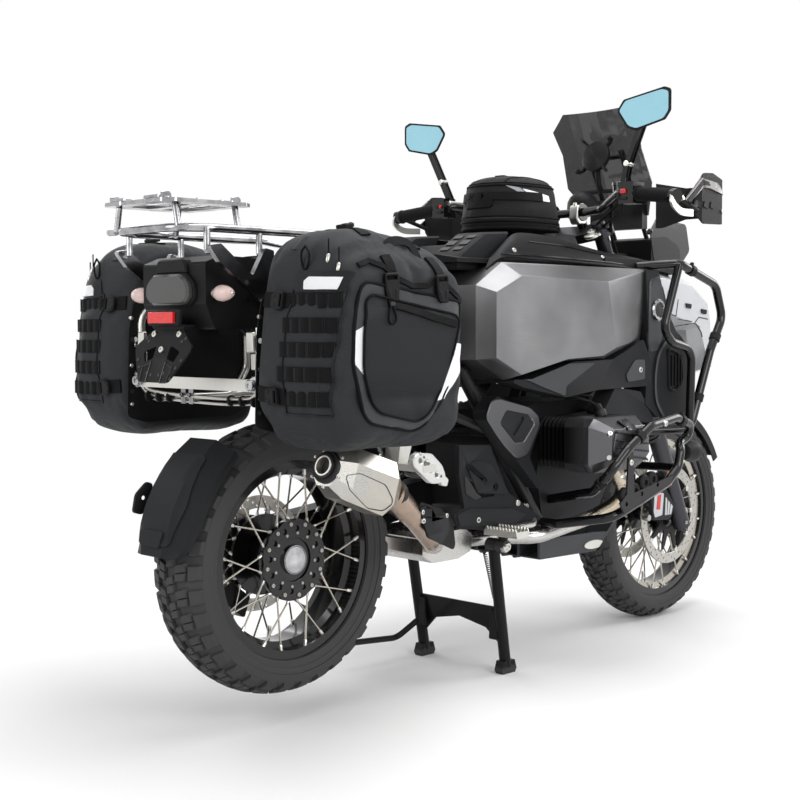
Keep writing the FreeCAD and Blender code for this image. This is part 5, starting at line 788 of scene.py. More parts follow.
class Skin:
    """A finished surface that straps and patches are laid on."""

    def __init__(self, piece: bpy.types.Object) -> None:
        """Read the surface of a piece.

        Args:
            piece: the piece, with its modifiers.
        """
        graph = bpy.context.evaluated_depsgraph_get()
        mesh = piece.evaluated_get(graph).to_mesh()
        self.tree = BVHTree.FromPolygons(
            [piece.matrix_world @ v.co for v in mesh.vertices], [tuple(p.vertices) for p in mesh.polygons]
        )
        piece.evaluated_get(graph).to_mesh_clear()

    def hit(self, point: Vector, toward: Vector, lift: float = 0.0) -> Tuple[Vector, Vector]:
        """Point and outward normal where a line toward the surface meets it.

        Args:
            point: start of the line, outside the surface.
            toward: its direction.
            lift: how far the point is raised off the surface.

        Returns:
            The raised point and the normal.
        """
        toward = toward.normalized()
        at, normal, _, _ = self.tree.ray_cast(point, toward)
        if at is None:
            at, normal, _, _ = self.tree.find_nearest(point)
        if normal.dot(toward) > 0:
            normal = -normal
        return at + normal * lift, normal

    def strap(
        self, points: Sequence[Vector], toward: Vector, width: float, thick: float, step: float = 0.008
    ) -> Form:
        """Flat band that follows the surface under a line.

        Args:
            points: line outside the surface.
            toward: direction from the line to the surface.
            width: width in metres.
            thick: thickness in metres.
            step: stretch between two sections.

        Returns:
            The form.
        """
        line = []
        for a, b in zip(points, points[1:]):
            pieces = max(1, int((b - a).length / step))
            line += [a.lerp(b, k / pieces) for k in range(pieces)]
        line.append(points[-1])
        hits = [self.hit(p, toward, thick * 0.3) for p in line]
        rings = []
        for i, (at, normal) in enumerate(hits):
            run = (hits[min(i + 1, len(hits) - 1)][0] - hits[max(i - 1, 0)][0]).normalized()
            side = run.cross(normal).normalized() * (width / 2)
            out = normal * thick
            rings.append([at - side - out, at + side - out, at + side + out * 0.6, at + side * 0.9 + out,
                          at - side * 0.9 + out, at - side + out * 0.6])
        return loft(rings)

    def patch(self, outline: Sequence[Vector], toward: Vector, thick: float, step: float = 0.012) -> Form:
        """Panel that lies on the surface inside an outline.

        Args:
            outline: edge of the panel, outside the surface.
            toward: direction to the surface.
            thick: thickness in metres.
            step: size of the panel's cells.

        Returns:
            The form.
        """
        work = bmesh.new()
        work.faces.new([work.verts.new(p) for p in outline])
        low = [min(p[i] for p in outline) for i in range(3)]
        high = [max(p[i] for p in outline) for i in range(3)]
        thin = min(range(3), key=lambda i: high[i] - low[i])
        for axis in (i for i in range(3) if i != thin):
            normal = Vector((0, 0, 0))
            normal[axis] = 1
            for k in range(1, int((high[axis] - low[axis]) / step) + 1):
                spot = Vector(low)
                spot[axis] = low[axis] + k * step
                everything = work.verts[:] + work.edges[:] + work.faces[:]
                bmesh.ops.bisect_plane(work, geom=everything, plane_co=spot, plane_no=normal)
        work.verts.index_update()
        top = [self.hit(v.co, toward, thick) for v in work.verts]
        count = len(top)
        points = [at for at, _ in top] + [at - normal * thick * 1.6 for at, normal in top]
        faces = [tuple(v.index for v in f.verts) for f in work.faces]
        faces += [tuple(reversed([i + count for i in f])) for f in faces]
        for edge in work.edges:
            if edge.is_boundary:
                a, b = (v.index for v in edge.verts)
                faces.append((a, b, b + count, a + count))
        work.free()
        return Form(points, faces)


ROUNDED_ABOVE = 30.0
CAD_ROUNDED_ABOVE = 25.0
WELD_REACH = 1e-5
DOUBLE_REACH = 1e-6


def round_edges(piece: bpy.types.Object, width: float, above: float) -> None:
    """Round the edges of a piece.

    Args:
        piece: the piece.
        width: width of the rounding in metres.
        above: smallest angle in degrees between the faces of a rounded edge.
    """
    rim = piece.modifiers.new("edges", "BEVEL")
    rim.width = width
    rim.segments = 2
    rim.limit_method = "ANGLE"
    rim.angle_limit = math.radians(above)
    rim.harden_normals = True


@dataclass
class Assembly:
    """Pieces of one sub-assembly, which ride on one CAD body unless a piece says otherwise."""

    body: str = "chassis"

    def show(
        self, name: str, form: Form, finish: Finish, slot: str, stands_for: Sequence[str] = (),
        body: Optional[str] = None, bevel: float = 0.0, sharp: float = 35.0, levels: int = 0
    ) -> bpy.types.Object:
        """Make one visible piece.

        Args:
            name: the piece's name.
            form: its mesh.
            finish: its surface.
            slot: name of a material slot; not used.
            stands_for: CAD nodes that it replaces.
            body: the CAD body that it rides on, if not the assembly's own.
            bevel: width of rounded edges in metres.
            sharp: edges over this angle in degrees stay sharp.
            levels: subdivision levels.

        Returns:
            The piece.
        """
        mesh = bpy.data.meshes.new(name)
        mesh.from_pydata(form.points, [], form.faces)
        work = bmesh.new()
        work.from_mesh(mesh)
        bmesh.ops.remove_doubles(work, verts=work.verts, dist=DOUBLE_REACH)
        bmesh.ops.recalc_face_normals(work, faces=work.faces)
        work.to_mesh(mesh)
        work.free()
        mesh.shade_smooth()
        piece = bpy.data.objects.new(name, mesh)
        bpy.context.scene.collection.objects.link(piece)
        if bevel:
            round_edges(piece, bevel, ROUNDED_ABOVE)
        if levels:
            piece.modifiers.new("levels", "SUBSURF").levels = levels
            piece.modifiers["levels"].render_levels = levels
        else:
            mesh.set_sharp_from_angle(angle=math.radians(sharp))
        mesh.materials.append(finish.material())
        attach(piece, body or self.body)
        if stands_for:
            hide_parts(*stands_for)
        LOG.info("%s: %d faces", name, len(mesh.polygons))
        return piece

    def pair(self, name: str, form: Form, finish: Finish, slot: str, **options: float) -> bpy.types.Object:
        """Make a piece with its mirror image in it; the options are those of show."""
        return self.show(name, form.paired(), finish, slot, **options)

    def build(self) -> None:
        """Make the pieces."""
        raise NotImplementedError


def dress(node: str, finish: Finish, bevel: float = 0.0) -> None:
    """Give a CAD node its finish, and rounded edges if asked for.

    Args:
        node: the node's name.
        finish: its surface.
        bevel: width of the edges' rounding.
    """
    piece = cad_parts[node]
    piece.data.materials.clear()
    piece.data.materials.append(finish.material())
    if bevel:
        weld = piece.modifiers.new("weld", "WELD")
        weld.merge_threshold = WELD_REACH
        round_edges(piece, bevel, CAD_ROUNDED_ABOVE)


# Finishes

POWDER_BLACK = Coated("powder_black", (0.007, 0.007, 0.0075), 0.4, coat=0.1)
GLOSS_BLACK = Coated("gloss_black", (0.004, 0.004, 0.0045), 0.2, coat=0.35, depth=0.00002, worn=0.04)
CAST_GREY = Coated("cast_grey", (0.028, 0.028, 0.031), 0.45, 0.4, grain=0.0014, depth=0.00015)
CAST_BLACK = Coated("cast_black", (0.012, 0.012, 0.013), 0.42, 0.3, grain=0.0012, depth=0.00012)
COVER_GREY = Coated("cover_grey", (0.03, 0.031, 0.033), 0.42, 0.3, grain=0.001, depth=0.0001, coat=0.05)
MOULDED = Coated("moulded_plastic", (0.015, 0.0155, 0.017), 0.5, grain=0.0009, depth=0.00016, worn=0.15)
MOULDED_BLACK = Coated("moulded_black", (0.008, 0.008, 0.009), 0.46, grain=0.0009, depth=0.00014, worn=0.12)
PANEL_GREY = Coated("panel_grey", (0.045, 0.047, 0.052), 0.4, 0.3, coat=0.2, worn=0.15)
SILVER_PAINT = Coated("silver_paint", (0.54, 0.55, 0.57), 0.3, 0.35, coat=0.5, worn=0.1, tone=0.94)
SATIN_SILVER = Brushed("satin_silver", (0.66, 0.65, 0.61), 0.34, 1.0, along=2, streak=0.001)
# The tank metal's dark cloudy patches are painted reflection.
TANK_METAL = Brushed("tank_metal", (0.31, 0.31, 0.315), 0.4, 1.0, along=0, streak=0.0007, depth=0.00004,
                     tone_and_reflection_tint=(0.42, 0.42, 0.43), patch=0.3)
# The polished finish's dark cloudy patches are painted reflection.
POLISHED = Brushed("polished", (0.6, 0.6, 0.61), 0.16, 1.0, along=0, streak=0.0008, depth=0.00002,
                   tone_and_reflection_tint=(0.35, 0.35, 0.36), patch=0.045)
STEEL = Brushed("ground_steel", (0.5, 0.48, 0.45), 0.3, 1.0, along=2, streak=0.0006)
CAN_STEEL = Brushed("can_steel", (0.56, 0.55, 0.52), 0.32, 1.0, along=0, streak=0.001, tone_and_reflection_tint=(1.0, 0.95, 0.86))
HEADER_STEEL = HeatTinted("header_steel", (0.56, 0.55, 0.53), 0.26, 1.0)
SILVER_CAST = Coated(
    "silver_cast", (0.68, 0.68, 0.66), 0.3, 0.6, grain=0.0012, depth=0.00008, worn=0.05, tone=0.9
)
DEFLECTOR_BROWN = Coated(
    "deflector_brown", (0.085, 0.068, 0.068), 0.3, 0.2, coat=0.3, depth=0.00004, worn=0.1
)
FORK_BLACK = Coated("fork_black", (0.006, 0.006, 0.0065), 0.3, 0.1, coat=0.15, depth=0.00003)
RUBBER = Grained("tyre_rubber", (0.0105, 0.01, 0.0098), 0.68, pebble=0.0022, depth=0.0002)
GRIP_RUBBER = Grained("grip_rubber", (0.009, 0.009, 0.009), 0.66, pebble=0.0012, depth=0.0002)
VINYL = Grained("seat_vinyl", (0.01, 0.01, 0.0105), 0.48, pebble=0.0014, depth=0.0002)
BAG_CLOTH = Woven("bag_cloth", (0.024, 0.025, 0.027), 0.6, thread=0.0012, depth=0.00015, second=1.35)
POCKET_CLOTH = Woven("pocket_cloth", (0.014, 0.0145, 0.016), 0.46, thread=0.0009, depth=0.00012, second=1.3)
PIPING = Woven("piping_cloth", (0.05, 0.052, 0.056), 0.5, thread=0.0008, depth=0.0001, second=1.3)
WEBBING = Woven("webbing", (0.0035, 0.0035, 0.004), 0.66, thread=0.0016, depth=0.0004, second=1.6, sheen=0.0)
TANK_BAG_CLOTH = Woven("tank_bag_cloth", (0.01, 0.01, 0.011), 0.62, thread=0.0011, depth=0.0003, second=1.6)
REFLECTIVE = Coated(
    "reflective_patch", (0.78, 0.79, 0.8), 0.38, grain=0.0012, depth=0.00006, worn=0.0, tone=0.96
)
REFLECTIVE_GREY = Coated("reflective_grey", (0.3, 0.31, 0.32), 0.4, grain=0.001, depth=0.00006, worn=0.0)
RED_PLASTIC = Coated("red_plastic", (0.55, 0.02, 0.015), 0.25, coat=0.6, worn=0.0, tone=0.92)
SMOKED = Clear("smoked_sheet", (0.03, 0.03, 0.033), 0.06, coat=0.4, alpha=0.8)
LAMP_SMOKE = Clear("lamp_smoke", (0.02, 0.018, 0.018), 0.1, coat=0.8, alpha=0.9)
LAMP_GREY = Coated("lamp_grey", (0.06, 0.059, 0.058), 0.22, coat=0.5, depth=0.00002, worn=0.0)
PINK_LENS = Clear("indicator_lens", (0.85, 0.62, 0.58), 0.1, coat=0.8, alpha=0.75, ripple=0.004)
LAMP_LENS = Clear("lamp_lens", (0.7, 0.73, 0.76), 0.05, coat=1.0, alpha=0.6, ripple=0.006)
AMBER = Clear("amber_lens", (0.85, 0.25, 0.03), 0.15, coat=0.7, alpha=0.95, ripple=0.003)
RED_LENS = Clear("red_lens", (0.7, 0.01, 0.01), 0.15, coat=0.7, alpha=0.97, ripple=0.003)
MIRROR_GLASS = Coated(
    "mirror_glass", (0.33, 0.63, 0.74), 0.06, 0.85, coat=0.8, depth=0.000004, worn=0.0, tone=0.93
)
BRASS_DISC = Brushed("disc_steel", (0.6, 0.58, 0.55), 0.26, 1.0, along=1, streak=0.0008)
FRONT_RIM = SpokedRim(
    "front_rim_black", (0.007, 0.007, 0.008), 0.2, coat=0.5, axle=FRONT_AXLE, spokes=(0.066, 0.218, 0.2345),
    flange=0.026
)
REAR_RIM = SpokedRim(
    "rear_rim_black", (0.007, 0.007, 0.008), 0.2, coat=0.5, axle=REAR_AXLE, spokes=(0.0975, 0.193, 0.2095),
    flange=0.034
)

NODE_FINISHES: Dict[str, Tuple[Finish, float]] = {
    "main_frame": (POWDER_BLACK, 0), "rear_subframe": (POWDER_BLACK, 0), "engine_block": (CAST_GREY, 0.004),
    "cylinders": (CAST_BLACK, 0), "valve_covers": (COVER_GREY, 0.003), "skid_plate": (PANEL_GREY, 0),
    "exhaust": (HEADER_STEEL, 0), "heat_shield": (MOULDED_BLACK, 0.0015), "intake_covers": (MOULDED, 0.002),
    "silencer": (CAN_STEEL, 0.0025), "swingarm": (CAST_BLACK, 0.003), "shocks": (GLOSS_BLACK, 0),
    "front_arm": (CAST_BLACK, 0), "fuel_tank": (TANK_METAL, 0.008), "tank_cover": (MOULDED_BLACK, 0.003),
    "side_fairings": (MOULDED, 0.002), "beak": (SILVER_PAINT, 0.003), "headlamp": (MOULDED_BLACK, 0.003),
    "windshield": (SMOKED, 0), "windshield_frame": (POWDER_BLACK, 0), "rider_seat": (VINYL, 0),
    "pillion_seat": (VINYL, 0), "luggage_rack": (POLISHED, 0), "tail_unit": (MOULDED_BLACK, 0.002),
    "tail_lamp": (LAMP_SMOKE, 0), "indicators": (PINK_LENS, 0), "pannier_frame": (SATIN_SILVER, 0),
    "pannier_left": (BAG_CLOTH, 0), "pannier_right": (BAG_CLOTH, 0), "tank_bag": (TANK_BAG_CLOTH, 0),
    "splash_guard": (MOULDED, 0.0015), "foot_pegs": (SATIN_SILVER, 0.001), "side_covers": (MOULDED, 0.0015),
    "lower_crash_bars": (GLOSS_BLACK, 0), "upper_crash_bars": (GLOSS_BLACK, 0), "fork": (FORK_BLACK, 0),
    "front_fender": (MOULDED, 0), "handlebar": (GLOSS_BLACK, 0), "handguards": (MOULDED_BLACK, 0),
    "mirrors": (MOULDED_BLACK, 0), "front_tyre": (RUBBER, 0), "front_rim": (FRONT_RIM, 0),
    "front_discs": (STEEL, 0), "rear_tyre": (RUBBER, 0), "rear_rim": (REAR_RIM, 0),
    "rear_disc": (BRASS_DISC, 0), "center_stand": (POWDER_BLACK, 0), "side_stand": (POWDER_BLACK, 0),
}


# Stage

SEES_SURROUND = ("Is Camera Ray", "Is Glossy Ray", "Is Transmission Ray")
SURROUND_LIGHT = 0.42
SENSOR_WIDTH = 36.0
LAMPS: Tuple[Tuple[str, Triple, Triple, Pair, float], ...] = (
    ("top", (0.3, -0.2, 3.6), (0.0, 0.0, 0.5), (3.4, 2.4), 95),
    ("right", (-0.6, -3.6, 2.0), (0.1, 0.0, 0.6), (2.6, 1.6), 62),
    ("rear", (-3.6, 0.6, 1.9), (-0.4, 0.0, 0.6), (1.8, 1.8), 38),
    ("front", (3.4, -1.4, 2.2), (0.6, 0.0, 0.7), (1.8, 1.6), 46),
    ("left", (0.2, 3.6, 1.9), (0.0, 0.0, 0.6), (2.4, 1.6), 40),
)


@dataclass
class Stage:
    """Pale floor, white surround, soft lamps and the camera at the photograph's angle."""

    eye: Triple = (-2.8015, -2.424, 0.910)
    azimuth: float = 44.3
    pitch: float = -3.1
    roll: float = -0.1
    lens: float = 61.4
    floor_half: float = 14.0
    shadow_reach: Pair = (1.3, 2.9)

    def build(self) -> None:
        """Make it all."""
        self.camera()
        self.floor()
        self.world()
        for name, at, toward, size, power in LAMPS:
            self.lamp(name, at, toward, size, power)

    def camera(self) -> None:
        """Camera solved from the photograph."""
        data = bpy.data.cameras.new("camera")
        data.lens = self.lens
        data.sensor_width = SENSOR_WIDTH
        data.clip_end = 100.0
        holder = bpy.data.objects.new("camera", data)
        bpy.context.scene.collection.objects.link(holder)
        azimuth, pitch = math.radians(self.azimuth), math.radians(self.pitch)
        look = Vector(
            (math.cos(azimuth) * math.cos(pitch), math.sin(azimuth) * math.cos(pitch), math.sin(pitch))
        )
        turn = look.to_track_quat("-Z", "Y").to_matrix().to_4x4()
        holder.matrix_world = Matrix.Translation(self.eye) @ turn @ Matrix.Rotation(
            math.radians(self.roll), 4, "Z"
        )
        bpy.context.scene.camera = holder

    def floor(self) -> None:
        """Floor that is lit near the machine and fades into plain white further off."""
        mesh = bpy.data.meshes.new("floor")
        half = self.floor_half
        mesh.from_pydata(
            [(-half, -half, 0), (half, -half, 0), (half, half, 0), (-half, half, 0)], [], [(0, 1, 2, 3)]
        )
        holder = bpy.data.objects.new("floor", mesh)
        bpy.context.scene.collection.objects.link(holder)
        material = bpy.data.materials.new("floor_white")
        graph = Graph(material)
        x, y, _ = graph.axis(graph.where())
        reach = (x ** 2.0 + y ** 2.0) ** 0.5
        far = reach.above(sum(self.shadow_reach) / 2, self.shadow_reach[1] - self.shadow_reach[0])
        graph.set(Base_Color=(0.9, 0.9, 0.9), Roughness=0.75, Specular_IOR_Level=0.1)
        white = graph.node("ShaderNodeEmission", {}, {"Color": (1.0, 1.0, 1.0), "Strength": 1.0})
        path = graph.tree.nodes.new("ShaderNodeLightPath")
        seen = sum((Wire(graph, path.outputs[n]) for n in SEES_SURROUND), 0.0)
        lit = Wire(graph, graph.shader.outputs[0])
        mixed = graph.node("ShaderNodeMixShader", {}, {0: far * seen, 1: lit, 2: white})
        output = next(n for n in graph.tree.nodes if n.type == "OUTPUT_MATERIAL")
        graph.tree.links.new(mixed.socket, output.inputs[0])
        mesh.materials.append(material)

    def world(self) -> None:
        """Plain white surround, brighter to the eye than to the machine."""
        world = bpy.data.worlds.new("surround")
        bpy.context.scene.world = world
        world.use_nodes = True
        nodes, links = world.node_tree.nodes, world.node_tree.links
        nodes.clear()
        output = nodes.new("ShaderNodeOutputWorld")
        path = nodes.new("ShaderNodeLightPath")
        light, white = (nodes.new("ShaderNodeBackground") for _ in range(2))
        mixed = nodes.new("ShaderNodeMixShader")
        light.inputs["Strength"].default_value = SURROUND_LIGHT
        light.inputs["Color"].default_value = (1.0, 1.0, 1.0, 1.0)
        white.inputs["Color"].default_value = (1.0, 1.0, 1.0, 1.0)
        before = None
        for name in SEES_SURROUND:
            total = nodes.new("ShaderNodeMath")
            links.new(path.outputs[name], total.inputs[0])
            total.inputs[1].default_value = 0.0
            if before:
                links.new(before, total.inputs[1])
            before = total.outputs[0]
        links.new(before, mixed.inputs[0])
        links.new(light.outputs[0], mixed.inputs[1])
        links.new(white.outputs[0], mixed.inputs[2])
        links.new(mixed.outputs[0], output.inputs[0])
        bpy.context.scene.view_settings.view_transform = "Standard"

    def lamp(self, name: str, at: Triple, toward: Triple, size: Pair, power: float) -> None:
        """Soft rectangular lamp.

        Args:
            name: the lamp's name.
            at: its place.
            toward: the point it shines at.
            size: its width and height.
            power: its power in watts.
        """
        data = bpy.data.lights.new("lamp_" + name, "AREA")
        data.shape = "RECTANGLE"
        data.size, data.size_y = size
        data.energy = power
        holder = bpy.data.objects.new("lamp_" + name, data)
        bpy.context.scene.collection.objects.link(holder)
        look = Vector(toward) - Vector(at)
        holder.matrix_world = Matrix.Translation(at) @ look.to_track_quat("-Z", "Y").to_matrix().to_4x4()


# Wheels

BlockShape = Tuple[Pair, ...]


@dataclass
class Tyre(Assembly):
    """Block-tread tyre that replaces the plain carcass."""

    side: str = "rear"
    axle: Pair = REAR_AXLE
    radius: float = 318.0
    half: float = 85.0
    rim_radius: float = 230.0
    rim_half: float = 65.0
    pitches: int = 34
    groove: float = 9.0
    blocks: Tuple[BlockShape, ...] = (
        ((-0.30, 0.02), (-0.035, 0.14), (-0.035, 0.42), (-0.30, 0.32)),
        ((-0.30, 0.36), (-0.035, 0.46), (-0.035, 0.74), (-0.30, 0.66)),
        ((0.36, 0.12), (0.66, 0.00), (0.69, 0.33), (0.36, 0.42)),
        ((0.36, 0.46), (0.69, 0.37), (0.66, 0.68), (0.36, 0.74)),
        ((0.75, 0.10), (1.04, 0.06), (1.04, 0.62), (0.75, 0.70)),
    )

    def crown(self, y: float) -> float:
        """Radius of the tread's top at a distance from the middle.

        Args:
            y: the distance in millimetres.

        Returns:
            The radius in millimetres.
        """
        edge_y, edge_r = self.half * 0.92, self.rim_radius + (self.radius - self.rim_radius) * 0.7
        drop = self.radius - edge_r
        arc = (edge_y ** 2 + drop ** 2) / (2 * drop)
        return self.radius - arc + math.sqrt(arc ** 2 - min(abs(y), arc * 0.99) ** 2)

    def at(self, y: float, radius: float, angle: float) -> Vector:
        """Point about the axle."""
        return place(self.axle[0] + radius * math.cos(angle), y, self.axle[1] + radius * math.sin(angle))

    def build(self) -> None:
        """Carcass and tread in one piece."""
        form = self.carcass()
        for k in range(self.pitches):
            for shape in self.blocks:
                for way in (1, -1):
                    form.add(self.block(shape, way, (k + (0.5 if way < 0 else 0.0)) / self.pitches))
        node = self.side + "_tyre"
        self.show(node + "_tread", form, RUBBER, "tyre_rubber", (node,), sharp=28)

    def carcass(self) -> Form:
        """Hollow tyre with grooved crown, rib lines on the walls and beads.

        Returns:
            The form.
        """
        edge = self.half * 0.92
        line = [(edge * u, self.crown(edge * u) - self.groove) for u in (0, 0.2, 0.4, 0.6, 0.8, 0.92, 1.0)]
        high = self.radius - self.rim_radius
        for share_y, share_r in (
            (0.985, 0.56), (1.0, 0.45), (1.0, 0.36), (0.97, 0.352), (0.965, 0.30), (0.94, 0.20),
            (0.92, 0.195), (0.86, 0.08), (0.84, 0.02)
        ):
            line.append((self.half * share_y, self.rim_radius + high * share_r))
        bead = self.rim_half - 5
        line += [
            (bead, self.rim_radius), (bead, self.rim_radius - 12), (bead - 12, self.rim_radius - 10),
            (self.half * 0.78, self.rim_radius + high * 0.3), (self.half * 0.7, self.radius - 26),
            (0, self.radius - 16)
        ]
        outer = [(-y, r) for y, r in reversed(line[1:])] + line
        steps = 96
        rings = [[self.at(y, r, 2 * math.pi * k / steps) for y, r in outer] for k in range(steps)]
        return loft(rings + rings[:1], caps=False)

    def block(self, shape: BlockShape, way: int, turn: float) -> Form:
        """One tread block with a drafted wall and a chamfered top.

        Args:
            shape: its outline, by share of the half width and of the pitch.
            way: 1 for the left half, -1 for the right.
            turn: its place round the tyre, from 0 to 1.

        Returns:
            The form.
        """
        middle_u = sum(u for u, _ in shape) / len(shape)
        middle_v = sum(v for _, v in shape) / len(shape)
        rings = []
        for grow, drop in ((1.1, self.groove + 2.0), (1.0, 1.6), (0.9, 0.0)):
            ring = []
            for u, v in shape:
                u, v = middle_u + (u - middle_u) * grow, middle_v + (v - middle_v) * grow
                y = u * self.half * 0.93 * way
                ring.append(self.at(y, self.crown(y) - drop, 2 * math.pi * (turn + v / self.pitches)))
            rings.append(ring)
        return loft(rings)


@dataclass
class Wheel(Assembly):
    """Nipples, valve, hub trim and drilled disc of one wheel."""

    side: str = "rear"
    axle: Pair = REAR_AXLE
    rim_radius: float = 230.0
    rim_half: float = 65.0
    hub_radius: float = 96.0
    hub_faces: Pair = (48.0, -56.0)
    disc_radius: float = 138.0
    disc_faces: Tuple[float, ...] = (70.0,)
    disc_seat: float = 54.0
    disc_finish: Finish = BRASS_DISC
    pairs: int = 10
    valve: Tuple[Pair, ...] = ((0, 0.007), (0.004, 0.004), (0.024, 0.004), (0.026, 0.005), (0.034, 0.005))
    nipple: Tuple[Pair, ...] = ((0, 0.0028), (0.002, 0.0042), (0.012, 0.0042), (0.018, 0.0055))
    spoke_head: Tuple[Pair, ...] = ((0, 0.0042), (0.01, 0.0042), (0.014, 0.003))
    bobbin: Tuple[Pair, ...] = ((0, 0.006), (0.001, 0.0075), (0.008, 0.0075), (0.009, 0.006))
    # Black disc that closes the rear bore deep inside: partly the hollow's real far end, and its black is
    # painted shade of the deep hollow.
    bore_end_painted_shade: Tuple[Pair, ...] = (
        (-0.006, 0.0), (-0.006, 0.027), (0.0, 0.0272), (0.004, 0.024), (0.004, 0.016), (-0.002, 0.014),
        (-0.002, 0.0)
    )
    bore_ring: Tuple[Pair, ...] = (
        (0.0, 0.0305), (0.0, 0.0335), (0.004, 0.0345), (0.02, 0.0345), (0.02, 0.0275), (0.002, 0.0275),
        (0.0, 0.0305)
    )
    axle_collar: Tuple[Pair, ...] = ((0, 0.02), (0.008, 0.02), (0.0105, 0.017), (0.0105, 0.0128), (0, 0.0128))

    def at(self, y: float, radius: float, angle: float) -> Vector:
        """Point about the axle; the angle is in degrees."""
        turn = math.radians(angle)
        return place(self.axle[0] + radius * math.cos(turn), y, self.axle[1] + radius * math.sin(turn))

    def build(self) -> None:
        """Make the pieces."""
        self.nipples()
        self.discs()
        self.hub()

    def nipples(self) -> None:
        """Spoke nipples in lugs at the rim's edges, heads at the hub, and the valve."""
        form = Form()
        pitch = 360.0 / self.pairs
        inset = self.rim_half - 7.0
        for hub_y, rim_y, offset in (
            (self.hub_faces[0], inset, 0.0 if self.side == "front" else pitch / 2),
            (self.hub_faces[1], -inset, pitch / 2 if self.side == "front" else 0.0)
        ):
            for i in range(self.pairs):
                for way in (1, -1):
                    angle = offset + pitch * i
                    foot = self.at(hub_y, self.hub_radius - 5, angle + way * 13.0)
                    end = self.at(rim_y, self.rim_radius - 16.5, angle - way * 8.0)
                    run = (end - foot).normalized()
                    form.add(turned(end - run * 0.017, end, self.nipple, 8))
                    form.add(turned(foot, foot + run, self.spoke_head, 8))
        valve = self.at(0, self.rim_radius - 34, 262)
        form.add(turned(valve, self.at(0, self.rim_radius - 70, 262), self.valve, 10))
        self.show(self.side + "_nipples", form, SATIN_SILVER, "disc_steel")

    def discs(self) -> None:
        """Drilled friction rings on a spider with bobbins."""
        rings, spiders, bobbins = Form(), Form(), Form()
        outer, inner = self.disc_radius * MM, (self.disc_radius - 30) * MM
        centre = place(self.axle[0], 0, self.axle[1])
        holes = [ring_of((0, 0), inner, 72)]
        for i in range(60):
            radius = inner + (0.006, 0.015, 0.024)[i % 3]
            angle = math.radians(6 * i)
            holes.append(ring_of((radius * math.cos(angle), radius * math.sin(angle)), 0.0031, 8))
        arms = []
        seat = self.disc_seat * MM
        for i in range(80):
            a = 2 * math.pi * i / 80
            wave = 0.5 + 0.5 * math.cos(a * 10)
            arms.append((math.cos(a) * (seat + 0.006 + (inner - seat - 0.007) * wave ** 3),
                         math.sin(a) * (seat + 0.006 + (inner - seat - 0.007) * wave ** 3)))
        for y in self.disc_faces:
            spot = spot_of(centre + LEFT * (y * MM), AHEAD, -LEFT)
            rings.add(plate(ring_of((0, 0), outer, 96), 0.005, spot, holes, 0.0004))
            spiders.add(plate(arms, 0.0056, spot, [ring_of((0, 0), seat - 0.012, 40)], 0.0006))
            for i in range(10):
                angle = 36.0 * i
                at = self.at(y, inner / MM - 1, angle)
                bobbins.add(turned(at - LEFT * 0.0045, at + LEFT * 0.0045, self.bobbin, 12))
        replaced = "front_discs" if self.side == "front" else "rear_disc"
        self.show(self.side + "_disc_rings", rings, self.disc_finish, "disc_steel", (replaced,), sharp=30)
        self.show(self.side + "_disc_spiders", spiders, CAST_BLACK, "rim_black", sharp=30)
        self.show(self.side + "_disc_bobbins", bobbins, SATIN_SILVER, "disc_steel")

    def hub(self) -> None:
        """Screws round the hub's face and the bright ring in its bore."""
        screws = Form()
        face = self.hub_faces[1] - 4.0
        out = -LEFT
        count = 12 if self.side == "rear" else 6
        for i in range(count):
            screws.add(
                bolt(self.at(face - 4, self.hub_radius - 12, 360.0 * i / count + 8), out, 0.0055, 0.004)
            )
            if self.side == "rear":
                screws.add(bolt(self.at(face - 4, 62.0, 360.0 * i / count + 22), out, 0.004, 0.003))
        self.show(self.side + "_hub_screws", screws, STEEL, "disc_steel")
        trim = Form()
        centre = self.at(face, 0, 0)
        if self.side == "rear":
            scallops = []
            for i in range(144):
                a = 2 * math.pi * i / 144
                reach = 0.0955 - 0.0035 * (0.5 + 0.5 * math.cos(a * 12)) ** 2
                scallops.append((reach * math.cos(a), reach * math.sin(a)))
            spot = spot_of(centre + out * 0.002, AHEAD, out)
            windows = [ring_of((0.073 * math.cos(a), 0.073 * math.sin(a)), 0.0065, 12)
                       for a in (math.radians(30 * i + 23) for i in range(12))]
            ring = plate(scallops, 0.005, spot, [ring_of((0, 0), 0.05, 64), *windows], 0.0008)
            self.show("rear_hub_ring", ring, GLOSS_BLACK, "rim_black", sharp=30)
            # Black disc deep in the rear bore; it closes the hollow, and its black is painted shade of the
            # deep hollow.
            seat = self.at(43, 0, 0)
            plug = turned(seat, seat + out, self.bore_end_painted_shade, 40)
            self.show("rear_hub_bore_end_painted_shade", plug, GLOSS_BLACK, "rim_black")
            trim.add(turned(centre + out * 0.008, centre - out * 0.02, self.bore_ring, 48))
        else:
            for way in (1, -1):
                start = self.at(way * 73.5, 0, 0)
                end = self.at(way * 84.0, 0, 0)
                trim.add(turned(start, end, self.axle_collar, 32))
        self.show(self.side + "_hub_trim", trim, POLISHED, "disc_steel")


def front_tyre() -> Assembly:
    """Narrow tyre of the front wheel."""
    return Tyre("front_wheel", "front", FRONT_AXLE, 325.0, 60.0, 255.0, 45.0, 38, 7.5)


def rear_tyre() -> Assembly:
    """Wide tyre of the rear wheel."""
    return Tyre("rear_wheel")


def front_wheel() -> Assembly:
    """Front wheel with a disc on each side."""
    return Wheel(
        "front_wheel", "front", FRONT_AXLE, 255.0, 45.0, 62.0, (40.0, -40.0), 152.0, (76.0, -76.0), 52.0,
        STEEL
    )


def rear_wheel() -> Assembly:
    """Rear wheel with its open hub and one disc."""
    return Wheel("rear_wheel")


# Soft goods

FILL_FRAMES = 20
SMOOTHINGS = 3
CLOTH = {
    "quality": 4, "mass": 0.25, "tension_stiffness": 12, "compression_stiffness": 12, "shear_stiffness": 6,
    "bending_stiffness": 0.6, "use_pressure": True
}


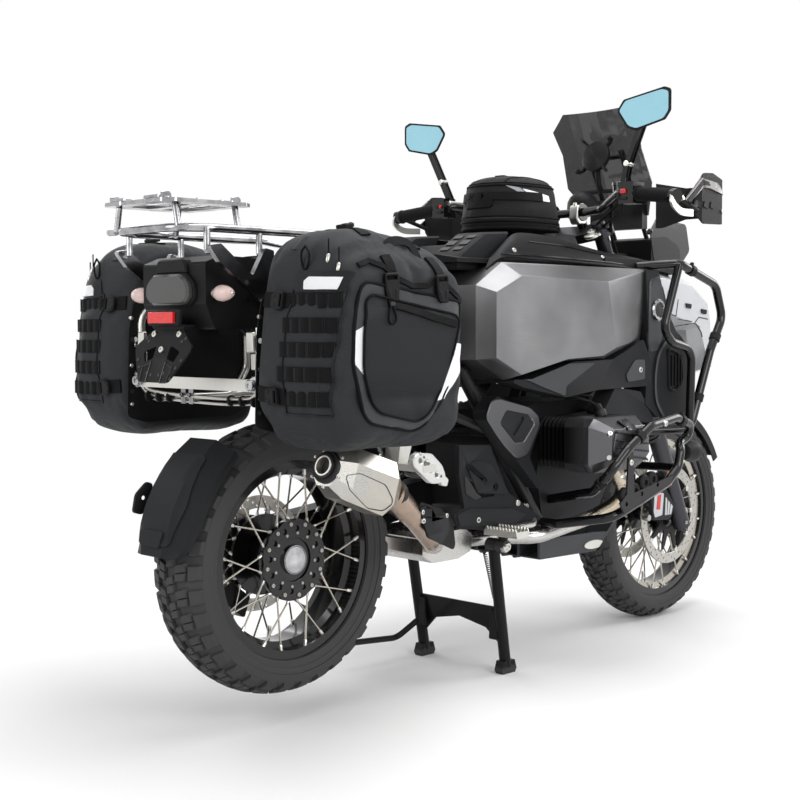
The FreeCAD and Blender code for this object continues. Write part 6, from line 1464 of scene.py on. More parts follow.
@dataclass(frozen=True)
class Stuffing:
    """How a sewn shell fills out: mesh size, pressure, furthest move and spare cloth."""

    cell: float = 0.006
    pressure: float = 4.0
    cap: float = 0.012
    slack: float = 0.03

    def fill(self, piece: bpy.types.Object, held: Callable[[Vector], float]) -> None:
        """Swap a piece's mesh for a relaxed cloth shell.

        Args:
            piece: a closed shell.
            held: how firmly a point is sewn or strapped down, from 0 to 1.
        """
        remesh = piece.modifiers.new("remesh", "REMESH")
        remesh.mode = "VOXEL"
        remesh.voxel_size = self.cell
        self.settle(piece)
        rest = [v.co.copy() for v in piece.data.vertices]
        group = piece.vertex_groups.new(name="held")
        for i, spot in enumerate(rest):
            group.add([i], max(0.0, min(1.0, held(spot))), "REPLACE")
        cloth = piece.modifiers.new("cloth", "CLOTH")
        for key, value in CLOTH.items():
            setattr(cloth.settings, key, value)
        cloth.settings.uniform_pressure_force = self.pressure
        cloth.settings.shrink_min = -self.slack
        cloth.settings.vertex_group_mass = "held"
        cloth.settings.effector_weights.gravity = 0.0
        cloth.point_cache.frame_end = FILL_FRAMES
        for frame_number in range(1, FILL_FRAMES + 1):
            bpy.context.scene.frame_set(frame_number)
        self.settle(piece)
        bpy.context.scene.frame_set(1)
        for vertex, start in zip(piece.data.vertices, rest):
            move = vertex.co - start
            if move.length > self.cap:
                vertex.co = start + move * (self.cap / move.length)
        soften(piece, SMOOTHINGS)
        piece.data.shade_smooth()
        fine = piece.modifiers.new("levels", "SUBSURF")
        fine.levels = fine.render_levels = 1

    @staticmethod
    def settle(piece: bpy.types.Object) -> None:
        """Make what the modifiers give the piece's own mesh.

        Args:
            piece: the piece.
        """
        kept = list(piece.data.materials)
        graph = bpy.context.evaluated_depsgraph_get()
        mesh = bpy.data.meshes.new_from_object(piece.evaluated_get(graph))
        piece.modifiers.clear()
        piece.data = mesh
        if not mesh.materials:
            for material in kept:
                mesh.materials.append(material)


def soften(piece: bpy.types.Object, rounds: int) -> None:
    """Even out a mesh a little, as thick cloth does with its finest creases.

    Args:
        piece: the piece.
        rounds: how often its points are evened out.
    """
    work = bmesh.new()
    work.from_mesh(piece.data)
    for _ in range(rounds):
        bmesh.ops.smooth_vert(
            work, verts=work.verts, factor=0.5, use_axis_x=True, use_axis_y=True, use_axis_z=True
        )
    work.to_mesh(piece.data)
    work.free()


def near(value: float, levels: Iterable[float], reach: float) -> float:
    """1 on any of the levels, falling to 0 at a reach from them."""
    return max(max(0.0, 1.0 - abs(value - level) / reach) for level in levels)


@dataclass
class Panniers(Assembly):
    """Pair of stuffed throw-over bags with pockets, webbing rows, straps and backing plates."""

    span_x: Pair = (-258.0, 146.0)
    span_y: Pair = (232.0, 469.0)
    span_z: Pair = (664.0, 1110.0)
    outline: Tuple[Pair, ...] = (
        (0.08, 0.08), (0.0, 0.2), (0.02, 0.5), (0.06, 0.76), (0.13, 0.93), (0.35, 1.0), (0.65, 0.97),
        (0.93, 0.9), (1.0, 0.76), (1.0, 0.45), (0.98, 0.12), (0.88, 0.0), (0.5, 0.0), (0.16, 0.0)
    )
    stations: Tuple[Triple, ...] = (
        (0.0, 0.92, 0.88), (0.07, 0.985, 0.95), (0.3, 0.99, 0.99), (0.62, 0.99, 1.0), (0.8, 0.98, 0.88),
        (0.92, 0.95, 0.76), (0.975, 0.9, 0.68), (1.0, 0.82, 0.6)
    )
    rows: Tuple[float, ...] = (960.0, 912.0, 863.0, 814.0, 765.0)
    ties: Tuple[float, ...] = (961.0, 768.0)
    rear_patch: Tuple[Pair, ...] = ((376, 1000), (388, 1008), (456, 1006), (450, 982), (376, 984))
    rear_patch_backing: Tuple[Pair, ...] = ((352, 1022), (468, 1018), (464, 976), (344, 980))
    pull_tip: Tuple[Pair, ...] = ((0, 0.002), (0.003, 0.0042), (0.016, 0.0042), (0.019, 0.002))
    latch: Tuple[Pair, ...] = ((-0.013, -0.016), (0.011, -0.018), (0.013, 0.012), (0, 0.02), (-0.012, 0.014))

    def build(self) -> None:
        """Fill the right bag, mirror it, then lay the trim on it."""
        right = self.show("pannier_right_shell", self.shell(), BAG_CLOTH, "bag_fabric", ("pannier_right",))
        Stuffing(0.0068, 5.0, 0.012, 0.035).fill(right, self.held)
        left = self.show(
            "pannier_left_shell",
            Form(
                [v.co.copy() for v in right.data.vertices], [tuple(p.vertices) for p in right.data.polygons]
            ).mirrored(),
            BAG_CLOTH, "bag_fabric", ("pannier_left",), sharp=180
        )
        if "levels" in right.modifiers:
            left.modifiers.new("levels", "SUBSURF").levels = 1
            left.modifiers["levels"].render_levels = 1
        self.skin = Skin(right)
        self.pocket()
        self.webbing()
        self.straps()
        self.lid()
        self.backing()

    def shell(self) -> Form:
        """Sewn shape before it fills out.

        Returns:
            The form.
        """
        rings = []
        middle = sum(self.span_x) / 2
        for share, girth, top in self.stations:
            ring = []
            for u, w in self.outline:
                x = middle + (self.span_x[0] + (self.span_x[1] - self.span_x[0]) * u - middle) * girth
                level = w if w < 0.5 else 0.5 + (w - 0.5) * top
                level = 0.5 + (level - 0.5) * (girth if w < 0.5 else 1.0)
                ring.append(
                    place(
                        x, -(self.span_y[0] + (self.span_y[1] - self.span_y[0]) * share),
                        self.span_z[0] + (self.span_z[1] - self.span_z[0]) * level
                    )
                )
            rings.append(flowing(ring + ring[:1], 4)[:-1])
        return loft(rings)

    def held(self, spot: Vector) -> float:
        """Sewn at the back, along the pocket's edge and under the straps round the body.

        Args:
            spot: a point of the shell.

        Returns:
            How firmly it is held, from 0 to 1.
        """
        x, y, z = spot.x / MM + AXLE_BACK, -spot.y / MM, spot.z / MM
        back = near(y, (232.0,), 26.0)
        band = near(z, self.ties, 16.0) * (1.0 if y < 340 else 0.35)
        seam = near(y, (438.0,), 9.0) * 0.6
        lid = near(x, (-104.0, 46.0), 15.0) * (0.75 if z > 960 else 0.0)
        return max(back, band, seam, lid)

    def face(self, points: Iterable[Pair]) -> List[Vector]:
        """Points beside the outer face, by place along and height."""
        return [place(x, -600, z) for x, z in points]

    def rear(self, points: Iterable[Pair]) -> List[Vector]:
        """Points behind the rear face, by distance from the middle and height."""
        return [place(-420, -y, z) for y, z in points]

    def pocket(self) -> None:
        """Border, moulded pocket with an edge, zip with its puller and reflective corners."""
        skin = self.skin
        rim = [
            (-176, 1000), (-203, 920), (-210, 830), (-168, 716), (-18, 690), (62, 758), (112, 930), (118, 962)
        ]
        inner = [
            (-158, 975), (-172, 950), (-184, 905), (-186, 815), (-146, 736), (-20, 712), (34, 752), (84, 872),
            (100, 930)
        ]
        border = skin.patch(self.face(soft_corners(rim, 22)), LEFT, 0.003)
        self.pair("pannier_borders", border, PIPING, "bag_fabric", levels=1)
        panel = skin.patch(self.face(soft_corners(inner, 24)), LEFT, 0.008)
        self.pair("pannier_pockets", panel, POCKET_CLOTH, "bag_fabric", bevel=0.002)
        edge = Form()
        for line, size, lift in ((rim, 0.0035, 0.002), (inner, 0.003, 0.008)):
            ring = soft_corners(line, 24)
            edge.add(tube([skin.hit(p, LEFT, lift)[0] for p in self.face(ring)], size, 8, True))
        zip_line = [(-112, 952), (-40, 938), (84, 914)]
        edge.add(skin.strap(self.face(zip_line), LEFT, 0.016, 0.0098))
        teeth = Form()
        for k in range(60):
            t = k / 59
            at, out = skin.hit(place(-108 + 190 * t, -600, 951 - 36 * t), LEFT, 0.0108)
            run = Vector((1, 0, -0.19)).normalized()
            side = out.cross(run) * 0.0028
            teeth.add(slab(patch_of(at, side, run * 0.0009), out * 0.0014))
        start, out = skin.hit(place(-104, -600, 950), LEFT, 0.011)
        loop = [
            start, start + Vector((-0.012, -0.006, -0.016)), start + Vector((-0.014, -0.008, -0.034)),
            start + Vector((-0.004, -0.009, -0.04)), start + Vector((0.006, -0.008, -0.03)),
            start + Vector((0.004, -0.005, -0.012))
        ]
        edge.add(tube(flowing(loop + loop[:1])[:-1], 0.0022, 8, True))
        tag = soft_corners(box(0.007, 0.004), 0.003)
        teeth.add(loft([[start + out * h + Vector((u, 0, w)) for u, w in tag] for h in (0, 0.005)]))
        self.pair("pannier_piping", edge, WEBBING, "bag_fabric")
        self.pair("pannier_zip_teeth", teeth, CAST_BLACK, "cowl_black")
        shine = Form()
        for outline in ([(-203, 900), (-166, 918), (-178, 868), (-181, 812), (-207, 836)],
                        [(92, 874), (108, 872), (104, 812), (62, 756), (36, 752), (60, 806)]):
            shine.add(skin.patch(self.face(soft_corners(outline, 3)), LEFT, 0.0042, 0.01))
        self.pair("pannier_reflectors", shine, REFLECTIVE, "beak_silver")

    def webbing(self) -> None:
        """Rows of stitched loops on the rear face, with a reflective patch above them."""
        rows, stitches = Form(), Form()
        for z in self.rows:
            lean = (960 - z) * 0.08
            low, high = 330 - lean, 462 - lean * 0.4
            bars = 5
            for k in range(bars):
                a, b = low + (high - low) * k / bars, low + (high - low) * (k + 1) / bars
                line = [
                    self.skin.hit(
                        place(-420, -(a + (b - a) * t / 6), z), AHEAD,
                        0.0012 + 0.0042 * math.sin(math.pi * t / 6)
                    )
                    for t in range(7)
                ]
                rings = []
                for at, out in line:
                    rings.append(
                        [
                            at + UP * 0.015, at - UP * 0.015, at - UP * 0.015 - out * 0.0016,
                            at + UP * 0.015 - out * 0.0016
                        ]
                    )
                rows.add(loft(rings))
                for side in (a + 1.5, b - 1.5):
                    at, out = self.skin.hit(place(-420, -side, z), AHEAD, 0.0016)
                    wide = Vector((0, 0.0012, 0))
                    stitches.add(slab(patch_of(at, UP * -0.0135, wide), out * 0.0009))
        self.pair("pannier_webbing_rows", rows, WEBBING, "bag_fabric")
        self.pair("pannier_stitches", stitches, POCKET_CLOTH, "bag_fabric")
        back = self.skin.patch(self.rear(soft_corners(self.rear_patch_backing, 8)), AHEAD, 0.003)
        lines = Form()
        for line in (
            [(338, 985), (330, 730)], [(466, 985), (452, 735)], [(338, 985), (466, 985)],
            [(330, 732), (452, 732)]
        ):
            lines.add(self.skin.strap(self.rear(line), AHEAD, 0.005, 0.0022))
        self.pair("pannier_rear_panels", back.add(lines), POCKET_CLOTH, "bag_fabric")
        shine = self.skin.patch(self.rear(self.rear_patch), AHEAD, 0.0048)
        self.pair("pannier_rear_patches", shine, REFLECTIVE, "beak_silver")

    def buckle(
        self, at: Vector, along: Vector, out: Vector, width: float = 0.034, long: float = 0.05
    ) -> Form:
        """Side-release buckle lying on a strap.

        Args:
            at: its middle on the strap.
            along: the strap's direction.
            out: direction off the strap.
            width: its width in metres.
            long: its length in metres.

        Returns:
            The form.
        """
        spot = spot_of(at + out * 0.006, along, out)
        half, wide = long / 2, width / 2
        body = soft_corners(
            [
                (-half, -wide), (half * 0.3, -wide), (half, -wide * 0.72), (half, wide * 0.72),
                (half * 0.3, wide), (-half, wide)
            ],
            0.006
        )
        holes = [
            soft_corners(
                [
                    (-half * 0.8, -wide * 0.7), (-half * 0.5, -wide * 0.7), (-half * 0.5, wide * 0.7),
                    (-half * 0.8, wide * 0.7)
                ],
                0.001
            )
        ]
        form = plate(body, 0.009, spot, holes, 0.0016)
        for way in (1, -1):
            prong = [
                (half * 0.2, way * wide * 0.35), (half * 0.2, way * wide * 0.8),
                (half * 0.85, way * wide * 0.5), (half * 0.85, way * wide * 0.3)
            ]
            form.add(plate(prong, 0.012, spot, chamfer=0.001))
        return form

    def straps(self) -> None:
        """Straps round the body, with ladder locks and pulls."""
        straps, locks, pulls = Form(), Form(), Form()
        for z in self.ties:
            straps.add(self.skin.strap(self.rear([(250, z + 4), (336, z)]), AHEAD, 0.032, 0.0035))
            straps.add(
                self.skin.strap([place(300, -250, z + 4), place(300, -440, z - 2)], -AHEAD, 0.032, 0.0035)
            )
            at, out = self.skin.hit(place(-420, -300, z), AHEAD, 0.003)
            locks.add(self.buckle(at, LEFT, out, 0.036, 0.036))
            at, out = self.skin.hit(place(300, -330, z), -AHEAD, 0.003)
            locks.add(self.buckle(at, LEFT, out, 0.036, 0.042))
        for y, z in ((417, 1052), (440, 1034)):
            at, out = self.skin.hit(place(-420, -y, z), AHEAD, 0.004)
            pulls.add(turned(at, at + Vector((-0.3, -0.1, -1)), self.pull_tip, 10))
            straps.add(tube([at + UP * 0.03, at], 0.0016, 8))
        at, out = self.skin.hit(place(-420, -372, 1046), AHEAD, 0.004)
        ring = [(0, 0.022), (0.012, 0.008), (0.008, -0.02), (-0.004, -0.022), (-0.012, 0.004)]
        straps.add(
            tube(
                flowing([at + out * 0.004 + LEFT * u + UP * w for u, w in ring + ring[:1]])[:-1], 0.0024, 8,
                True
            )
        )
        self.pair("pannier_straps", straps, WEBBING, "bag_fabric")
        self.pair("pannier_locks", locks, MOULDED_BLACK, "cowl_black")
        self.pair("pannier_pulls", pulls, STEEL, "disc_steel")

    def lid(self) -> None:
        """Rolled top with its end folds, edge flap, closing straps and buckles."""
        skin = self.skin
        roll = []
        for k in range(15):
            t = k / 14
            at, out = skin.hit(place(-214 + 330 * t, -(318 + 18 * math.sin(math.pi * t)), 1300), -UP, 0.0)
            sag = 0.0016 * math.sin(t * 23) + 0.001 * math.sin(t * 41)
            roll.append(at - UP * (0.010 - sag))

        def creased(share: float) -> List[Pair]:
            """Round section that swells and shrinks along the roll."""
            wide, high = 1.5 + 0.18 * math.sin(share * 17), 0.86 + 0.1 * math.sin(share * 29)
            return [(u * wide, w * high) for u, w in circle(0.0105, 14)]

        self.pair("pannier_rolls", along_path(roll, creased, UP), BAG_CLOTH, "bag_fabric", sharp=60)
        flap = [
            (-178, 1030), (-146, 1040), (-112, 1030), (-76, 1006), (-30, 992), (16, 994), (48, 1010),
            (92, 984), (124, 962)
        ]
        edging = skin.strap(self.face(flap), LEFT, 0.012, 0.004)
        closing, locks = Form(), Form()
        for x in (-104.0, 46.0):
            closing.add(skin.strap([place(x, -296, 1300), place(x + 6, -404, 1300)], -UP, 0.026, 0.0035))
            closing.add(
                skin.strap(self.face([(x + 8, 1052), (x + 14, 1004), (x + 18, 958)]), LEFT, 0.026, 0.0045)
            )
            at, out = skin.hit(place(x + 8, -600, 1022), Vector((0, 1, -0.25)), 0.003)
            locks.add(self.buckle(at, Vector((0.1, 0.2, -1)), out, 0.034, 0.056))
            top, _ = skin.hit(place(x + 8, -344, 1300), -UP)
            ladder, out = skin.hit(top + UP * 0.2, -UP, 0.003)
            locks.add(self.buckle(ladder, Vector((0, -1, -0.2)), out, 0.034, 0.03))
        handle = [(-66, 1046), (-58, 1086), (-24, 1100), (14, 1092), (24, 1050)]
        closing.add(
            along_path(
                flowing([place(x, -(446 - (z - 1046) * 0.5), z - 12) for x, z in handle]),
                strip(0.011, 0.0015), Vector((0, -1, 0.6))
            )
        )
        self.pair("pannier_closing_straps", closing.add(edging), WEBBING, "bag_fabric")
        self.pair("pannier_buckles", locks, MOULDED_BLACK, "cowl_black")

    def backing(self) -> None:
        """Notched plate between bag and carrier, its screws, and the carrier's latches."""
        outline = [
            (-252, 700), (-246, 900), (-232, 968), (-208, 976), (-200, 1004), (-150, 1016), (60, 1016),
            (120, 990), (134, 900), (130, 720), (60, 690), (-200, 686)
        ]
        spot = spot_of(place(0, -230.2, 0), AHEAD, -LEFT)
        shape = soft_corners([(x * MM, z * MM) for x, z in outline], 0.012)
        holes = [ring_of((x * MM, z * MM), 0.006) for x, z in ((-236, 880), (-238, 760), (120, 880))]
        board = plate(shape, 0.002, spot, holes, 0.0004)
        screws, latches = Form(), Form()
        for x, z in (
            (-238, 930), (-240, 820), (-240, 730), (-180, 1004), (-60, 1006), (60, 1004), (118, 940),
            (120, 780)
        ):
            screws.add(bolt(place(x, -230, z), LEFT, 0.005, 0.004))
        for z in (874.0, 806.0):
            spot = spot_of(place(-228, -222, z), LEFT, -AHEAD)
            latches.add(
                plate(soft_corners(self.latch, 0.004), 0.007, spot, [ring_of((0, 0.004), 0.004, 12)], 0.001)
            )
            latches.add(bolt(place(-232, -222, z - 8), -AHEAD, 0.0045, 0.005))
        self.pair("pannier_backing", board, MOULDED_BLACK, "cowl_black")
        self.pair("pannier_backing_screws", screws, STEEL, "disc_steel")
        self.pair("pannier_latches", latches, POLISHED, "disc_steel")


# Body

class View(Enum):
    """Side from which a flat piece is drawn, with the outline's two directions in it."""

    RIGHT = "right"
    REAR = "rear"
    TOP = "top"

    def spot(self, level: float) -> Matrix:
        """Plane at a level in millimetres: distance to the right, place along, or height.

        Args:
            level: the level.

        Returns:
            The plane's matrix.
        """
        if self is View.RIGHT:
            return spot_of(place(0, -level, 0), AHEAD, -LEFT)
        if self is View.REAR:
            return spot_of(place(level, 0, 0), -LEFT, -AHEAD)
        return spot_of(place(0, 0, level), AHEAD, UP)


def flat(
    view: View, level: float, outline: Sequence[Pair], thick: float, corner: float = 3.0,
    chamfer: float = 0.8, holes: Sequence[Sequence[Pair]] = ()
) -> Form:
    """Flat piece drawn in millimetres in one of the main views.

    Args:
        view: the view; RIGHT takes (x, z), REAR takes (-y, z), TOP takes (x, y).
        level: where the piece's middle lies.
        outline: its edge.
        thick: its thickness.
        corner: reach of the rounded corners.
        chamfer: width of the edge's chamfer.
        holes: outlines of the holes.

    Returns:
        The form.
    """
    edge = soft_corners([(u * MM, v * MM) for u, v in outline], corner * MM)
    cuts = [[(u * MM, v * MM) for u, v in hole] for hole in holes]
    return plate(edge, thick * MM, view.spot(level), cuts, chamfer * MM)


def ruled(
    low: Sequence[Vector], high: Sequence[Vector], thick: float, crown: float = 0.0, steps: int = 4
) -> Form:
    """Sheet between two edges of as many points, bulged outward between them.

    Args:
        low: the lower edge.
        high: the upper edge.
        thick: thickness in metres.
        crown: how far the middle bulges.
        steps: stretches from edge to edge.

    Returns:
        The form.
    """
    rings = []
    centre = sum(low + high, Vector()) / (2 * len(low))
    for i, (a, b) in enumerate(zip(low, high)):
        before, after = max(i - 1, 0), min(i + 1, len(low) - 1)
        normal = (low[after] - low[before]).cross(b - a).normalized()
        if normal.dot(a.lerp(b, 0.5) - Vector((centre.x, 0, centre.z))) < 0:
            normal = -normal
        outer = [
            a.lerp(b, k / steps) + normal * (crown * math.sin(math.pi * k / steps)) for k in range(steps + 1)
        ]
        rings.append(outer + [p - normal * thick for p in reversed(outer)])
    return loft(rings)


def of_node(name: str) -> Skin:
    """Surface of a CAD node."""
    return Skin(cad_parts[name])


def beside(outline: Sequence[Pair], corner: float, far: float = 640.0) -> List[Vector]:
    """Points right of the machine, for an outline in (x, z) in millimetres, corners rounded."""
    return [place(x, -far, z) for x, z in soft_corners(outline, corner)]


def heads(skin: Skin, spots: Iterable[Pair], radius: float = 6.0, high: float = 3.5, sides: int = 24) -> Form:
    """Screw heads on a right-hand surface at (x, z) spots in millimetres.

    Args:
        skin: the surface.
        spots: the places.
        radius: radius in millimetres.
        high: height in millimetres.
        sides: points round each head.

    Returns:
        The form.
    """
    form = Form()
    for x, z in spots:
        at, out = skin.hit(place(x, -640, z), LEFT)
        form.add(bolt(at, out, radius * MM, high * MM, sides))
    return form


@dataclass
class TankTrim(Assembly):
    """Cheek panels, rear console, fairing panels, duct rims and filler ring round the tank."""

    cheek_rib: Tuple[Triple, ...] = ((690, -400, 1126), (830, -400, 1122), (1010, -400, 1104))
    cheek_edge: Tuple[Triple, ...] = (
        (560, -400, 1090), (780, -400, 1088), (1000, -400, 1083), (1240, -400, 1076)
    )
    console_floor: Tuple[Pair, ...] = ((470, 1052), (560, 1120), (660, 1128), (600, 1052))
    filler_ring: Tuple[Pair, ...] = (
        (-0.004, 0.0), (-0.004, 0.03), (0.004, 0.031), (0.007, 0.028), (0.007, 0.022), (0.002, 0.02),
        (0.002, 0.0)
    )
    filler_cap: Tuple[Pair, ...] = ((0, 0.0), (0, 0.0195), (0.0035, 0.018), (0.0045, 0.0))
    duct_field: Tuple[Pair, ...] = ((1200, 1030), (1290, 980), (1330, 880), (1260, 868), (1226, 900))

    def build(self) -> None:
        """Make the pieces."""
        self.cheeks()
        self.console()
        self.fairings()
        self.ducts()

    def cheeks(self) -> None:
        """Tall black side strip above the tank panel, with its screws."""
        low = [
            (500, 214, 1052), (560, 221, 1082), (680, 222, 1081), (780, 222, 1080), (980, 221, 1075),
            (1130, 214, 1071), (1268, 202, 1068)
        ]
        high = [
            (566, 188, 1096), (642, 174, 1140), (700, 170, 1151), (830, 168, 1145), (1040, 168, 1117),
            (1180, 170, 1106), (1300, 172, 1094)
        ]
        form = ruled(
            flowing(places((x, -y, z) for x, y, z in low)), flowing(places((x, -y, z) for x, y, z in high)),
            0.004, 0.006
        )
        piece = self.pair("tank_cheeks", form, MOULDED_BLACK, "cowl_black", sharp=50)
        skin = Skin(piece)
        self.pair(
            "tank_cheek_screws", heads(skin, [(609, 1100), (1001, 1096)], 6.5, 4), SATIN_SILVER, "peg_silver"
        )
        rib = skin.strap(places(self.cheek_rib), LEFT, 0.003, 0.0016)
        edge = skin.strap(places(self.cheek_edge), LEFT, 0.004, 0.0018)
        self.pair("tank_cheek_ribs", rib.add(edge), GLOSS_BLACK, "cowl_black")

    def console(self) -> None:
        """Moulded piece between tank and seat, with recessed keys."""
        side = [(453, 1050), (447, 1078), (466, 1094), (550, 1146), (650, 1152), (610, 1084), (541, 1048)]
        form = flat(View.RIGHT, 120, side, 96, 8, 5).add(flat(View.RIGHT, 0, self.console_floor, 160, 8, 4))
        self.pair("tank_console", form, MOULDED, "cowl_black")
        keys = Form()
        slope = math.atan2(1146 - 1094, 550 - 466)
        for y in (98, 142):
            for k, long in enumerate((16, 22, 16)):
                along = 14 + 30 * k
                at = place(466 + math.cos(slope) * along, -y, 1094 + math.sin(slope) * along + 1.2)
                out = Vector((-math.sin(slope), 0, math.cos(slope)))
                half, wide = long / 2 * MM, 0.014
                keys.add(
                    plate(soft_corners(box(half, wide), 0.004), 0.004, spot_of(at, AHEAD, out), chamfer=0.001)
                )
        self.pair("tank_console_keys", keys, GLOSS_BLACK, "cowl_black")

    def fairings(self) -> None:
        """Raised fields of the lower fairing and its screw."""
        skin = of_node("side_fairings")
        rear = [(896, 812), (768, 754), (764, 728), (672, 754), (590, 780), (668, 794), (772, 812)]
        front = [(1036, 776), (1078, 816), (1124, 816), (1126, 762), (1044, 756)]
        form = Form()
        for outline in (rear, front):
            form.add(skin.patch(beside(outline, 8), LEFT, 0.003, 0.03))
        self.pair("fairing_fields", form, PANEL_GREY, "cowl_grey", bevel=0.0012)
        self.pair("fairing_screws", heads(skin, [(1104, 788)], 8, 5), SATIN_SILVER, "peg_silver")
        front_cheek = [
            (1156, 1040), (1206, 1050), (1224, 1000), (1222, 880), (1196, 838), (1160, 834), (1152, 860)
        ]
        form = flat(View.RIGHT, 250, front_cheek, 14, 12, 4)
        self.pair("tank_front_cheeks", form, PANEL_GREY, "cowl_grey")
        ring, dark = Form(), Form()
        centre = place(1190, -258, 954)
        ring.add(turned(centre, centre - LEFT, self.filler_ring, 40))
        dark.add(turned(centre - LEFT * 0.001, centre - LEFT, self.filler_cap, 32))
        self.pair("filler_rings", ring, POLISHED, "peg_silver")
        self.pair("filler_caps", dark, GLOSS_BLACK, "cowl_black")

    def ducts(self) -> None:
        """Pale rim behind the radiator duct, its frame and the grille in it."""
        skin = of_node("side_fairings")
        line = [
            skin.hit(place(x, -640, z), LEFT, 0.002)[0]
            for x, z in ((1236, 866), (1200, 828), (1184, 768), (1190, 700), (1226, 652))
        ]
        rims = along_path(flowing(line), strip(0.003, 0.005, 0.0045, 0.004), -LEFT)
        self.pair("duct_rims", rims, PANEL_GREY, "cowl_grey")
        shape = [(1252, 846), (1300, 832), (1322, 800), (1326, 752), (1290, 722), (1256, 730)]
        grille = Form()
        ring = [skin.hit(place(x, -640, z), LEFT, 0.002)[0] for x, z in soft_corners(shape, 10)]
        grille.add(tube(ring, 0.004, 8, True))
        for x in (1268, 1284, 1300, 1314):
            grille.add(skin.strap([place(x, -640, 738), place(x, -640, 826)], LEFT, 0.004, 0.005))
        self.pair("duct_frames", grille, MOULDED_BLACK, "cowl_black")
        fields = skin.patch(beside(self.duct_field, 8), LEFT, 0.003, 0.03)
        self.pair("duct_fields", fields, MOULDED, "cowl_black", bevel=0.001)


@dataclass
class SoftSeats(Assembly):
    """Rider's and pillion's cushions, with piping and a cross strap."""

    rider: Tuple[Pair, ...] = (
        (66, 902), (76, 968), (140, 948), (286, 936), (430, 996), (432, 874), (324, 860), (104, 874)
    )
    pillion: Tuple[Pair, ...] = (
        (-166, 988), (-160, 1046), (-36, 1062), (80, 1056), (92, 1008), (78, 960), (-142, 956)
    )

    def build(self) -> None:
        """Make both cushions and their trim."""
        self.cushion("rider_seat", self.rider, 148.0)
        skin = Skin(self.cushion("pillion_seat", self.pillion, 125.0))
        strap = skin.strap(places([(-40, y, 1200) for y in range(-112, 113, 14)]), -UP, 0.03, 0.003)
        self.show("pillion_strap", strap, WEBBING, "seat_cover")

    def cushion(self, node: str, profile: Sequence[Pair], half: float) -> bpy.types.Object:
        """One crowned cushion with its piping.

        Args:
            node: the CAD node it replaces.
            profile: side outline in (x, z), in millimetres.
            half: half its width in millimetres.

        Returns:
            The cushion.
        """
        rings = []
        low = min(z for _, z in profile)
        middle = sum(x for x, _ in profile) / len(profile)
        for share, girth, high in (
            (-1, 0.9, 0.8), (-0.94, 0.97, 0.92), (-0.7, 1, 0.98), (-0.3, 1, 1.0), (0.3, 1, 1.0),
            (0.7, 1, 0.98), (0.94, 0.97, 0.92), (1, 0.9, 0.8)
        ):
            ring = [
                place(middle + (x - middle) * girth, half * share, low + (z - low) * high) for x, z in profile
            ]
            rings.append(rounded(ring, 0.016, True, 3))
        piece = self.show(node + "_cushion", loft(rings), VINYL, "seat_cover", (node,))
        foot = (low + 20) * MM
        Stuffing(0.0058, 3.0, 0.016, 0.01).fill(
            piece, lambda p: max(near(p.z, (foot,), 0.03), near(abs(p.y) / MM, (half * 0.94,), 7) * 0.7)
        )
        skin = Skin(piece)
        piping = Form()
        for way in (1, -1):
            xs = [middle + (x - middle) * 0.9 for x, _ in profile]
            line = [
                skin.hit(place(x, way * half * 0.9, 1300), -UP, 0.001)[0]
                for x in range(int(min(xs)) + 6, int(max(xs)) - 4, 14)
            ]
            piping.add(tube(line, 0.0022, 8))
        self.show(node + "_piping", piping, WEBBING, "seat_cover")
        return piece


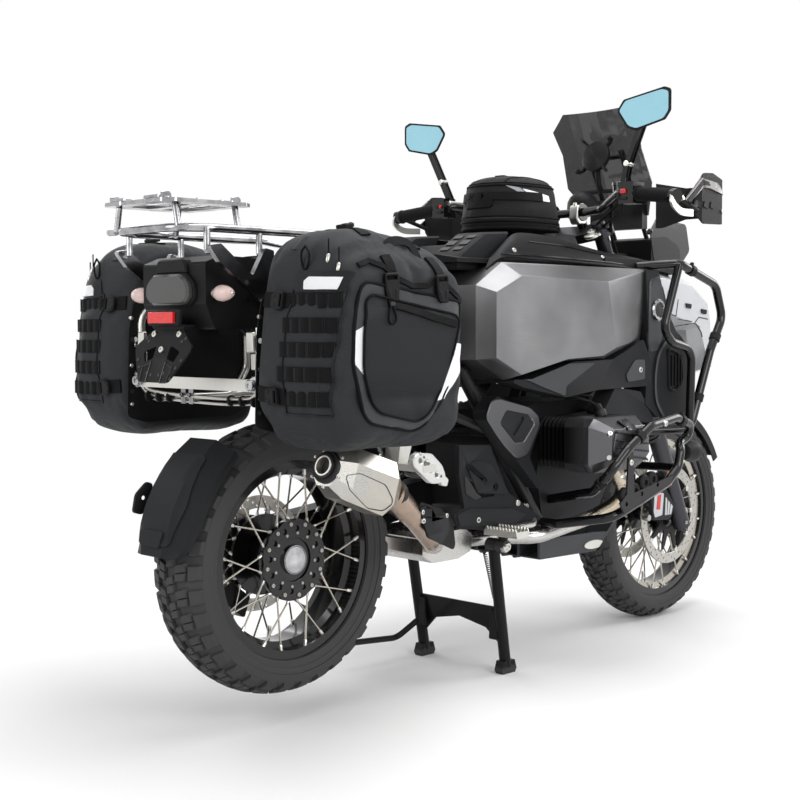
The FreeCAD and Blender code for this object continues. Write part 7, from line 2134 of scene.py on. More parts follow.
@dataclass
class TankBag(Assembly):
    """Oval stuffed bag on the tank: base ring, zip, lid seam, patches and a handle."""

    centre: Pair = (853.0, 0.0)
    half: Pair = (144.0, 109.0)
    levels: Tuple[Pair, ...] = (
        (1163, 0.84), (1168, 0.93), (1184, 1.0), (1206, 0.99), (1236, 0.96), (1266, 0.92), (1290, 0.87),
        (1302, 0.78), (1308, 0.6), (1310, 0.3)
    )
    grey_patch: Tuple[Pair, ...] = ((750, 1284), (784, 1278), (806, 1258), (800, 1250))
    zip_tooth: Tuple[Pair, ...] = ((0, 0.0004), (0.0005, 0.0012), (0.0035, 0.0012), (0.004, 0.0004))

    def oval(self, girth: float, z: float, count: int = 48) -> List[Vector]:
        """Ring round the bag.

        Args:
            girth: share of the full size.
            z: height in millimetres.
            count: points in the ring.

        Returns:
            The ring.
        """
        ring = []
        for k in range(count):
            a = 2 * math.pi * k / count
            u = math.copysign(abs(math.cos(a)) ** 0.82, math.cos(a))
            v = math.copysign(abs(math.sin(a)) ** 0.82, math.sin(a))
            ring.append(place(self.centre[0] + self.half[0] * girth * u, self.half[1] * girth * v, z))
        return ring

    def round(self, skin: Skin, z: float, lift: float) -> List[Vector]:
        """Line round the filled bag at a height."""
        middle = place(self.centre[0], 0, z)
        return [skin.hit(middle + (p - middle) * 1.6, middle - p, lift)[0] for p in self.oval(1.0, z, 64)]

    def build(self) -> None:
        """Make the bag and its trim."""
        piece = self.show(
            "tank_bag_shell", loft([self.oval(g, z) for z, g in self.levels]), TANK_BAG_CLOTH,
            "tank_bag_fabric", ("tank_bag",)
        )
        Stuffing(0.0052, 4.0, 0.009, 0.015).fill(
            piece, lambda p: max(near(p.z / MM, (1165,), 16), near(p.z / MM, (1196, 1288), 6) * 0.8)
        )
        skin = Skin(piece)
        trim = Form()
        for z, size in ((1190, 0.0035), (1203, 0.002), (1286, 0.003), (1292, 0.0016)):
            trim.add(tube(self.round(skin, z, 0.001), size, 8, True))
        rings = self.round(skin, 1197, 0.001)
        base = self.round(skin, 1174, 0.003)
        trim.add(tube(base, 0.006, 10, True))
        behind, ahead = (
            [skin.hit(place(x, 0, 1400), -UP, 0.002)[0] for x in xs] for xs in ((800, 814), (892, 906))
        )
        handle = behind + places([(830, 0, 1318), (876, 0, 1319)]) + ahead
        trim.add(along_path(flowing(handle), strip(0.011, 0.0014), UP))
        for y in (-60, 60):
            trim.add(skin.strap(places([(x, y, 1400) for x in range(742, 960, 16)]), -UP, 0.003, 0.0014))
        self.show("tank_bag_trim", trim, WEBBING, "tank_bag_fabric")
        teeth = Form()
        for a, b in zip(rings, rings[1:] + rings[:1]):
            for k in range(3):
                at = a.lerp(b, k / 3)
                teeth.add(turned(at - UP * 0.002, at + UP, self.zip_tooth, 5))
        self.show("tank_bag_zip", teeth, CAST_BLACK, "cowl_black")
        side = Form()
        white = [(790, 1276), (890, 1262), (893, 1246), (828, 1247), (812, 1258)]
        side.add(skin.patch(beside(white, 3, 300), LEFT, 0.002))
        self.pair("tank_bag_patches", side, REFLECTIVE, "beak_silver")
        grey = skin.patch(beside(self.grey_patch, 3, 300), LEFT, 0.0018)
        self.pair("tank_bag_grey_patches", grey, REFLECTIVE_GREY, "cowl_grey")
        band = skin.strap(
            [
                place(712 - 6 * k, -300 + 26 * k, 1256) for k in range(5)
            ] + [place(600, y, 1256) for y in (-90, -60, -30, 0)],
            Vector((0.6, 0.8, 0)), 0.024, 0.003
        )
        self.pair("tank_bag_bands", band, WEBBING, "tank_bag_fabric")


# Rear

@dataclass
class Tail(Assembly):
    """Lamp, reflector, plate screws, rack hardware, carrier tubes and splash guard mouldings."""

    lamp_hood: Tuple[Pair, ...] = ((-56, 1024), (56, 1024), (48, 1054), (-48, 1054))
    lamp_chin: Tuple[Pair, ...] = ((-62, 946), (62, 946), (56, 912), (-56, 912))
    reflector: Tuple[Pair, ...] = ((-45, 941), (45, 941), (45, 917), (-45, 917))
    indicator_tip: Tuple[Pair, ...] = ((-0.004, 0.006), (0.0, 0.0055), (0.004, 0.003), (0.005, 0.0))
    indicator_collar: Tuple[Pair, ...] = ((0, 0.009), (0.001, 0.011), (0.006, 0.011), (0.007, 0.009))
    holder_window: Tuple[Pair, ...] = ((-26, 868), (-60, 852), (-52, 822), (-26, 832))
    holder_screw: Tuple[Pair, ...] = (
        (0, 0.0075), (0.003, 0.0075), (0.0045, 0.006), (0.0045, 0.003), (0.002, 0.0028)
    )
    screw_socket: Tuple[Pair, ...] = (
        (-0.001, 0.0), (-0.001, 0.0034), (0.0004, 0.0038), (0.0004, 0.003), (0.0, 0.0)
    )
    latch: Tuple[Pair, ...] = ((184, 898), (205, 898), (208, 856), (186, 854))
    latch_tongue: Tuple[Pair, ...] = ((190, 852), (206, 852), (204, 818), (192, 818))
    tie: Tuple[Pair, ...] = ((0, 0.011), (0.0008, 0.012), (0.0052, 0.012), (0.006, 0.011))
    clip: Tuple[Pair, ...] = ((-0.004, 0.012), (0.003, 0.012), (0.005, 0.01), (0.005, 0.005), (0.002, 0.004))
    guard_tab: Tuple[Pair, ...] = (
        (-338, 500), (-330, 540), (-300, 566), (-282, 560), (-286, 520), (-312, 492)
    )
    guard_field: Tuple[Pair, ...] = ((-58, 628), (58, 628), (70, 520), (52, 440), (-52, 440), (-70, 520))

    def build(self) -> None:
        """Make the pieces."""
        self.lamps()
        self.holder()
        self.rack()
        self.carrier()
        self.splash_guard()

    def lamps(self) -> None:
        """Smoked lamp with a bezel, red reflector and indicator collars."""
        shape = [
            (-50, 1022), (50, 1022), (74, 1002), (78, 974), (58, 956), (-58, 956), (-78, 974), (-74, 1002)
        ]
        bezel = [(u * 1.08, 989 + (v - 989) * 1.1) for u, v in shape]
        self.show(
            "tail_lamp_lens", flat(View.REAR, -298, shape, 20, 10, 5), LAMP_GREY, "lamp_red", ("tail_lamp",)
        )
        form = flat(View.REAR, -290, bezel, 10, 10, 2)
        form.add(flat(View.REAR, -284, self.lamp_hood, 22, 6, 3))
        form.add(flat(View.REAR, -312, self.lamp_chin, 10, 6, 2))
        self.show("tail_bezel", form, MOULDED_BLACK, "cowl_black")
        self.show("rear_reflector", flat(View.REAR, -320, self.reflector, 8, 2.5, 1), RED_LENS, "lamp_red")
        collars = Form()
        for y in (118, 128):
            at = place(-266, -y, 980)
            collars.add(turned(at, at - LEFT, self.indicator_collar, 20))
        tip = place(-266, -176, 980)
        collars.add(turned(tip, tip - LEFT, self.indicator_tip, 20))
        self.pair("indicator_collars", collars, SATIN_SILVER, "peg_silver")

    def holder(self) -> None:
        """Screws and dark holes of the plate holder."""
        skin = of_node("tail_unit")
        screws, holes = Form(), Form()
        for y, z in ((-45, 893), (45, 893), (2, 860)):
            at, out = skin.hit(place(-620, y, z), AHEAD)
            screws.add(turned(at, at + out, self.holder_screw, 24))
        for y, z in ((70, 884), (60, 878), (84, 892), (78, 838), (66, 822), (14, 806), (30, 810), (52, 812)):
            for way in (1, -1):
                at, out = skin.hit(place(-620, y * way, z), AHEAD)
                holes.add(turned(at, at + out, self.screw_socket, 14))
        self.show("plate_screws", screws, SATIN_SILVER, "peg_silver")
        self.show("plate_holes", holes, GLOSS_BLACK, "cowl_black")
        rim = Form()
        window = soft_corners(self.holder_window, 4)
        for way in (1, -1):
            ring = [skin.hit(place(-620, u * way, v), AHEAD, 0.0005)[0] for u, v in window]
            rim.add(tube(ring, 0.0014, 6, True))
        self.show("plate_window_rims", rim, GLOSS_BLACK, "cowl_black")

    def rack(self) -> None:
        """Clamps, hooks and screws on the rack."""
        hard, screws = Form(), Form()
        for x, y in ((-372, 60), (-372, 96), (-300, 104), (-210, 104), (-170, 70)):
            screws.add(bolt(place(x, -y, 1176), UP, 0.0055, 0.004))
        for x0, x1, y0, y1 in ((-388, -366, 34, 88), (-346, -330, 8, 60), (-214, -196, 20, 80)):
            hard.add(flat(View.TOP, 1180, [(x0, -y0), (x1, -y0), (x1, -y1), (x0, -y1)], 7, 3, 1,
                          [ring_of(((x0 + x1) / 2, -(y0 + y1) / 2), 3.5, 14)]))
        for x in (-384, -200):
            hard.add(
                flat(
                    View.RIGHT, 92, [(x, 1172), (x + 26, 1172), (x + 26, 1186), (x + 18, 1192), (x, 1188)], 5,
                    3, 1
                )
            )
        self.pair("rack_clamps", hard, POLISHED, "rack_silver")
        self.pair("rack_screws", screws, STEEL, "rack_silver")

    def carrier(self) -> None:
        """Cable tubes under the bag carrier's bar, their clips and the end screws."""
        tubes, clips, ties = Form(), Form(), Form()
        for drop, ahead, radius in ((0, 0, 0.0042), (13, 8, 0.0035)):
            line = places(
                [
                    (-222 + ahead, 214, 786 - drop), (-224 + ahead, 198, 772 - drop),
                    (-222 + ahead, 172, 763 - drop), (-222 + ahead, 80, 757 - drop),
                    (-222 + ahead, -80, 754 - drop), (-222 + ahead, -172, 757 - drop),
                    (-224 + ahead, -198, 766 - drop), (-222 + ahead, -214, 782 - drop)
                ]
            )
            tubes.add(tube(flowing(line, 5), radius, 10))
        for y in (24, 52):
            clips.add(
                flat(View.REAR, -224, [(-y - 8, 790), (-y + 8, 790), (-y + 8, 738), (-y - 8, 738)], 3, 2, 0.5)
            )
            at = place(-228, y, 758)
            clips.add(bolt(at, -AHEAD, 0.005, 0.005))
        for y in (-150, -110, 150, 110, 190, -190):
            at = place(-218, y, 750)
            ties.add(turned(at - LEFT * 0.003, at + LEFT, self.tie, 16))
        for way in (1, -1):
            at = place(-244, way * 204, 786)
            clips.add(turned(at, at - AHEAD, self.clip, 24))
            clips.add(
                flat(
                    View.REAR, -234,
                    [
                        (-way * 196, 800), (-way * 214, 806), (-way * 222, 786), (-way * 214, 768),
                        (-way * 196, 774)
                    ],
                    9, 4, 1
                )
            )
        self.show("carrier_tubes", tubes, STEEL, "bag_frame_silver")
        self.show("carrier_clips", clips, POLISHED, "bag_frame_silver")
        self.show("carrier_ties", ties, MOULDED_BLACK, "cowl_black")
        housing = flat(View.REAR, -232, self.latch, 12, 4, 2)
        housing.add(flat(View.REAR, -226, self.latch_tongue, 8, 3, 1))
        self.pair("carrier_latches", housing, SATIN_SILVER, "bag_frame_silver")

    def splash_guard(self) -> None:
        """Raised field, ribs and tab of the splash guard."""
        skin = of_node("splash_guard")
        form = skin.patch([place(-700, -y, z) for y, z in soft_corners(self.guard_field, 12)],
                          AHEAD, 0.004, 0.02)
        low = [(-40, 470), (40, 470), (34, 436), (-34, 436)]
        form.add(skin.patch([place(-700, y, z) for y, z in soft_corners(low, 8)], AHEAD, 0.008, 0.012))
        self.show("splash_guard_ribs", form, MOULDED, "guard_plastic", bevel=0.001)
        tab = flat(View.RIGHT, -92, self.guard_tab, 7, 8, 2,
                   [ring_of((-308, 530), 5, 16)])
        self.show("splash_guard_tab", tab, MOULDED, "guard_plastic")


@dataclass
class Exhaust(Assembly):
    """Silencer's side plate, end cap, bands, the shield's screws and the passenger's peg plates."""

    front: Triple = (86.0, -290.0, 540.0)
    rear: Triple = (-118.0, -306.0, 612.0)
    groove: Tuple[Pair, ...] = (
        (-100, 596), (-62, 598), (20, 566), (44, 530), (30, 506), (-16, 516), (-92, 566)
    )
    outlet: Tuple[Pair, ...] = (
        (-0.004, 0.034), (0.004, 0.036), (0.008, 0.034), (0.008, 0.027), (0.012, 0.026), (0.012, 0.021),
        (-0.02, 0.02)
    )
    inlet_band: Tuple[Pair, ...] = (
        (-0.004, 0.026), (0.0, 0.03), (0.014, 0.034), (0.018, 0.033), (0.018, 0.028)
    )
    shield_screws: Tuple[Pair, ...] = ((192, 484), (214, 424), (306, 462))
    shield_field: Tuple[Pair, ...] = (
        (176, 494), (236, 500), (300, 470), (326, 430), (282, 396), (214, 400), (172, 450)
    )
    peg_toe: Tuple[Pair, ...] = ((244, 562), (256, 572), (282, 552), (276, 536), (258, 540))
    peg_tooth: Tuple[Pair, ...] = ((222, 394), (222, 408), (312, 408), (312, 394))

    def build(self) -> None:
        """Make the pieces."""
        skin = of_node("silencer")
        line = soft_corners(self.groove, 10)
        cut = skin.strap([place(x, -640, z) for x, z in line + line[:1]], LEFT, 0.0016, 0.0009)
        self.show("silencer_groove", cut, CAST_GREY, "silencer_steel")
        front, rear = place(*self.front), place(*self.rear)
        run = (rear - front).normalized()
        end = Form()
        end.add(turned(rear, rear + run, self.outlet, 36))
        end.add(turned(front - run * 0.03, front, self.inlet_band, 36))
        self.show("silencer_ends", end, CAST_BLACK, "silencer_steel")
        screws = Form()
        for k in range(6):
            turn = math.radians(60 * k + 20)
            across = run.orthogonal().normalized()
            up = run.cross(across)
            screws.add(
                bolt(
                    rear + (across * math.cos(turn) + up * math.sin(turn)) * 0.043 + run * 0.001, run, 0.0035,
                    0.003
                )
            )
        self.show("silencer_screws", screws, STEEL, "silencer_steel")
        shield = of_node("heat_shield")
        self.show("heat_shield_screws", heads(shield, self.shield_screws, 6, 4), SATIN_SILVER, "peg_silver")
        rim = shield.patch(beside(self.shield_field, 12),
                           LEFT, 0.003, 0.03)
        self.show("heat_shield_field", rim, MOULDED, "cover_plastic", bevel=0.001)
        self.pegs()

    def pegs(self) -> None:
        """Pierced plates of the passenger's pegs and toothed edges of the rider's."""
        shape = [
            (152, 612), (168, 622), (216, 618), (252, 588), (264, 562), (250, 546), (214, 548), (156, 592)
        ]
        holes = [
            ring_of((178, 604), 6.5, 20), slot_of((196, 596), (212, 584), 7.5), ring_of((232, 568), 6.5, 20)
        ]
        form = flat(View.RIGHT, 290, shape, 18, 8, 2.5, holes)
        form.add(flat(View.RIGHT, 284, self.peg_toe, 14, 4, 2))
        for k in range(7):
            x, z = 176 + 11.5 * k, 619 - 7.5 * k - 0.3 * k * k
            form.add(
                flat(
                    View.RIGHT, 290, [(x - 4, z - 2), (x - 1, z + 5), (x + 3, z + 3), (x + 4, z - 4)], 18,
                    0.6, 0.5
                )
            )
        self.pair("passenger_pegs", form, SILVER_CAST, "peg_silver")
        teeth = Form()
        for x in (497, 543):
            line = [(216, 396)]
            for k in range(10):
                y = 218 + 10 * k
                line += [(y, 406), (y + 3, 414), (y + 7, 414), (y + 10, 406)]
            line += [(320, 396)]
            teeth.add(flat(View.REAR, x, line, 4, 0.6, 0.5))
        for x in (505, 520, 535):
            teeth.add(flat(View.REAR, x, self.peg_tooth, 2.5, 0.8, 0.4))
        self.pair("rider_peg_teeth", teeth, SATIN_SILVER, "peg_silver")


# Engine and stands

@dataclass
class Engine(Assembly):
    """Cover ribs and screws, plugs, header collars and plates of the skid tray."""

    cover_screws: Tuple[Pair, ...] = ((790, 634), (968, 640), (962, 562), (788, 574))
    cover_recess: Tuple[Pair, ...] = ((848, 660), (896, 664), (890, 642), (856, 640))
    filler_cap: Tuple[Pair, ...] = (
        (-0.006, 0.013), (0.0, 0.016), (0.012, 0.016), (0.014, 0.012), (0.03, 0.011), (0.034, 0.007)
    )
    pipe_band: Tuple[Pair, ...] = ((0, 0.021), (0.001, 0.0235), (0.011, 0.0235), (0.012, 0.021))
    panel_window: Tuple[Pair, ...] = ((420, 546), (434, 536), (468, 496), (487, 486), (462, 480), (426, 499))
    frame_screws: Tuple[Pair, ...] = ((765, 705), (822, 705), (744, 560), (700, 440), (1100, 700))
    bar_clamp: Tuple[Pair, ...] = ((0, 0.0128), (0.001, 0.016), (0.021, 0.016), (0.022, 0.0128))
    knob_foot: Tuple[Pair, ...] = ((0, 0.0), (0, 0.012), (0.01, 0.014))
    bar_knob: Tuple[Pair, ...] = (
        (0, 0.018), (0.004, 0.021), (0.012, 0.021), (0.016, 0.017), (0.016, 0.008), (0.012, 0.007)
    )
    lamp_can: Tuple[Pair, ...] = (
        (0, 0.014), (0.004, 0.022), (0.03, 0.03), (0.046, 0.031), (0.047, 0.028), (0.042, 0.027), (0.042, 0.0)
    )
    lamp_lens: Tuple[Pair, ...] = ((0, 0.0), (0, 0.026), (0.002, 0.0255), (0.004, 0.02), (0.005, 0.0))
    lead_path: Tuple[Triple, ...] = ((1226, -332, 576), (1216, -340, 600), (1196, -356, 620))

    def build(self) -> None:
        """Make the pieces."""
        self.covers()
        self.head()
        self.side_panels()
        self.bars()
        self.fog_lamps()
        self.under()

    def covers(self) -> None:
        """Valve covers: raised cheek, ribs, corner screws and the plug's recess."""
        skin = of_node("valve_covers")
        cheek = [
            (806, 640), (862, 648), (944, 648), (966, 622), (952, 572), (900, 554), (826, 560), (794, 592)
        ]
        form = skin.patch(beside(cheek, 10), LEFT, 0.004, 0.02)
        self.pair("valve_cover_cheeks", form, COVER_GREY, "cover_grey", bevel=0.0015)
        ribs = Form()
        for rise in (0, 20, 40, 60):
            line = [place(806 + 10 * k, -640, 578 + rise - 1.2 * k) for k in range(15)]
            ribs.add(skin.strap(line, LEFT, 0.0045, 0.0075))
        self.pair("valve_cover_ribs", ribs, CAST_GREY, "cover_grey", bevel=0.0008)
        dark = skin.patch(beside(self.cover_recess, 4), LEFT, 0.006)
        self.pair("valve_cover_plugs", dark, GLOSS_BLACK, "cylinder_black")
        screws = heads(skin, self.cover_screws, 7, 5)
        self.pair("valve_cover_screws", screws, SATIN_SILVER, "peg_silver")

    def head(self) -> None:
        """Cylinder head edge, injector body, plug cap and header collar."""
        form, bright = Form(), Form()
        for x in (776, 972):
            form.add(
                flat(View.RIGHT, 316, [(x - 7, 664), (x + 7, 664), (x + 7, 540), (x - 7, 540)], 10, 4, 2)
            )
            bright.add(bolt(place(x, -321, 650), -LEFT, 0.005, 0.004))
            bright.add(bolt(place(x, -321, 554), -LEFT, 0.005, 0.004))
        cap = place(868, -300, 674)
        form.add(turned(cap, cap + UP + LEFT * 0.6, self.filler_cap, 20))
        lead = [
            cap + (UP + LEFT * 0.6).normalized() * 0.03, place(860, -258, 712), place(820, -206, 728),
            place(770, -176, 720)
        ]
        form.add(tube(flowing(lead), 0.0042, 10))
        self.pair("cylinder_head_parts", form, CAST_BLACK, "cylinder_black")
        skin = of_node("exhaust")
        for x, z in ((1020, 470), (1004, 520)):
            at, _ = skin.hit(place(x, -640, z), LEFT)
            middle = at + LEFT * 0.019
            run = Vector((0.3, 0, 1)).normalized()
            bright.add(turned(middle - run * 0.006, middle + run, self.pipe_band, 24))
        self.pair("cylinder_head_screws", bright, STEEL, "exhaust_steel")

    def side_panels(self) -> None:
        """Heel guards and intake-side panels: recessed fields, slots and screws."""
        skin = of_node("side_covers")
        self.show(
            "side_cover_screws", heads(skin, [(625, 458), (471, 430)], 8, 5), SATIN_SILVER, "peg_silver"
        )
        outer = [
            (480, 684), (501, 726), (527, 731), (652, 703), (690, 677), (690, 652), (643, 582), (600, 574),
            (556, 606), (520, 640)
        ]
        insert = [(534, 668), (558, 698), (648, 682), (670, 660), (627, 616), (593, 616)]
        slot = slot_of((621, 674), (588, 640), 6)
        form = flat(View.RIGHT, 232, outer, 6, 14, 2.5, [soft_corners(insert, 8)])
        self.pair("side_panel_fields", form, COVER_GREY, "cover_plastic")
        dark = flat(View.RIGHT, 231.5, insert, 5, 8, 1.2, [slot])
        self.pair("side_panel_inserts", dark, MOULDED, "cover_plastic")
        heel = [(426, 574), (478, 577), (519, 566), (587, 490), (582, 484), (470, 496), (440, 545)]
        inner = flat(
            View.RIGHT, 216, heel, 5, 8, 1.8, [slot_of((437, 566), (496, 526), 6), ring_of((536, 507), 9, 20)]
        )
        lower = [(392, 450), (440, 462), (600, 448), (660, 424), (606, 400), (402, 422)]
        inner.add(flat(View.RIGHT, 216, lower, 5, 8, 1.8))
        self.pair("heel_guard_fields", inner, MOULDED, "cover_plastic")
        window = flat(View.RIGHT, 214.5, self.panel_window, 3, 5, 0.8)
        self.pair("heel_guard_windows", window, GLOSS_BLACK, "cover_plastic")
        steel = heads(skin, [(683, 668), (700, 700)], 6.5, 4)
        main_skin = of_node("main_frame")
        steel.add(heads(main_skin, self.frame_screws, 8, 5, 6))
        self.pair("frame_screws", steel, STEEL, "peg_silver")

    def bars(self) -> None:
        """Clamps on the crash bars, guard-plate screws and round end stops."""
        clamps, screws, knobs = Form(), Form(), Form()
        for a, b, share in (
            ((793, 329, 480), (766, 400, 535), 0.5), ((828, 412, 596), (932, 412, 649), 0.5),
            ((1060, 405, 663), (1152, 390, 639), 0.35), ((1398, 300, 837), (1301, 296, 615), 0.6),
            ((1237, 300, 1084), (1423, 300, 1028), 0.3), ((1462, 300, 934), (1398, 300, 837), 0.6)
        ):
            start, end = place(a[0], -a[1], a[2]), place(b[0], -b[1], b[2])
            run = (end - start).normalized()
            at = start.lerp(end, share)
            clamps.add(turned(at - run * 0.011, at + run, self.bar_clamp, 24))
            side = run.cross(LEFT).normalized()
            clamps.add(bolt(at + side * 0.015, side, 0.006, 0.007, 12))
        skin = of_node("lower_crash_bars")
        screws.add(heads(skin, [(836, 560), (1000, 610)], 8, 5))
        for x, z in ((822, 476), (864, 484), (908, 502), (944, 508)):
            at, out = place(x, -398, z), -LEFT
            knobs.add(turned(at - out * 0.01, at, self.knob_foot, 20))
            knobs.add(turned(at, at + out, self.bar_knob, 32))
        self.pair("crash_bar_clamps", clamps, MOULDED_BLACK, "frame_black")
        self.pair("crash_bar_screws", screws, SATIN_SILVER, "peg_silver")
        self.pair("crash_bar_knobs", knobs, MOULDED_BLACK, "plate_grey")

    def fog_lamps(self) -> None:
        """Lamps on the lower bars, looking ahead."""
        cans, lenses = Form(), Form()
        at = place(1216, -330, 556)
        cans.add(turned(at, at + AHEAD, self.lamp_can, 32))
        cans.add(tube(places(self.lead_path), 0.006, 10))
        lenses.add(turned(at + AHEAD * 0.0425, at + AHEAD, self.lamp_lens, 32))
        self.pair("fog_lamp_cans", cans, CAST_BLACK, "lamp_clear")
        self.pair("fog_lamp_lenses", lenses, LAMP_LENS, "lamp_clear")

    def under(self) -> None:
        """Oval plate and ribs of the skid tray."""
        skin = of_node("skid_plate")
        oval = [
            (1040 + 44 * math.cos(k * math.pi / 12), 296 + 12 * math.sin(k * math.pi / 12)) for k in range(24)
        ]
        self.pair(
            "skid_plate_badges", skin.patch([place(x, -640, z) for x, z in oval], LEFT, 0.003), SATIN_SILVER,
            "plate_grey"
        )
        form = Form()
        for y in (-60, -20, 20, 60):
            form.add(skin.strap([place(x, y, 60) for x in range(700, 1080, 20)], UP, 0.008, 0.004))
        self.show("skid_plate_ribs", form, PANEL_GREY, "plate_grey", bevel=0.0008)


@dataclass
class Stands(Assembly):
    """Spring, screws and pads of the centre stand."""

    body: str = "center_stand"

    def build(self) -> None:
        """Make the pieces."""
        skin = of_node("center_stand")
        screws = heads(skin, [(250, 164)], 10, 7, 6).add(heads(skin, [(607, 345)], 12, 6, 6))
        self.show("center_stand_screws", screws, SATIN_SILVER, "peg_silver")
        springs = Form()
        line = []
        turns, steps = 22, 12
        for k in range(turns * steps + 1):
            middle = place(600, -127, 322).lerp(place(640, -127, 196), k / (turns * steps))
            a = 2 * math.pi * k / steps
            line.append(middle + Vector((math.cos(a), math.sin(a), 0)) * (5.0 * MM))
        springs.add(tube(line, 0.0014, 6))
        for z, x in ((326, 598), (190, 642)):
            springs.add(
                tube(
                    flowing(
                        places(
                            [
                                (x, -127, z + 6), (x - 6, -127, z), (x, -127, z - 6), (x + 6, -127, z),
                                (x, -127, z + 6)
                            ]
                        )
                    ),
                    0.0016, 6
                )
            )
        self.show("center_stand_springs", springs, CAST_BLACK, "frame_black")
        pads = Form()
        for way in (1, -1):
            pads.add(
                flat(
                    View.REAR, 634,
                    [
                        (way * 128 - 14, 90), (way * 128 + 14, 90), (way * 128 + 10, 168),
                        (way * 128 - 10, 168)
                    ],
                    8, 4, 1.5
                )
            )
        self.show("center_stand_pads", pads, MOULDED_BLACK, "frame_black")


# Front

@dataclass
class Cockpit(Assembly):
    """Mirrors' glass and stalks, grips, switches, guards, clamps, cables and caps."""

    body: str = "steering"
    mirror: Triple = (922.0, 388.0, 1468.0)
    mirror_half: Pair = (84.0, 52.0)
    grip_end: Triple = (916.0, 481.0, 1240.0)
    knee: Triple = (956.0, 290.0, 1264.0)
    bar_weight: Tuple[Pair, ...] = ((0, 0.0), (0, 0.011), (0.003, 0.0145), (0.014, 0.0155), (0.015, 0.0135))
    fluid_can: Tuple[Pair, ...] = (
        (0, 0.012), (0.002, 0.02), (0.024, 0.021), (0.025, 0.023), (0.033, 0.023), (0.035, 0.02), (0.036, 0.0)
    )
    guard_arm: Tuple[Triple, ...] = (
        (904, -490, 1240), (900, -493, 1222), (916, -494, 1208), (946, -492, 1200), (1002, -486, 1201)
    )
    guard_inset: Tuple[Pair, ...] = ((986, 1290), (1070, 1286), (1080, 1276), (1000, 1276))
    guard_screws: Tuple[Pair, ...] = ((962, 1276), (1108, 1278), (1150, 1214))
    fork_cap: Tuple[Pair, ...] = ((0, 0.024), (0.002, 0.026), (0.008, 0.025), (0.01, 0.016))
    cap_nut: Tuple[Pair, ...] = ((0, 0.006), (0.006, 0.005), (0.0065, 0.0))
    throttle_path: Tuple[Triple, ...] = (
        (962, -292, 1246), (1020, -230, 1232), (1090, -120, 1196), (1150, -60, 1192)
    )

    def build(self) -> None:
        """Make the pieces."""
        self.mirrors()
        self.grips()
        self.switches()
        self.guards()
        self.clamps()
        self.cables()

    def mirrors(self) -> None:
        """Blue glass with a dark rim and the two-bar stalks with their pivots."""
        skin = of_node("mirrors")
        shares = (
            (1.0, 0.85), (0.75, 1.0), (-0.75, 0.62), (-1.0, 0.1), (-0.62, -0.8), (-0.3, -1.0), (0.8, -0.62),
            (1.0, -0.2)
        )
        glass = Form()
        for way in (1, -1):
            outline = [
                place(
                    -200, way * (self.mirror[1] + u * self.mirror_half[0] * 0.9),
                    self.mirror[2] + v * self.mirror_half[1] * 0.88
                )
                for u, v in soft_corners(shares, 0.12)
            ]
            glass.add(skin.patch(outline, AHEAD, 0.0016, 0.03))
        self.show("mirror_glass", glass, MIRROR_GLASS, "mirror_blue")
        bars, pins = Form(), Form()
        for ahead in (-9, 9):
            line = places([(952 + ahead, -306, 1270), (940 + ahead, -330, 1335), (933 + ahead, -380, 1438)])
            bars.add(along_path(rounded(line, 0.02), strip(0.007, 0.002), AHEAD))
        for x, y, z, size in ((940, -330, 1335, 8), (952, -306, 1272, 8)):
            at = place(x, y, z)
            pins.add(
                turned(
                    at - Vector((0.013, 0, 0)), at,
                    [
                        (-0.002, 0.003), (-0.002, size * MM * 0.8), (0, size * MM), (0.026, size * MM),
                        (0.028, size * MM * 0.8), (0.028, 0.003)
                    ],
                    24
                )
            )
        self.pair("mirror_stalk_bars", bars, GLOSS_BLACK, "bar_black")
        self.pair("mirror_pivots", pins, SATIN_SILVER, "peg_silver")

    def grips(self) -> None:
        """Ribbed rubbers and bar-end weights."""
        end = place(self.grip_end[0], -self.grip_end[1], self.grip_end[2])
        run = (place(self.knee[0], -self.knee[1], self.knee[2]) - end).normalized()
        rubber, caps = Form(), Form()
        line = [(0.0, 0.0165), (0.001, 0.0205), (0.006, 0.0205), (0.007, 0.0178)]
        for k in range(12):
            at = 0.012 + 0.0088 * k
            line += [(at, 0.0178), (at + 0.001, 0.0188), (at + 0.006, 0.0188), (at + 0.007, 0.0178)]
        line += [(0.119, 0.0178), (0.12, 0.0215), (0.126, 0.0215), (0.127, 0.0165)]
        rubber.add(turned(end, end + run, line, 28))
        caps.add(turned(end - run * 0.016, end, self.bar_weight, 28))
        self.pair("bar_grips", rubber, GRIP_RUBBER, "bar_black")
        self.pair("bar_ends", caps, SATIN_SILVER, "peg_silver")

    def switches(self) -> None:
        """Keys on the switch housings and the fluid cans."""
        skin = of_node("handlebar")
        red, dark, cans = Form(), Form(), Form()
        red.add(self.key(skin, -328, 1262, soft_corners(box(16 / 2 * MM, 12 / 2 * MM), 0.003), 0.009))
        red.add(self.key(skin, 322, 1262, ring_of((0, 0), 0.005, 16), 0.008))
        for y, z, wide, high in (
            (-328, 1244, 20, 8), (-312, 1252, 8, 18), (328, 1246, 20, 8), (336, 1262, 10, 8),
            (310, 1252, 8, 16)
        ):
            dark.add(self.key(skin, y, z, soft_corners(box(wide / 2 * MM, high / 2 * MM), 0.002), 0.007))
        at = place(1000, -262, 1262)
        cans.add(turned(at, at + UP, self.fluid_can, 32))
        self.show("kill_switch", red, RED_PLASTIC, "bar_black")
        self.show("switch_keys", dark, MOULDED, "bar_black")
        self.pair("fluid_cans", cans, GLOSS_BLACK, "bar_black")

    def key(self, skin: Skin, y: float, z: float, shape: Sequence[Pair], thick: float) -> Form:
        """Key on a switch housing's rear face; y and z in millimetres, the rest in metres."""
        at, _ = skin.hit(place(500, y, z), AHEAD)
        return plate(shape, thick, spot_of(at - AHEAD * 0.002, LEFT, -AHEAD), chamfer=0.001)

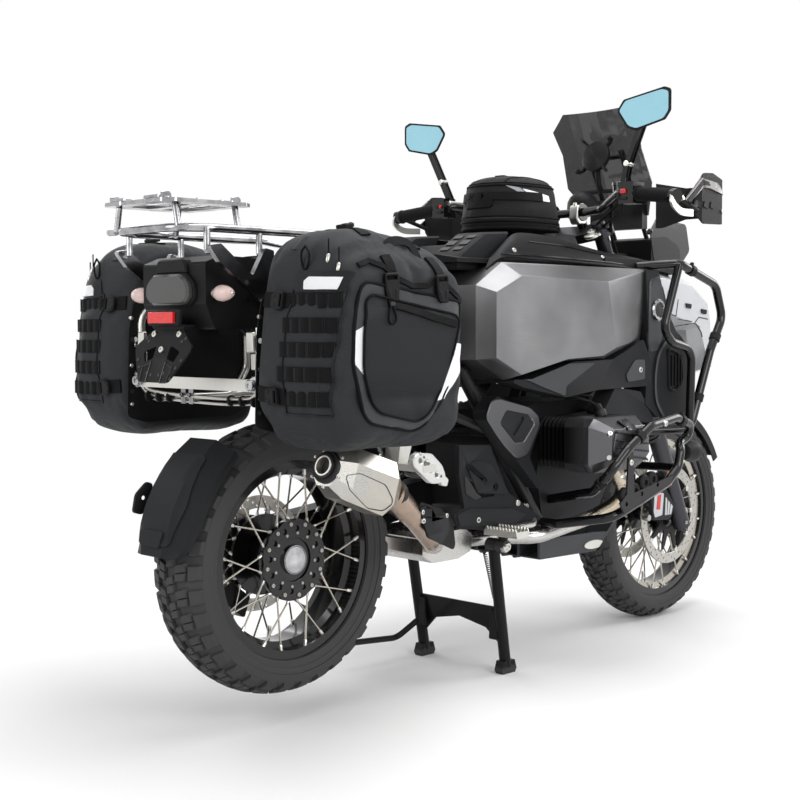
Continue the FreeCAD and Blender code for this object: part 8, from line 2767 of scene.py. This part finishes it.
    def guards(self) -> None:
        """Silver arms, upper deflectors, vents and screws of the handguards."""
        skin = of_node("handguards")
        arm = places(self.guard_arm)
        form = along_path(flowing(arm), strip(0.009, 0.003), LEFT)
        self.pair("guard_arms", form, SATIN_SILVER, "guard_plastic")
        top = [(936, 1284), (988, 1298), (1120, 1286), (1160, 1256), (1080, 1270), (1022, 1268), (950, 1256)]
        panel = skin.patch(beside(top, 6, 700), LEFT, 0.004, 0.02)
        self.pair("guard_deflectors", panel, DEFLECTOR_BROWN, "guard_plastic", bevel=0.001)
        inset = skin.patch(beside(self.guard_inset, 3, 700), LEFT, 0.0055)
        vents = Form()
        for k in range(4):
            vents.add(
                skin.patch(
                    beside(
                        [
                            (986 + 34 * k, 1236), (1010 + 34 * k, 1232), (1004 + 34 * k, 1216),
                            (982 + 34 * k, 1220)
                        ],
                        4, 700
                    ),
                    LEFT, 0.003
                )
            )
        self.pair("guard_vents", inset.add(vents), MOULDED, "guard_plastic")
        self.pair("guard_screws", heads(skin, self.guard_screws, 6, 4), SATIN_SILVER, "peg_silver")

    def clamps(self) -> None:
        """Bar clamps, fork caps and the steering damper's nut."""
        form, screws, caps = Form(), Form(), Form()
        shape = [
            (1074, 1252), (1112, 1258), (1124, 1246), (1120, 1214), (1110, 1200), (1080, 1198), (1070, 1214)
        ]
        form.add(flat(View.RIGHT, 50, shape, 30, 6, 2.5))
        for x in (1080, 1114):
            screws.add(bolt(place(x, -50, 1254), UP, 0.0055, 0.006, 12))
        self.pair("bar_clamps", form, SATIN_SILVER, "bar_black")
        up = (steer(1400, 112) - steer(1200, 112)).normalized()
        for y in (112, -112):
            at = steer(1297, y)
            caps.add(turned(at - up * 0.002, at + up, self.fork_cap, 32))
            caps.add(bolt(at + up * 0.008, up, 0.013, 0.008, 6))
            caps.add(turned(at + up * 0.014, at + up, self.cap_nut, 16))
        self.pair("bar_clamp_screws", screws, STEEL, "bar_black")
        self.show("fork_caps", caps, SATIN_SILVER, "fork_black")

    def cables(self) -> None:
        """Brake and clutch hoses and throttle cables, from the levers to the fork."""
        form = Form()
        for way in (1, -1):
            form.add(
                tube(
                    flowing(
                        places(
                            [
                                (985, way * 268, 1262), (1010, way * 232, 1250), (1060, way * 190, 1214),
                                (1130, way * 140, 1170), (1190, way * 116, 1120)
                            ]
                        )
                    ),
                    0.0048, 10
                )
            )
            form.add(
                tube(
                    flowing(
                        places(
                            [
                                (960, way * 300, 1250), (1004, way * 262, 1222), (1070, way * 170, 1196),
                                (1150, way * 90, 1190)
                            ]
                        )
                    ),
                    0.0036, 10
                )
            )
        form.add(tube(flowing(places(self.throttle_path)), 0.0036, 10))
        self.show("handlebar_cables", form, GRIP_RUBBER, "bar_black")


@dataclass
class FrontEnd(Assembly):
    """Calipers, reflectors, leg trim and fender trim that turn with the fork."""

    body: str = "steering"
    caliper_face: Tuple[Pair, ...] = (
        (1378, 398), (1402, 408), (1428, 404), (1420, 338), (1382, 334), (1374, 352)
    )
    caliper_stripe: Tuple[Pair, ...] = ((1394, 400), (1412, 403), (1405, 356), (1388, 358))
    caliper_pin: Tuple[Pair, ...] = ((0, 0.0), (0, 0.009), (0.018, 0.011), (0.022, 0.009), (0.022, 0.0))

    def build(self) -> None:
        """Make the pieces."""
        skin = of_node("fork")
        body = [(1366, 394), (1404, 418), (1445, 418), (1496, 360), (1468, 320), (1376, 326)]
        self.pair("caliper_faces", flat(View.RIGHT, 118, body, 16, 8, 3), CAST_BLACK, "fork_black")
        silver = flat(View.RIGHT, 126.5, self.caliper_face, 3, 4, 0.8)
        for k in range(3):
            silver.add(
                flat(
                    View.RIGHT, 126.5,
                    [
                        (1438 + 15 * k, 392 - 12 * k), (1447 + 15 * k, 384 - 12 * k), (1444 + 12 * k, 336),
                        (1435 + 12 * k, 336)
                    ],
                    3, 2, 0.6
                )
            )
        self.pair("caliper_panels", silver, SILVER_PAINT, "fork_black")
        stripe = flat(View.RIGHT, 128.5, self.caliper_stripe, 2, 2, 0.4)
        self.pair("caliper_stripes", stripe, RED_PLASTIC, "fork_black")
        screws = Form()
        for x, z in ((1354, 336), (1554, 334)):
            screws.add(turned(place(x, -104, z), place(x, -130, z), self.caliper_pin, 24))
        screws.add(heads(skin, [(1534, 345), (1534, 305)], 6, 4, 6))
        self.pair("fork_screws", screws, STEEL, "fork_black")
        at, out = steer(504, -143), -LEFT
        spot = spot_of(at + out * 0.001, AHEAD, out)
        reflector = plate(soft_corners(box(0.011, 0.024), 0.003), 0.006, spot, chamfer=0.001)
        self.pair("fork_reflectors", reflector, AMBER, "lamp_clear")
        up = (steer(1400, 112) - steer(1200, 112)).normalized()
        rings = Form()
        for along, radius in ((640, 0.032), (652, 0.03), (860, 0.031)):
            middle = steer(along, -112)
            rings.add(
                turned(
                    middle - up * 0.005, middle + up,
                    [(0, radius - 0.004), (0.001, radius), (0.009, radius), (0.01, radius - 0.004)], 32
                )
            )
        self.pair("fork_rings", rings, CAST_BLACK, "fork_black")
        fender = of_node("front_fender")
        line = []
        for a in (math.radians(34 + 8 * k) for k in range(12)):
            outward = Vector((math.cos(a), 0, math.sin(a)))
            line.append(
                fender.hit(place(1534 + 360 * math.cos(a), 0, 325 + 360 * math.sin(a)), -outward, 0.001)[0]
            )
        ribs = along_path(line, strip(0.016, 0.002, 0.01, 0.004), LEFT)
        self.show("fender_rib", ribs, MOULDED_BLACK, "guard_plastic")
        self.pair("fender_screws", heads(fender, [(1480, 640), (1590, 640)], 6, 4), STEEL, "peg_silver")


@dataclass
class Nose(Assembly):
    """Screen trim, device mount, lamp lens, beak pads and the ignition dome."""

    screen_grommet: Tuple[Pair, ...] = (
        (-0.008, 0.004), (-0.002, 0.009), (0.001, 0.009), (0.004, 0.006), (0.004, 0.0)
    )
    mount_plate: Tuple[Pair, ...] = (
        (0, 0.012), (0.004, 0.04), (0.016, 0.046), (0.024, 0.046), (0.028, 0.04), (0.029, 0.0)
    )
    dome: Tuple[Pair, ...] = (
        (0, 0.046), (0.02, 0.048), (0.046, 0.042), (0.06, 0.032), (0.07, 0.015), (0.072, 0.0)
    )
    mount_stem: Tuple[Triple, ...] = ((1262, 0, 1398), (1256, 0, 1370), (1262, 0, 1330), (1276, 0, 1306))
    lamp_bowl: Tuple[Pair, ...] = (
        (0, 0.0), (0.0, 0.012), (0.004, 0.024), (0.007, 0.03), (0.008, 0.032), (0.0, 0.033)
    )
    beak_screws: Tuple[Pair, ...] = ((1470, 1010), (1400, 900), (1440, 820))
    beak_pad: Tuple[Pair, ...] = ((-16, 8), (14, 5), (12, -9), (-14, -6))

    def build(self) -> None:
        """Make the pieces."""
        self.screen()
        self.mount()
        self.lamp()
        self.beak()

    def screen(self) -> None:
        """Screws and washers of the windshield."""
        skin = of_node("windshield")
        form = Form()
        for y, z in ((58, 1300), (58, 1420), (-58, 1300), (-58, 1420)):
            at, out = skin.hit(place(700, y, z), AHEAD)
            form.add(turned(at, at + out, self.screen_grommet, 20))
        self.show("windshield_screws", form, GLOSS_BLACK, "stay_black")

    def mount(self) -> None:
        """Round device mount with four claws on a stalk, and the ignition dome."""
        behind = Vector((-1, 0, 0.28)).normalized()
        at = place(1266, 0, 1404)
        form = turned(at, at + behind, self.mount_plate, 40)
        spot = spot_of(at + behind * 0.024, LEFT, behind)
        for k in range(4):
            a = math.radians(45 + 90 * k)
            along, side = Vector((math.cos(a), math.sin(a), 0)), Vector((-math.sin(a), math.cos(a), 0))
            arm = [
                spot @ (along * r + Vector((0, 0, h)))
                for r, h in ((0.03, -0.006), (0.058, -0.006), (0.066, 0.0), (0.068, 0.014))
            ]
            form.add(along_path(arm, strip(0.007, 0.0025), (spot.to_3x3() @ side)))
        form.add(tube(flowing(places(self.mount_stem)), 0.008, 12))
        form.add(tube(places([(1276, -56, 1308), (1276, 56, 1308)]), 0.006, 12))
        self.show("device_mount", form, MOULDED_BLACK, "stay_black")
        foot = place(1190, 0, 1232)
        form = turned(foot, foot + Vector((-0.25, 0, 1)), self.dome, 40)
        self.show("cockpit_dome", form, MOULDED_BLACK, "cowl_black", body="steering")

    def lamp(self) -> None:
        """Headlamp lens and its two bowls."""
        shape = [(-88, 1160), (-60, 1174), (60, 1174), (88, 1160), (76, 1088), (0, 1074), (-76, 1088)]
        self.show("headlamp_lens", flat(View.REAR, 1557, shape, 8, 12, 2), LAMP_LENS, "lamp_clear")
        bowls = Form()
        for y in (-40, 40):
            at = place(1550, y, 1124)
            bowls.add(turned(at, at + AHEAD, self.lamp_bowl, 32))
        self.show("headlamp_bowls", bowls, POLISHED, "lamp_clear")

    def beak(self) -> None:
        """Pads, engraved lines and screws of the beak."""
        skin = of_node("beak")
        pads, lines = Form(), Form()
        for x, z in ((1576, 971), (1664, 954)):
            pads.add(
                skin.patch(
                    [place(x + u, -640, z + v) for u, v in soft_corners(self.beak_pad, 3)], LEFT, 0.004
                )
            )
        for path in (
            ((1536, 930), (1597, 922), (1628, 861)), ((1600, 908), (1637, 936), (1690, 930)),
            ((1440, 860), (1500, 900), (1520, 990))
        ):
            lines.add(skin.strap([place(x, -640, z) for x, z in path], LEFT, 0.0035, 0.0007))
        self.pair("beak_pads", pads, MOULDED_BLACK, "cowl_black")
        self.pair("beak_lines", lines, CAST_GREY, "cowl_grey")
        self.pair("beak_screws", heads(skin, self.beak_screws, 6, 4), CAST_BLACK, "cowl_black")


ASSEMBLIES: Tuple[Callable[[], Assembly], ...] = (
    rear_tyre, front_tyre, rear_wheel, front_wheel, Panniers, TankTrim, SoftSeats, TankBag, Tail, Exhaust,
    Engine, Stands, Cockpit, FrontEnd, Nose
)


def main() -> None:
    """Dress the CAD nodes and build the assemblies."""
    logging.basicConfig(level=logging.INFO, format="%(name)s: %(message)s")
    Stage().build()
    for node, (finish, bevel) in NODE_FINISHES.items():
        dress(node, finish, bevel)
    for make in ASSEMBLIES:
        make().build()


if __name__ == "__main__":
    main()
